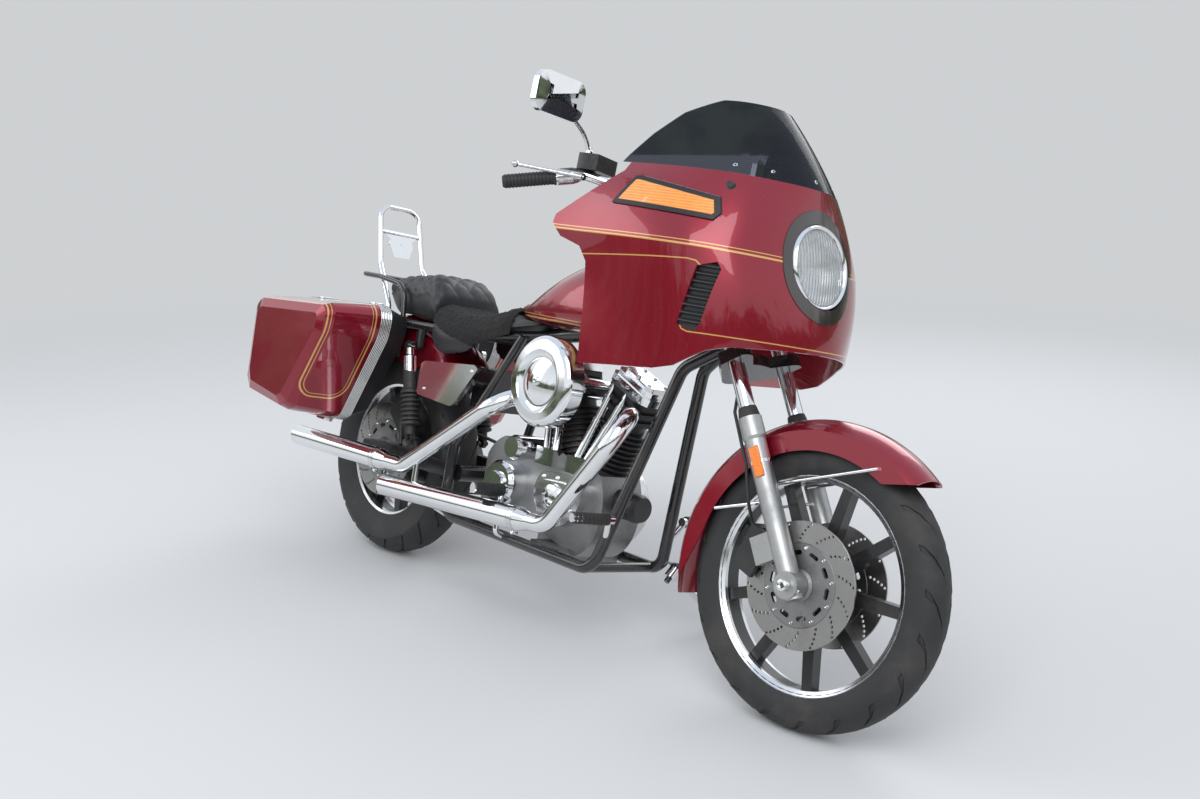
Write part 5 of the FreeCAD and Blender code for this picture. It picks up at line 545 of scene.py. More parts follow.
def two_part_finish(name, height, low_color, high_color, low_metal, high_metal, low_rough, high_rough):
    """One finish below a height of the upright machine and another above it."""
    finish = Finish(name)
    board = finish.board
    x, y, z = board.split(finish.use(UPRIGHT, Vector=finish.where).outputs["Vector"])
    upper = board.ramp(z, height - 0.0006, height + 0.0006)
    made = finish.grimy((0.5, 0.5, 0.5), (0.10, 0.09, 0.08), 0.25, 0.3, 8.0)
    clean = board.mix(upper, rgba(low_color), rgba(high_color))
    shade = board.mix(board.ramp(made.outputs["Height"], 0.3, 1.1), clean, rgba(PAINT_DIRT))
    finish.set(Base_Color=shade, Metallic=board.maths("MULTIPLY_ADD", upper, high_metal - low_metal, low_metal),
               Roughness=board.maths("MULTIPLY_ADD", upper, high_rough - low_rough, low_rough))
    return finish.material


def turn_lamp_finish():
    """Ribbed amber lens inside a black rubber frame."""
    finish = Finish("framed_amber_lens")
    board = finish.board
    x, y, z = board.split(finish.use(UPRIGHT, Vector=finish.where).outputs["Vector"])
    flat = board.add("ShaderNodeCombineXYZ", {"X": x, "Z": z}).outputs["Vector"]
    nearest = None
    for start, end in zip(TURN_LAMP_OUTLINE, TURN_LAMP_OUTLINE[1:] + TURN_LAMP_OUTLINE[:1]):
        distance = run_distance(board, flat, start, end)
        nearest = distance if nearest is None else board.maths("MINIMUM", nearest, distance)
    inner = board.ramp(nearest, 0.0105, 0.0115)
    ribs = board.maths("SINE", board.maths("MULTIPLY", z, 900.0))
    cells = board.noise(finish.where, 60.0, 3.0, 0.6)
    amber = board.mix(board.maths("MULTIPLY_ADD", ribs, 0.25, board.maths("MULTIPLY", cells, 0.5)),
                      (1.0, 0.36, 0.05, 1), (0.55, 0.14, 0.01, 1))
    finish.set(Base_Color=board.mix(inner, (0.012, 0.012, 0.013, 1), amber),
               Roughness=board.maths("MULTIPLY_ADD", inner, -0.25, 0.45), Coat_Weight=inner)
    finish.bump(board.maths("MULTIPLY", ribs, inner), 0.5, 0.0014)
    return finish.material


TURN_LAMP_OUTLINE = [(1.0836, 1.1190), (1.3653, 1.1063), (1.3716, 1.1240), (1.3526, 1.1619),
                     (1.1342, 1.1922), (1.1184, 1.1897)]
CHROME = chrome_finish()
POLISHED = metal_finish("polished_alloy", (0.74, 0.74, 0.74), 0.16, 300.0, 0.25)
SATIN = metal_finish("satin_alloy", (0.50, 0.50, 0.49), 0.38, 240.0, 0.35)
CAST = metal_finish("cast_alloy", (0.36, 0.36, 0.36), 0.45, 160.0, 0.45)
BLACK_PAINT = coated_finish("black_enamel", (0.012, 0.012, 0.013), 0.22)
BLACK_METAL = coated_finish("black_wrinkle", (0.018, 0.018, 0.019), 0.42, 0.15)
RUBBER = grained_finish("rubber", (0.020, 0.020, 0.021), 0.55, 700.0, 0.15)
SMOKY = coated_finish("smoky_surround", (0.030, 0.022, 0.022), 0.10, 1.0, 0.1)
PLASTIC = grained_finish("moulded_plastic", (0.020, 0.020, 0.022), 0.42, 900.0, 0.20)
LEATHER = grained_finish("black_leather", (0.022, 0.022, 0.024), 0.38, 520.0, 0.35, 0.12)
FLEECE = grained_finish("black_fleece", (0.012, 0.012, 0.013), 0.85, 160.0, 1.0, 0.1)
DISC = metal_finish("ground_steel", (0.42, 0.41, 0.40), 0.30, 500.0, 0.4)
RED_PLAIN = red_finish("red_paint", plain_stripes)
RED_FAIRING = red_finish("red_fairing_paint", fairing_stripes)
RED_BAG = red_finish("red_bag_paint", bag_stripes)
SMOKE = glass_finish("smoked_screen", (0.10, 0.11, 0.13), 0.85)
AMBER = turn_lamp_finish()
AMBER_PLAIN = amber_plain()
REFLECTOR = chrome_finish("lamp_reflector_silver", (0.90, 0.91, 0.92), 0.12, 0.05)
LAMP_GLASS = lamp_glass()
CLEAR_GLASS = glass_pane("gauge_glass", (0.97, 0.98, 0.98), 0.02, 0.95, 1.10).material
MIRROR_GLASS = chrome_finish("mirror_silver", (0.80, 0.83, 0.85), 0.01, 0.03)
CARRIER = metal_finish("carrier_alloy", (0.30, 0.30, 0.30), 0.38, 260.0, 0.5)
DIAL = dial_finish()
BAND = band_finish()
PLATE = coated_finish("plate_enamel", (0.70, 0.70, 0.66), 0.32, 0.4, 0.35)
SHOCK = two_part_finish("shock_rod_and_bellows", 0.585, (0.020, 0.020, 0.021), (0.80, 0.80, 0.80),
                        0.0, 1.0, 0.55, 0.10)
CONTROLS = two_part_finish("controls_and_reservoir", 1.1880, (0.72, 0.72, 0.72), (0.014, 0.014, 0.015),
                           1.0, 0.0, 0.16, 0.35)
TYRE_RUBBER = tyre_finish()
RED_TANK = red_finish("red_tank_paint", tank_stripes)
TAIL_RED = lens_finish("red_lens", (0.45, 0.01, 0.01), 900.0, 1)


def dress_nodes():
    dress(CHROME, "rear_axle", "front_axle", "fork_tubes", "handlebar", "mirrors", "side_stand", "rocker_covers",
          "pushrod_tubes", "transmission_cover", "air_cleaner", "exhaust_pipes", "fuel_cap", "sissy_bar",
          "side_covers", "foot_controls", "fender_stays", "headlamp")
    dress(POLISHED, "cam_cover", "primary_cover")
    dress(BAND, "bag_bands")
    dress(CONTROLS, "hand_controls")
    dress(SHOCK, "shock_absorbers")
    dress(SATIN, "fork_sliders", "front_pulley")
    dress(CAST, "engine_cases")
    dress(BLACK_PAINT, "frame", "swingarm", "triple_clamps", "grab_rail", "fairing_frame", "oil_tank")
    dress(BLACK_METAL, "cylinders", "front_calipers", "rear_caliper", "oil_filter")
    dress(RUBBER, "dust_boots", "brake_hose", "grips", "drive_belt")
    dress(PLASTIC, "bag_shells")
    dress(SMOKY, "lamp_surround")
    dress(LEATHER, "rider_seat", "pillion_pad")
    dress(FLEECE, "fleece_pad")
    dress(DISC, "front_discs", "rear_disc")
    dress(RED_PLAIN, "front_fender", "rear_fender")
    dress(RED_TANK, "fuel_tank")
    dress(RED_FAIRING, "fairing")
    dress(RED_BAG, "bag_lid_right", "bag_lid_left")
    dress(SMOKE, "windshield")
    dress(AMBER, "turn_lamps")
    dress(TAIL_RED, "tail_lamp")
    dress(rim_finish("front_rim_finish", "front_wheel_spin", 0.243), "front_rim")
    dress(rim_finish("rear_rim_finish", "rear_wheel_spin", 0.205), "rear_rim")


dress_nodes()


# Modelling helpers

def rest():
    """Leaves nothing selected, in object mode."""
    if bpy.context.object and bpy.context.object.mode != "OBJECT":
        bpy.ops.object.mode_set(mode="OBJECT")
    bpy.ops.object.select_all(action="DESELECT")


def work_on(piece, mode="FACE"):
    rest()
    piece.select_set(True)
    bpy.context.view_layer.objects.active = piece
    bpy.ops.object.mode_set(mode="EDIT")
    bpy.ops.mesh.select_mode(type=mode)
    bpy.ops.mesh.select_all(action="DESELECT")


def choose(piece, test):
    """Selects the faces whose centre and normal pass the test, in edit mode."""
    bpy.ops.mesh.select_mode(type="FACE")
    mesh = bmesh.from_edit_mesh(piece.data)
    mesh.normal_update()
    for face in mesh.faces:
        face.select_set(bool(test(face.calc_center_median(), face.normal)))
    bmesh.update_edit_mesh(piece.data)


def press(piece, test, *insets):
    """Insets the chosen faces in steps, each with a thickness and a depth."""
    choose(piece, test)
    for thickness, depth in insets:
        bpy.ops.mesh.inset(thickness=thickness, depth=depth)


def choose_edges(piece, test):
    bpy.ops.mesh.select_mode(type="EDGE")
    mesh = bmesh.from_edit_mesh(piece.data)
    for edge in mesh.edges:
        first, second = (corner.co for corner in edge.verts)
        edge.select_set(bool(test((first + second) / 2, (second - first).normalized())))
    bmesh.update_edit_mesh(piece.data)


def facing_out():
    """Merges doubles and turns all faces outwards, in edit mode."""
    bpy.ops.mesh.select_all(action="SELECT")
    bpy.ops.mesh.remove_doubles(threshold=0.00002)
    bpy.ops.mesh.normals_make_consistent(inside=False)
    bpy.ops.object.mode_set(mode="OBJECT")


def turned(name, stations, steps=48, closed=False, twist=None):
    """A ring extruded and scaled through (radius, height) stations about local Z."""
    rest()
    radius, height = stations[0]
    bpy.ops.mesh.primitive_circle_add(vertices=steps, radius=radius, location=(0, 0, height))
    piece = bpy.context.object
    piece.name = name
    bpy.ops.object.transform_apply(location=True)
    bpy.ops.object.mode_set(mode="EDIT")
    bpy.ops.mesh.select_mode(type="EDGE")
    bpy.ops.mesh.select_all(action="SELECT")
    for index, (far, up) in enumerate(stations[1:]):
        bpy.ops.mesh.extrude_edges_move()
        bpy.ops.transform.resize(value=(far / radius, far / radius, 1),
                                 center_override=(0, 0, height))
        bpy.ops.transform.translate(value=(0, 0, up - height))
        if twist:
            bpy.ops.transform.rotate(value=twist[index], orient_axis="Z",
                                     center_override=(0, 0, up))
        radius, height = far, up
    bpy.ops.mesh.select_all(action="DESELECT")
    bpy.ops.mesh.select_non_manifold()
    if closed:
        bpy.ops.mesh.bridge_edge_loops()
    else:
        bpy.ops.mesh.fill_holes(sides=0)
    facing_out()
    return piece


def slab(name, size, bevel, segments=3, place=(0, 0, 0)):
    """A block added at its size and place, with rounded edges."""
    rest()
    bpy.ops.mesh.primitive_cube_add(size=1, location=place, scale=size)
    piece = bpy.context.object
    piece.name = name
    bpy.ops.object.transform_apply(location=True, scale=True)
    bpy.ops.object.mode_set(mode="EDIT")
    bpy.ops.mesh.select_all(action="SELECT")
    bpy.ops.mesh.bevel(offset=bevel, segments=segments, profile=0.5)
    facing_out()
    return piece


def rod(name, points, radius):
    """A round bar that follows points in the upright machine."""
    rest()
    line = bpy.data.curves.new(name, "CURVE")
    line.dimensions = "3D"
    line.bevel_depth = radius
    line.bevel_resolution = 4
    line.use_fill_caps = True
    line.resolution_u = 12
    spline = line.splines.new("NURBS")
    spline.points.add(len(points) - 1)
    for point, spot in zip(spline.points, points):
        point.co = (*spot, 1)
    spline.order_u = 3
    spline.use_endpoint_u = True
    made = bpy.data.objects.new(name, line)
    bpy.context.collection.objects.link(made)
    made.select_set(True)
    bpy.context.view_layer.objects.active = made
    bpy.ops.object.convert(target="MESH")
    piece = bpy.context.object
    work_on(piece)
    facing_out()
    return piece


def copied(piece, name, place):
    """A copy with its own mesh, moved by a matrix."""
    mesh = piece.data.copy()
    mesh.transform(place)
    made = bpy.data.objects.new(name, mesh)
    bpy.context.collection.objects.link(made)
    return made


def gathered(name, pieces):
    """Joins copies into one piece."""
    rest()
    for piece in pieces:
        piece.select_set(True)
    bpy.context.view_layer.objects.active = pieces[0]
    bpy.ops.object.join()
    piece = bpy.context.object
    piece.name = name
    return piece


def settle(piece, place, body, finish, replaces=(), angle=35):
    """Puts the shape in its place in the mesh, with its finish, and lets it ride on its body."""
    piece.data.transform(place)
    if place.determinant() < 0:
        piece.data.flip_normals()
    piece.data.materials.clear()
    piece.data.materials.append(finish)
    rest()
    piece.select_set(True)
    bpy.context.view_layer.objects.active = piece
    bpy.ops.object.shade_smooth_by_angle(angle=math.radians(angle))
    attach(piece, body)
    if replaces:
        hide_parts(*replaces)
    return piece


def at(x, y, z):
    return Matrix.Translation((x, y, z))


def facing(spot, direction):
    """Matrix that puts local Z along a direction at a spot."""
    return at(*spot) @ Vector(direction).to_track_quat("Z", "Y").to_matrix().to_4x4()


ACROSS = Matrix.Rotation(math.radians(-90), 4, "X")
RIGHT, LEFT = (0, -1, 0), (0, 1, 0)
SIDES = (("right", -1), ("left", 1))


def mirrored_over(side):
    """Nothing for the right side, a mirror in the middle plane for the left."""
    return Matrix.Diagonal((1, -side, 1, 1))


# Tyres: swept grooves cut into a round tread

TYRE_COLUMNS = 60
GROOVE_EVERY = 3
GROOVE_MARGIN = 0.0060
GROOVE_WALL = 0.0006
GROOVE_DEPTH = 0.0040
FRONT_TREAD = [(0.2430, 0.036), (0.2700, 0.0475), (0.2960, 0.0490), (0.3150, 0.0400),
               (0.3265, 0.0240), (0.3308, 0.0060)]
REAR_TREAD = [(0.2050, 0.046), (0.2440, 0.0625), (0.2790, 0.0640), (0.3010, 0.0520),
              (0.3145, 0.0310), (0.3198, 0.0080)]


def grooved_tyre(name, half, sweep, place, body, node):
    """Tyre whose grooves slant back from the crown to the shoulders."""
    outline = half + [(radius, -side) for radius, side in reversed(half)]
    twists = []
    last = abs(outline[0][1]) * sweep
    for radius, side in outline[1:]:
        now = abs(side) * sweep
        twists.append(now - last)
        last = now
    tyre = turned(name, outline, TYRE_COLUMNS, True, twists)
    step = math.tau / TYRE_COLUMNS
    work_on(tyre)
    low, high = half[2][0], half[5][0]

    def in_groove(centre, normal):
        far = math.hypot(centre.x, centre.y)
        if not low < far < high + 0.001 or abs(centre.z) < 0.004 or abs(centre.z) > half[2][1]:
            return False
        if normal.dot(Vector((centre.x, centre.y, 0)).normalized()) < 0.2:
            return False
        angle = math.atan2(centre.y, centre.x) + (abs(centre.z) - abs(outline[0][1])) * sweep
        column = math.floor(angle / step)
        return column % GROOVE_EVERY == (0 if centre.z > 0 else 1)

    press(tyre, in_groove, (GROOVE_MARGIN, 0.0), (GROOVE_WALL, -GROOVE_DEPTH))
    bpy.ops.object.mode_set(mode="OBJECT")
    settle(tyre, place @ ACROSS, body, TYRE_RUBBER, (node,), 30)


# Brake discs: drilled rings on slotted carriers

DISC_THICKNESS = 0.005
DISC_OUTER = 0.1455
DISC_INNER = 0.096
HOLE_RADIUS = 0.0034
HOLE_ROWS = ((0.105, 0.0), (0.114, 0.055), (0.123, 0.11), (0.132, 0.165), (0.1395, 0.22))
HOLE_ARMS = 14
CARRIER_OUTER = 0.0955
CARRIER_BORE = 0.036
CARRIER_SLOTS = 10


def cut_from(piece, cutters, name):
    """Takes the joined cutters out of a piece."""
    tool = gathered(name, cutters)
    rest()
    piece.select_set(True)
    bpy.context.view_layer.objects.active = piece
    cut = piece.modifiers.new("cut", "BOOLEAN")
    cut.operation = "DIFFERENCE"
    cut.solver = "EXACT"
    cut.object = tool
    bpy.ops.object.modifier_apply(modifier=cut.name)
    bpy.data.objects.remove(tool)
    return piece


def flat_ring(name, outer, inner, thick, edge, steps=72):
    half = thick / 2
    return turned(name, [(inner, -half), (outer - edge, -half), (outer, edge - half),
                         (outer, half - edge), (outer - edge, half), (inner, half)], steps, True)


def drill(radius, reach):
    rest()
    bpy.ops.mesh.primitive_cylinder_add(vertices=10, radius=radius, depth=reach)
    return bpy.context.object


def drilled_disc():
    disc = flat_ring("disc_blank", DISC_OUTER, DISC_INNER, DISC_THICKNESS, 0.0006)
    hole = drill(HOLE_RADIUS, DISC_THICKNESS * 4)
    cutters = []
    for arm in range(HOLE_ARMS):
        for far, lag in HOLE_ROWS:
            turn = math.tau * arm / HOLE_ARMS + lag
            cutters.append(copied(hole, "hole", at(far * math.cos(turn), far * math.sin(turn), 0)))
    bpy.data.objects.remove(hole)
    return cut_from(disc, cutters, "holes")


def slotted_carrier():
    carrier = flat_ring("carrier_blank", CARRIER_OUTER, CARRIER_BORE, DISC_THICKNESS * 1.5, 0.001)
    slot = slab("slot_cutter", (0.026, 0.011, DISC_THICKNESS * 6), 0.0054, 4)
    cutters = [copied(slot, "slot", Matrix.Rotation(math.tau * index / CARRIER_SLOTS, 4, "Z")
                      @ at(0.074, 0, 0) @ Matrix.Rotation(math.radians(90), 4, "Z"))
               for index in range(CARRIER_SLOTS)]
    bpy.data.objects.remove(slot)
    return cut_from(carrier, cutters, "slots")


def hex_bolt():
    """Flanged bolt head whose top is bevelled and hollowed."""
    rest()
    bpy.ops.mesh.primitive_cylinder_add(vertices=12, radius=1, depth=0.9, location=(0, 0, 0.45))
    bolt = bpy.context.object
    bpy.ops.object.transform_apply(location=True)
    work_on(bolt)
    press(bolt, lambda centre, normal: normal.z > 0.9, (0.16, 0.16), (0.26, 0.0), (0.02, -0.45))
    bpy.ops.object.mode_set(mode="OBJECT")
    return bolt


BOLT = hex_bolt()


def bolts(name, spots, direction, size, place, body, finish):
    """Bolt heads that stand on a face, all in one direction."""
    made = [copied(BOLT, name, facing(spot, direction) @ Matrix.Diagonal((size, size, size, 1)))
            for spot in spots]
    return settle(gathered(name, made), place, body, finish)


def circle(x, y, z, radius, count, start):
    """Even spots on an upright circle, all at one distance to the side."""
    turns = [math.tau * index / count + start for index in range(count)]
    return [(x + radius * math.cos(turn), y, z + radius * math.sin(turn)) for turn in turns]


DISC_BOLT_CIRCLE = 0.086


def brakes():
    disc, carrier = drilled_disc(), slotted_carrier()
    wheels = (("front_right", FORK @ at(*FRONT_AXLE), -0.066, "front_wheel", "front_discs"),
              ("front_left", FORK @ at(*FRONT_AXLE), 0.066, "front_wheel", "front_discs"),
              ("rear_right", MACHINE @ at(*REAR_AXLE), -0.078, "rear_wheel", "rear_disc"))
    for name, hub, side, body, node in wheels:
        place = hub @ at(0, side, 0) @ ACROSS
        settle(copied(disc, name + "_disc", Matrix()), place, body, DISC, (node,))
        settle(copied(carrier, name + "_carrier", Matrix()), place, body, CARRIER, (node,))
        out = 1 if side > 0 else -1
        face = side + out * DISC_THICKNESS * 0.7
        ring = circle(0, face, 0, DISC_BOLT_CIRCLE, CARRIER_SLOTS, math.pi / CARRIER_SLOTS)
        bolts(name + "_disc_bolts", ring, (0, out, 0), 0.0042, hub, body, CHROME)
        cup = turned(name + "_disc_hub", [(0.037, 0), (0.037, 0.010), (0.030, 0.016), (0.0135, 0.016),
                                          (0.0135, 0)], 40, True)
        settle(cup, hub @ facing((0, side - out * 0.004, 0), (0, out, 0)), body, CARRIER)
    bpy.data.objects.remove(disc)
    bpy.data.objects.remove(carrier)


# Headlamp

LAMP = MACHINE @ at(1.48464, 0, 1.046) @ Matrix.Rotation(math.radians(77), 4, "Y")


def lamp_unit():
    bezel = turned("lamp_bezel", [(0.0900, -0.010), (0.0900, 0.004), (0.0925, 0.0090),
                                  (0.0970, 0.0105), (0.1005, 0.0070), (0.1018, 0.0000),
                                  (0.1018, -0.020), (0.0960, -0.020)], 72, True)
    settle(bezel, LAMP, "frame", CHROME, ("headlamp",), 50)
    bowl = turned("lamp_reflector", [
        (0.0895, 0.0005), (0.0880, -0.006), (0.0770, -0.030), (0.0600, -0.050), (0.0380, -0.064),
        (0.0180, -0.071), (0.0080, -0.073), (0.0080, -0.090), (0.0400, -0.088), (0.0660, -0.070),
        (0.0850, -0.045), (0.0940, -0.020), (0.0940, -0.010), (0.0902, 0.0005)], 72, True)
    settle(bowl, LAMP, "frame", REFLECTOR, (), 50)
    bulb = turned("lamp_bulb", [(0.0078, -0.088), (0.0078, -0.060), (0.0110, -0.056), (0.0120, -0.046),
                                (0.0090, -0.036), (0.0040, -0.033), (0.0004, -0.0325)], 32)
    settle(bulb, LAMP, "frame", CHROME, (), 50)
    lens = turned("lamp_lens", [
        (0.0003, 0.0138), (0.0200, 0.0134), (0.0450, 0.0119), (0.0680, 0.0093), (0.0850, 0.0058),
        (0.0898, 0.0035), (0.0898, 0.0012), (0.0840, 0.0030), (0.0670, 0.0066), (0.0440, 0.0092),
        (0.0200, 0.0106), (0.0003, 0.0110)], 72, True)
    settle(lens, LAMP, "frame", LAMP_GLASS, (), 50)


# Mirrors and grips

MIRROR_SPOT = (0.938, -0.430, 1.329)
MIRROR_FOOT = (0.909, -0.264)
MIRROR_FOOT_HEIGHT = 1.2295


def rounded_block(name, size, corner, segments):
    """Thin block across the machine with round corners, left in edit mode."""
    rest()
    bpy.ops.mesh.primitive_cube_add(size=1)
    made = bpy.context.object
    made.name = name
    made.data.transform(Matrix.Diagonal((*size, 1)))
    work_on(made)
    choose_edges(made, lambda middle, run: abs(run.x) > 0.9)
    bpy.ops.mesh.bevel(offset=corner, segments=segments, profile=0.5)
    return made


def mirrors():
    for name, side in SIDES:
        over = FORK @ mirrored_over(side)
        shell = rounded_block("mirror_shell_" + name, (0.018, 0.158, 0.098), 0.030, 7)
        press(shell, lambda centre, normal: normal.x > 0.99, (0.006, 0.001), (0.036, 0.009))
        press(shell, lambda centre, normal: normal.x < -0.99, (0.005, 0.0), (0.001, -0.002))
        facing_out()
        settle(shell, over @ at(*MIRROR_SPOT) @ at(0.002, 0, 0), "steering", CHROME, ("mirrors",), 20)
        pane = rounded_block("mirror_glass_" + name, (0.0016, 0.146, 0.086), 0.025, 7)
        facing_out()
        settle(pane, over @ at(*MIRROR_SPOT) @ at(-0.0068, 0, 0), "steering", MIRROR_GLASS)
        x, y = MIRROR_FOOT
        head = Vector(MIRROR_SPOT)
        foot = Vector((x, y, MIRROR_FOOT_HEIGHT))
        knee = foot + Vector((0, (head.y - foot.y) * 0.1, (head.z - foot.z) * 0.35))
        stem = rod("mirror_stem_" + name, [foot, knee, (knee + head) / 2, head], 0.0052)
        settle(stem, over, "steering", CHROME)
        ball = turned("mirror_ball_" + name, [(0.0092, -0.001), (0.0092, 0.006), (0.0062, 0.010),
                                              (0.0055, 0.016)], 24)
        settle(ball, over @ at(x, y, MIRROR_FOOT_HEIGHT), "steering", CHROME)


GRIP_START = Vector((0.8552, -0.3061, 1.1570))
GRIP_AXIS = Vector((-0.68788, -0.67077, -0.2773))


def grips():
    """Ribbed rubber sleeves with a flange inside and a rounded end."""
    stations = [(0.0131, 0.0), (0.0193, 0.0), (0.0195, 0.004), (0.0172, 0.008)]
    for rib in range(13):
        foot = 0.0095 + rib * 0.0088
        stations += [(0.0176, foot), (0.0176, foot + 0.0056), (0.0162, foot + 0.0064),
                     (0.0162, foot + 0.0080)]
    stations += [(0.0176, 0.1240), (0.0170, 0.1285), (0.0135, 0.1345), (0.0003, 0.1348)]
    for name, side in SIDES:
        grip = turned("ribbed_grip_" + name, stations, 32)
        over = FORK @ mirrored_over(side)
        settle(grip, over @ facing(GRIP_START, GRIP_AXIS), "steering", RUBBER, ("grips",))


# Cushions, modelled in code from stations along the seat

SEAT_SECTION = [(0.0, 0.0), (0.45, 0.0), (0.82, 0.06), (1.0, 0.34), (0.95, 0.72), (0.72, 0.96),
                (0.35, 1.0), (0.0, 1.0)]
SEAT_REAR, SEAT_LENGTH, SEAT_HALF, SEAT_BASE, SEAT_HEIGHT = 0.209, 0.397, 0.140, 0.646, 0.228
RIDER_STATIONS = [
    (SEAT_REAR + SEAT_LENGTH * u, SEAT_HALF * v, SEAT_BASE + SEAT_HEIGHT * low,
     SEAT_BASE + SEAT_HEIGHT * high)
    for u, v, low, high in ((0.0, 0.92, 0.10, 0.62), (0.13, 1.0, 0.0, 0.575), (0.33, 1.0, 0.04, 0.54),
                            (0.53, 0.86, 0.10, 0.585), (0.73, 0.66, 0.20, 0.72),
                            (0.89, 0.52, 0.32, 0.87), (1.0, 0.42, 0.46, 0.97))]
PILLION_STATIONS = [
    (-0.150 + 0.355 * u, 0.125 * v, 0.735 + 0.150 * low, 0.735 + 0.150 * high)
    for u, v, low, high in ((0.0, 0.42, 0.42, 0.73), (0.14, 0.56, 0.16, 0.80), (0.35, 0.80, 0.0, 0.88),
                            (0.59, 0.83, 0.0, 0.95), (0.81, 0.94, 0.0, 1.0), (0.93, 1.0, 0.0, 0.86),
                            (1.0, 0.98, 0.04, 0.62))]


def spline_value(points, share):
    """Smooth value through evenly numbered points, at a share of the way."""
    last = len(points) - 1
    spot = min(max(share, 0.0), 0.99999) * last
    index = int(spot)
    t = spot - index
    before = points[max(index - 1, 0)]
    start, end = points[index], points[index + 1]
    after = points[min(index + 2, last)]
    return tuple(0.5 * (2 * b + (c - a) * t + (2 * a - 5 * b + 4 * c - d) * t * t
                        + (3 * b - a - 3 * c + d) * t * t * t)
                 for a, b, c, d in zip(before, start, end, after))


def section_ring(count):
    """Even points round the closed seat section, from the middle of the base, as shares."""
    other_side = [(-v, w) for v, w in reversed(SEAT_SECTION[1:-1])]
    closed = SEAT_SECTION + other_side + [SEAT_SECTION[0]]
    return [spline_value(closed, index / count) for index in range(count)]


def skin(name, rows):
    """A closed mesh over rings of points."""
    mesh = bpy.data.meshes.new(name)
    count = len(rows[0])
    points = [point for row in rows for point in row]
    faces = []
    for row in range(len(rows) - 1):
        for index in range(count):
            following = (index + 1) % count
            low, high = row * count, (row + 1) * count
            faces.append((low + index, low + following, high + following, high + index))
    faces.append(tuple(reversed(range(count))))
    faces.append(tuple(range((len(rows) - 1) * count, len(rows) * count)))
    mesh.from_pydata(points, [], faces)
    made = bpy.data.objects.new(name, mesh)
    bpy.context.collection.objects.link(made)
    work_on(made)
    facing_out()
    return made


END_TAPER = 0.055


def cushion_rows(stations, along, around, relief, room):
    """Rings of a crowned cushion: relief raises the skin, room keeps it clear below."""
    ring = section_ring(around)
    rows = []
    for step in range(along):
        share = step / (along - 1)
        x, half, base, top = spline_value(stations, share)
        edge = min(share, 1 - share) / END_TAPER
        round_off = 1.0 if edge >= 1 else 0.80 + 0.20 * math.sqrt(max(0.0, 1 - (1 - edge) ** 2))
        middle = (base + top) / 2
        points = [Vector((x, half * v * round_off, middle + (base + (top - base) * w - middle) * round_off))
                  for v, w in ring]
        crown = around // 2
        arc = [0.0] * around
        for turn in (1, -1):
            travelled, index = 0.0, crown
            for hop in range(around // 2 - 1):
                following = (index + turn) % around
                travelled += (points[following] - points[index]).length
                arc[following] = travelled * turn
                index = following
        row = []
        for index, point in enumerate(points):
            ahead, behind = points[(index + 1) % around], points[index - 1]
            out = Vector((0, ahead.z - behind.z, behind.y - ahead.y))
            out = out.normalized() if out.length > 0 else Vector((0, 0, 1))
            raised = point + out * relief(point, arc[index], edge)
            row.append(room(raised))
        rows.append(row)
    return rows


QUILT_PITCH = 0.046
QUILT_DEPTH = 0.0055
PIPING_ARC = 0.150


def quilted(point, arc, edge):
    """Diamond quilting with pinched seams, and a piped seam along the lower side."""
    ahead = point.x * 0.9 + 0.012
    first = abs(math.sin(math.pi * (ahead + arc * 0.75) / QUILT_PITCH))
    second = abs(math.sin(math.pi * (ahead - arc * 0.75) / QUILT_PITCH))
    puff = (first * second) ** 0.45
    low = PIPING_ARC * min(1.0, 0.62 + max(0.0, point.x + 0.150) * 1.6)
    inside = 1.0 if abs(arc) < low else 0.0
    seam = math.exp(-((abs(arc) - low) / 0.0035) ** 2)
    return (puff - 1.0) * QUILT_DEPTH * inside + seam * 0.0022 - (1 - inside) * 0.002


def pillion_room(point):
    crown = 0.4287
    if abs(point.x) < crown:
        floor_height = REAR_TYRE_RADIUS + math.sqrt(crown * crown - point.x * point.x)
        if point.z < floor_height:
            return Vector((point.x, point.y, floor_height))
    return point


def stitched(point, arc, edge):
    """Smooth leather with two raised seams along each side."""
    height = 0.0
    for seam in (0.088, 0.122):
        height += 0.0020 * math.exp(-((abs(arc) - seam) / 0.0028) ** 2)
        height -= 0.0012 * math.exp(-((abs(arc) - seam - 0.007) / 0.004) ** 2)
    return height + 0.0012 * noise.noise(point * 16.0)


RAIL_TOPS = [(-0.150, 0.7285), (0.425, 0.7470), (0.600, 0.7896), (0.900, 0.860)]
TANK_FEET = [(0.490, 0.8150), (0.562, 0.8000), (0.663, 0.7935), (0.900, 0.7935)]


def on_line(line, x):
    for (x0, z0), (x1, z1) in zip(line, line[1:]):
        if x <= x1:
            return z0 + (z1 - z0) * max(0.0, (x - x0) / (x1 - x0))
    return line[-1][1]


def rider_room(point):
    """Over the seat rails in the middle, and under the tank's tail."""
    x, y, z = point
    if abs(y) < 0.1195:
        z = max(z, on_line(RAIL_TOPS, x))
    if x > 0.490:
        z = min(z, on_line(TANK_FEET, x))
    return Vector((x, y, z))


FLEECE_THICKNESS = 0.015
FLEECE_LOW = [(0.200, 0.742), (0.270, 0.722), (0.408, 0.696), (0.500, 0.738), (0.560, 0.780)]
FLEECE_SPAN = (0.015, 0.715)


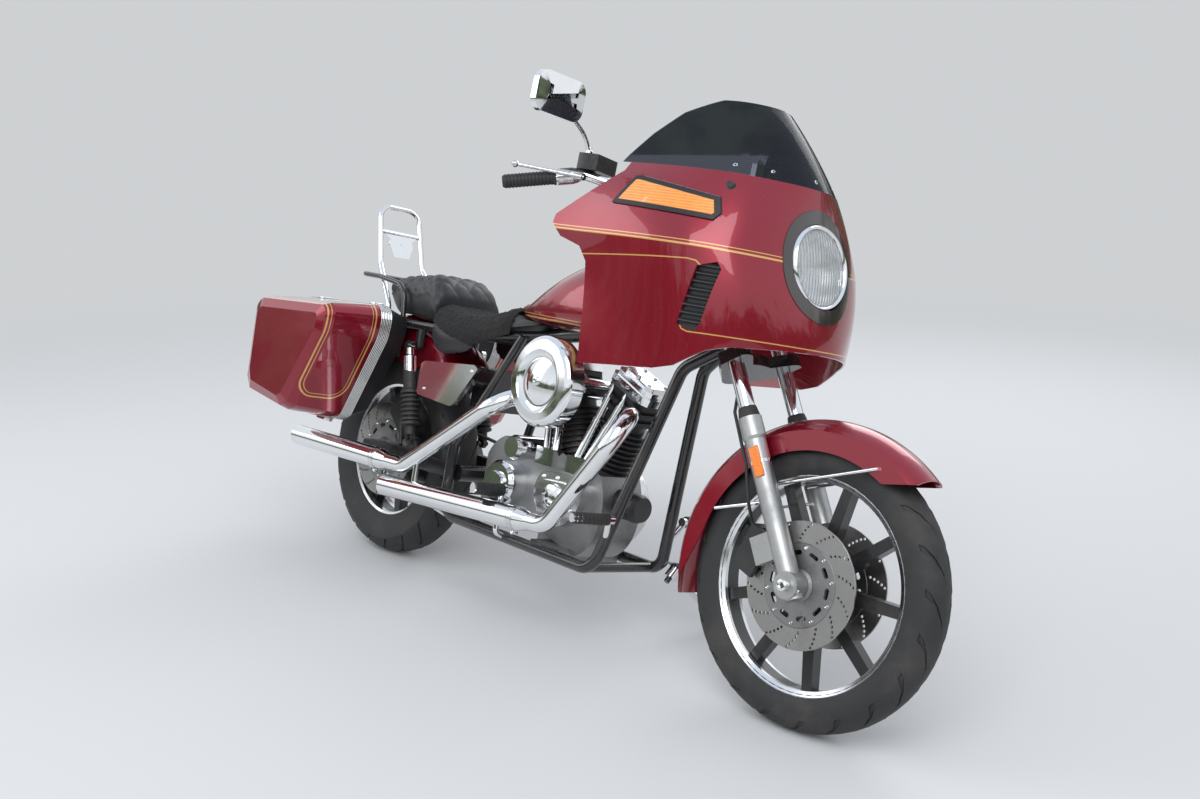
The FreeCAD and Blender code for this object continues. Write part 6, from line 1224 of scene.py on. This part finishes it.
def fleece_rows(along, across):
    """Rings of a pad draped over the rider's seat, its edges following a scalloped line."""
    ring = section_ring(160)
    rows = []
    for step in range(along):
        share = step / (along - 1)
        x, half, base, top = spline_value(RIDER_STATIONS, FLEECE_SPAN[0]
                                          + share * (FLEECE_SPAN[1] - FLEECE_SPAN[0]))
        low = on_line(FLEECE_LOW, x) + 0.004 * noise.noise(Vector((x * 30, 0.7, 0)))
        path = [Vector((x, half * v, base + (top - base) * w)) for v, w in ring
                if base + (top - base) * w > low]
        path.sort(key=lambda p: math.atan2(p.y, p.z - (base + top) / 2 + half))
        even = []
        for index in range(across):
            spot = index / (across - 1) * (len(path) - 1)
            first = min(int(spot), len(path) - 2)
            even.append(path[first].lerp(path[first + 1], spot - first))
        inner, outer = [], []
        for index, point in enumerate(even):
            before, after = even[max(index - 1, 0)], even[min(index + 1, across - 1)]
            out = Vector((0, before.z - after.z, after.y - before.y)).normalized()
            edge = min(index, across - 1 - index) / 9
            end = min(step, along - 1 - step) / 6
            thick = FLEECE_THICKNESS * min(1.0, 0.35 + 0.65 * edge) * min(1.0, 0.25 + 0.75 * end)
            curl = noise.fractal(point * 95.0, 0.8, 2.0, 3) * 0.0034
            curl += abs(noise.noise(point * 240.0)) * 0.0022
            inner.append(point + out * 0.0012)
            outer.append(point + out * (thick + curl))
        rows.append(outer + list(reversed(inner)))
    return rows


def seats():
    rider = skin("rider_seat_leather", cushion_rows(RIDER_STATIONS, 84, 132, stitched, rider_room))
    settle(rider, MACHINE, "frame", LEATHER, ("rider_seat",), 60)
    pillion = skin("pillion_quilted", cushion_rows(PILLION_STATIONS, 92, 168, quilted, pillion_room))
    settle(pillion, MACHINE, "frame", LEATHER, ("pillion_pad",), 60)
    fleece = skin("fleece_curls", fleece_rows(104, 120))
    settle(fleece, MACHINE, "frame", FLEECE, ("fleece_pad",), 80)


# Engine dressing

CRANK = (0.850, 0.345)
CYLINDER_LEAN = math.radians(22.5)
CLUTCH = (0.585, 0.362)


def engine_dressing():
    x, z = CRANK
    for name, lean in (("front", CYLINDER_LEAN), ("rear", -CYLINDER_LEAN)):
        head = MACHINE @ at(x, 0, z) @ Matrix.Rotation(lean, 4, "Y")
        spots = [(along, side, 0.3920) for along in (-0.044, 0.0, 0.044) for side in (-0.030, 0.030)]
        bolts(name + "_rocker_bolts", spots, (0, 0, 1), 0.0052, head, "frame", CHROME)
        low = [(along, -0.0560, 0.3585) for along in (-0.048, 0.0, 0.048)]
        bolts(name + "_rocker_side_bolts", low, RIGHT, 0.0048, head, "frame", CHROME)
        plug = turned(name + "_spark_plug", [(0.0085, 0.0), (0.0085, 0.012), (0.0062, 0.014),
                                             (0.0062, 0.030), (0.0050, 0.034), (0.0003, 0.035)], 16)
        settle(plug, head @ facing((0.0, -0.0640, 0.318), (0.0, -1, 0.35)), "frame", RUBBER)
    cam_face, cam_ledge = -0.1288, -0.1142
    ring = ((-0.84, -0.28), (-0.20, -0.62), (0.48, -0.76), (1.02, -0.18), (1.24, 0.34), (0.86, 0.93),
            (0.0, 0.90), (-0.80, 0.82), (-0.92, 0.26))
    bolts("cam_cover_bolts", [(x + 0.068 * u, cam_ledge, z + 0.068 * w) for u, w in ring], RIGHT,
          0.0044, MACHINE, "frame", CHROME)
    dome = turned("ignition_cover", [(0.0360, -0.001), (0.0360, 0.004), (0.0330, 0.008), (0.0220, 0.011),
                                     (0.0205, 0.0100), (0.0100, 0.0115), (0.0003, 0.012)], 48)
    settle(dome, MACHINE @ facing((x + 0.010, cam_face, z + 0.010), RIGHT), "frame", CHROME)
    bolts("ignition_cover_screws", [(x + 0.010 + side * 0.028, cam_face - 0.006, z + 0.010)
                                    for side in (-1, 1)], RIGHT, 0.0034, MACHINE, "frame", POLISHED)
    clutch_x, clutch_z = CLUTCH
    bolts("gearbox_cover_bolts", circle(clutch_x + 0.031, -0.112, z, 0.0565, 6, 0.4), RIGHT, 0.0050,
          MACHINE, "frame", POLISHED)
    ledge = 0.1254
    spots = []
    for index in range(6):
        turn = math.radians(-80 + 32 * index)
        spots.append((x + 0.1105 * math.cos(turn), ledge, z + 0.1105 * math.sin(turn)))
        spots.append((clutch_x - 0.0915 * math.cos(turn), ledge, clutch_z + 0.0915 * math.sin(turn)))
    bolts("primary_bolts", spots, LEFT, 0.0052, MACHINE, "frame", CHROME)
    derby = turned("clutch_cover", [(0.0600, -0.001), (0.0600, 0.005), (0.0570, 0.008), (0.0480, 0.009),
                                    (0.0450, 0.0075), (0.0200, 0.0085), (0.0003, 0.009)], 64)
    settle(derby, MACHINE @ facing((clutch_x, 0.1461, clutch_z), LEFT), "frame", CHROME)
    bolts("clutch_cover_bolts", circle(clutch_x, 0.1540, clutch_z, 0.0525, 3, 0.5), LEFT, 0.0048,
          MACHINE, "frame", POLISHED)
    hatch = slab("chain_hatch", (0.084, 0.012, 0.052), 0.005, 3)
    settle(hatch, MACHINE @ at(0.735, 0.1480, 0.355), "frame", CHROME)
    bolts("chain_hatch_screws", [(0.735 + 0.033 * side, 0.1538, 0.355) for side in (-1, 1)], LEFT, 0.0038,
          MACHINE, "frame", POLISHED)
    cleaner = (0.815, -0.2168, 0.652)
    button = turned("air_cleaner_button", [(0.0125, -0.001), (0.0125, 0.0035), (0.0100, 0.0055),
                                           (0.0050, 0.0060), (0.0003, 0.0050)], 32)
    settle(button, MACHINE @ facing(cleaner, RIGHT), "frame", POLISHED)
    for name, spot, reach in (("upper", (0.305, -0.216, 0.321), (-0.258, -0.2284, 0.304, 0.80)),
                              ("lower", (0.945, -0.214, 0.298), (0.228, -0.214, 0.247, 0.86))):
        knee, tip = Vector(spot), Vector(reach[:3])
        start = tip.lerp(knee, reach[3])
        run = (tip - knee).normalized()
        clamp = turned(name + "_pipe_clamp", [(0.0308, -0.010), (0.0332, -0.010), (0.0338, -0.006),
                                              (0.0332, -0.002), (0.0332, 0.002), (0.0338, 0.006),
                                              (0.0332, 0.010), (0.0308, 0.010)], 48, True)
        settle(clamp, MACHINE @ facing(start + run * 0.012, run), "frame", POLISHED)
        lug = start + run * 0.012 + Vector((0, 0, -0.0365))
        bolts(name + "_clamp_bolt", [lug + Vector((0, -0.006, 0))], RIGHT, 0.0060, MACHINE, "frame", CHROME)
        ear = slab(name + "_clamp_ear", (0.016, 0.014, 0.012), 0.002, 2)
        settle(ear, MACHINE @ at(*lug) @ at(0, 0, 0.002), "frame", POLISHED)


# Pegs, fork, fairing and rear trim

def pegs():
    for name, start, reach, thick in (("rider", (0.6985, -0.1650, 0.338), 0.088, 0.0146),
                                      ("forward", (1.0935, -0.1450, 0.350), 0.106, 0.0118)):
        stations = [(thick - 0.0006, 0.0), (thick + 0.0030, 0.0)]
        ribs = 8
        for rib in range(ribs):
            foot = 0.003 + rib * (reach - 0.006) / ribs
            stations += [(thick + 0.0030, foot), (thick + 0.0030, foot + 0.0060),
                         (thick + 0.0014, foot + 0.0070), (thick + 0.0014, foot + 0.0090)]
        stations += [(thick + 0.0030, reach), (thick - 0.0006, reach + 0.002)]
        for side_name, side in SIDES:
            sleeve = turned(name + "_peg_rubber_" + side_name, stations, 28, True)
            over = MACHINE @ mirrored_over(side)
            settle(sleeve, over @ facing(start, (-0.14, -1, 0)), "frame", RUBBER)


def fork_trim():
    rake = Vector((-math.sin(RAKE_ANGLE), 0, math.cos(RAKE_ANGLE)))
    for name, side in SIDES:
        over = FORK @ mirrored_over(side)
        axle = Vector((WHEELBASE, -0.100, FRONT_TYRE_RADIUS))
        spot = axle + rake * 0.288 + Vector((0.006, -0.0265, 0.004))
        turn = Matrix.Rotation(-RAKE_ANGLE, 4, "Y")
        reflector = slab("fork_reflector_" + name, (0.026, 0.006, 0.072), 0.0026, 3)
        work_on(reflector)
        press(reflector, lambda centre, normal: normal.y < -0.9, (0.0022, -0.0008))
        bpy.ops.object.mode_set(mode="OBJECT")
        settle(reflector, over @ at(*spot) @ turn, "steering", AMBER_PLAIN)
        clamp = turned("reflector_clamp_" + name, [(0.0252, -0.004), (0.0264, -0.004), (0.0264, 0.004),
                                                   (0.0252, 0.004)], 40, True)
        settle(clamp, over @ at(*(axle + rake * 0.288)) @ turn, "steering", CHROME)
        nut = copied(BOLT, "axle_nut_" + name, Matrix())
        end = facing((WHEELBASE, -0.1318, FRONT_TYRE_RADIUS), RIGHT)
        settle(nut, over @ end @ Matrix.Diagonal((0.013, 0.013, 0.009, 1)), "steering", CHROME)
        bolts("slider_bolts_" + name, [axle + rake * 0.012 * step + Vector((0.022, -0.014, 0.006))
                                       for step in (-1.2, 1.2)], RIGHT, 0.0046, over, "steering", CHROME)


SCREEN_BASE = ((1.236, 0.223), (1.332, 0.180), (1.389, 0.113), (1.4258, 0.0))
SCREEN_BASE_HEIGHT = 1.243
VENT_SPOT = (1.376, 0.264, 0.929)
VENT_YAW = math.radians(28)
LOUVRE_SIZE = (0.084, 0.012, 0.004)
LOUVRE_PITCH = 0.0185
LOUVRE_TILT = math.radians(35)


def fairing_trim():
    """Screws along the foot of the screen, and louvres just inside the vents."""
    points = [(x, -y, SCREEN_BASE_HEIGHT) for x, y in SCREEN_BASE]
    full = points + [(x, -y, z) for x, y, z in reversed(points[:-1])]
    made = []
    for index in range(1, len(full) - 1):
        before, after = Vector(full[index - 1]), Vector(full[index + 1])
        run = after - before
        out = Vector((run.y, -run.x, 0)).normalized() + Vector((0, 0, 0.55))
        out.normalize()
        made.append(copied(BOLT, "screen_screw", facing(Vector(full[index]) + out * 0.0005, out)
                           @ Matrix.Diagonal((0.0052, 0.0052, 0.0042, 1))))
    settle(gathered("screen_screws", made), MACHINE, "frame", CHROME)
    for name, side in SIDES:
        blades = []
        x, y, z = VENT_SPOT
        along = at(x, side * y, z) @ Matrix.Rotation(-side * VENT_YAW, 4, "Z")
        for step in range(-3, 5):
            blade = slab("louvre", LOUVRE_SIZE, 0.0012, 1)
            blade.data.transform(along @ at(0, 0, step * LOUVRE_PITCH)
                                 @ Matrix.Rotation(-side * LOUVRE_TILT, 4, "X"))
            blades.append(blade)
        back = slab("louvre_back", (0.086, 0.003, 0.166), 0.0012, 1)
        back.data.transform(along @ at(0, -side * 0.009, 0.003))
        blades.append(back)
        settle(gathered("vent_louvres_" + name, blades), MACHINE, "frame", PLASTIC)


def instruments():
    """Panel inside the fairing, with two large and two small round gauges."""
    panel = slab("dash_panel", (0.026, 0.430, 0.112), 0.010, 4)
    work_on(panel)
    press(panel, lambda centre, normal: normal.x < -0.95, (0.008, 0.0), (0.002, -0.002))
    bpy.ops.object.mode_set(mode="OBJECT")
    tilt = MACHINE @ at(1.335, 0, 1.150) @ Matrix.Rotation(math.radians(20), 4, "Y")
    settle(panel, tilt, "frame", PLASTIC)
    for name, side, size in (("speed", 0.055, 0.042), ("engine_speed", -0.055, 0.042),
                             ("fuel", 0.145, 0.026), ("volt", -0.145, 0.026)):
        place = tilt @ facing((-0.013, side, 0.004), (-1, 0, 0))
        bezel = turned(name + "_gauge_ring", [
            (size * 0.90, 0.0), (size * 0.90, 0.006), (size * 0.95, 0.0085), (size, 0.006), (size, -0.004),
            (size * 0.90, -0.004)], 48, True)
        settle(bezel, place, "frame", CHROME)
        dial = turned(name + "_gauge_dial", [(size * 0.905, 0.0005), (size * 0.905, 0.0025),
                                             (size * 0.3, 0.0025), (0.0003, 0.0025)], 48)
        settle(dial, place, "frame", DIAL)
        needle = slab(name + "_needle", (size * 0.72, 0.0022, 0.0010), 0.0004, 1,
                      (size * 0.26, 0, 0.0042))
        settle(needle, place @ Matrix.Rotation(math.radians(215), 4, "Z"), "frame", AMBER_PLAIN)
        glass = turned(name + "_gauge_glass", [(size * 0.90, 0.0050), (size * 0.90, 0.0062),
                                               (size * 0.4, 0.0072), (0.0003, 0.0074)], 48)
        settle(glass, place, "frame", CLEAR_GLASS)


def rear_trim():
    tail = MACHINE @ at(-0.352, 0, 0.5577) @ Matrix.Rotation(math.radians(34), 4, "Y")
    base = slab("tail_lamp_base", (0.020, 0.096, 0.072), 0.006, 3)
    settle(base, tail @ at(-0.010, 0, 0), "frame", CHROME, ("tail_lamp",))
    lens = slab("tail_lamp_lens", (0.038, 0.090, 0.066), 0.012, 5)
    work_on(lens)
    press(lens, lambda centre, normal: normal.x < -0.97, (0.006, 0.0012), (0.0012, -0.0016))
    bpy.ops.object.mode_set(mode="OBJECT")
    settle(lens, tail @ at(-0.0385, 0, 0), "frame", TAIL_RED)
    bolts("tail_lamp_screws", [(-0.0205, side * 0.0458, 0.030) for side in (-1, 1)], (-1, 0, 0), 0.0026,
          tail, "frame", CHROME)
    plate = rounded_block("blank_plate", (0.0016, 0.178, 0.104), 0.012, 5)
    press(plate, lambda centre, normal: normal.x < -0.99, (0.005, 0.0), (0.001, -0.0005))
    facing_out()
    hold = MACHINE @ at(-0.4385, 0, 0.4480) @ Matrix.Rotation(math.radians(14), 4, "Y")
    settle(plate, hold @ at(-0.0075, 0, 0), "frame", PLATE)
    bracket = slab("plate_bracket", (0.016, 0.090, 0.060), 0.003, 2)
    settle(bracket, hold @ at(0.0018, 0, 0), "frame", BLACK_METAL)
    bolts("plate_bolts", [(-0.0083, side * 0.060, 0.040) for side in (-1, 1)], (-1, 0, 0), 0.0050,
          hold, "frame", CHROME)


def bag_trim():
    for name, side in SIDES:
        over = MACHINE @ mirrored_over(side)
        for place_name, x, z in (("front", 0.040, 0.7625), ("rear", -0.250, 0.7470)):
            label = "%s_%s" % (place_name, name)
            hasp = slab("bag_latch_" + label, (0.030, 0.034, 0.006), 0.0025, 3)
            work_on(hasp)
            press(hasp, lambda centre, normal: normal.z > 0.95, (0.004, 0.0012), (0.0008, -0.0010))
            bpy.ops.object.mode_set(mode="OBJECT")
            lean = Matrix.Rotation(math.radians(-3.2), 4, "Y")
            settle(hasp, over @ at(x, -0.222, z) @ lean, "frame", CHROME)
        bolts("side_cover_screws_" + name, [(0.245, -0.1482, 0.545), (0.455, -0.1482, 0.628)], RIGHT, 0.0042,
              over, "frame", POLISHED)


grooved_tyre("front_grooved_tyre", FRONT_TREAD, 6.0, FORK @ at(*FRONT_AXLE), "front_wheel", "front_tyre")
grooved_tyre("rear_grooved_tyre", REAR_TREAD, 5.0, MACHINE @ at(*REAR_AXLE), "rear_wheel", "rear_tyre")
brakes()
lamp_unit()
mirrors()
grips()
seats()
engine_dressing()
pegs()
fork_trim()
fairing_trim()
instruments()
rear_trim()
bag_trim()
bpy.data.objects.remove(BOLT)


# Stage and light

FLOOR_COLOR = (0.62, 0.635, 0.65)
FLOOR_FADE = (2.2, 7.0)


def stage():
    """Pale floor that fades into an equally pale backdrop, under a soft sky."""
    bpy.ops.object.select_all(action="DESELECT")
    bpy.ops.mesh.primitive_circle_add(vertices=64, radius=30, fill_type="NGON", location=(0, 0, 0))
    floor = bpy.context.object
    floor.name = "floor"
    finish = Finish("floor")
    board = finish.board
    x, y, z = board.split(finish.where)
    far = board.length(x, y)
    tree = finish.material.node_tree
    finish.set(Base_Color=rgba(FLOOR_COLOR), Roughness=0.9, Specular_IOR_Level=0.1)
    glow = board.add("ShaderNodeEmission", {"Color": rgba(FLOOR_COLOR), "Strength": 1.0})
    blend = board.add("ShaderNodeMixShader", {"Fac": board.ramp(far, *FLOOR_FADE)})
    tree.links.new(finish.shader.outputs[0], blend.inputs[1])
    tree.links.new(glow.outputs[0], blend.inputs[2])
    exit_node = [n for n in tree.nodes if n.type == "OUTPUT_MATERIAL"][0]
    tree.links.new(blend.outputs[0], exit_node.inputs["Surface"])
    floor.data.materials.append(finish.material)
    world = bpy.data.worlds.new("studio")
    bpy.context.scene.world = world
    world.use_nodes = True
    tree = world.node_tree
    tree.nodes.clear()
    board = Board(tree)
    direction = board.add("ShaderNodeTexCoord").outputs["Generated"]
    x, y, z = board.split(direction)
    trees = board.noise(direction, 7.0, 6.0, 0.65)
    skyline = board.maths("MULTIPLY_ADD", trees, 0.5, -0.12)
    leaf = board.ramp(board.maths("SUBTRACT", z, skyline), -0.04, 0.06)
    sky = board.mix(board.ramp(z, 0.1, 0.9), (0.95, 0.97, 1.0, 1), (0.70, 0.78, 0.90, 1))
    wood = board.mix(board.ramp(board.noise(direction, 24.0, 5.0, 0.7), 0.4, 0.62),
                     (0.02, 0.03, 0.02, 1), (0.16, 0.19, 0.12, 1))
    scenery = board.mix(leaf, wood, sky)
    ground = board.mix(board.ramp(z, -0.12, -0.02), (0.42, 0.41, 0.40, 1), scenery)
    paths = board.add("ShaderNodeLightPath")
    seen = board.mix(paths.outputs["Is Camera Ray"], ground, rgba(FLOOR_COLOR))
    light = board.mix(paths.outputs["Is Diffuse Ray"], seen, (0.80, 0.82, 0.85, 1))
    back = board.add("ShaderNodeBackground", {"Color": light, "Strength": 1.0})
    exit_node = board.add("ShaderNodeOutputWorld")
    tree.links.new(back.outputs[0], exit_node.inputs["Surface"])
    for name, spot, size, power in (("key", (2.5, -3.0, 4.2), 3.5, 120), ("fill", (-3.5, -3.0, 3.0), 3.0, 45),
                                    ("rim", (-1.0, 4.0, 3.5), 3.0, 60)):
        data = bpy.data.lights.new(name, "AREA")
        data.size = size
        data.energy = power
        lamp = bpy.data.objects.new(name, data)
        bpy.context.collection.objects.link(lamp)
        aim = Vector((0, 0, 0.6)) - Vector(spot)
        turn = aim.to_track_quat("-Z", "Y").to_matrix().to_4x4()
        lamp.matrix_world = Matrix.Translation(spot) @ turn


stage()
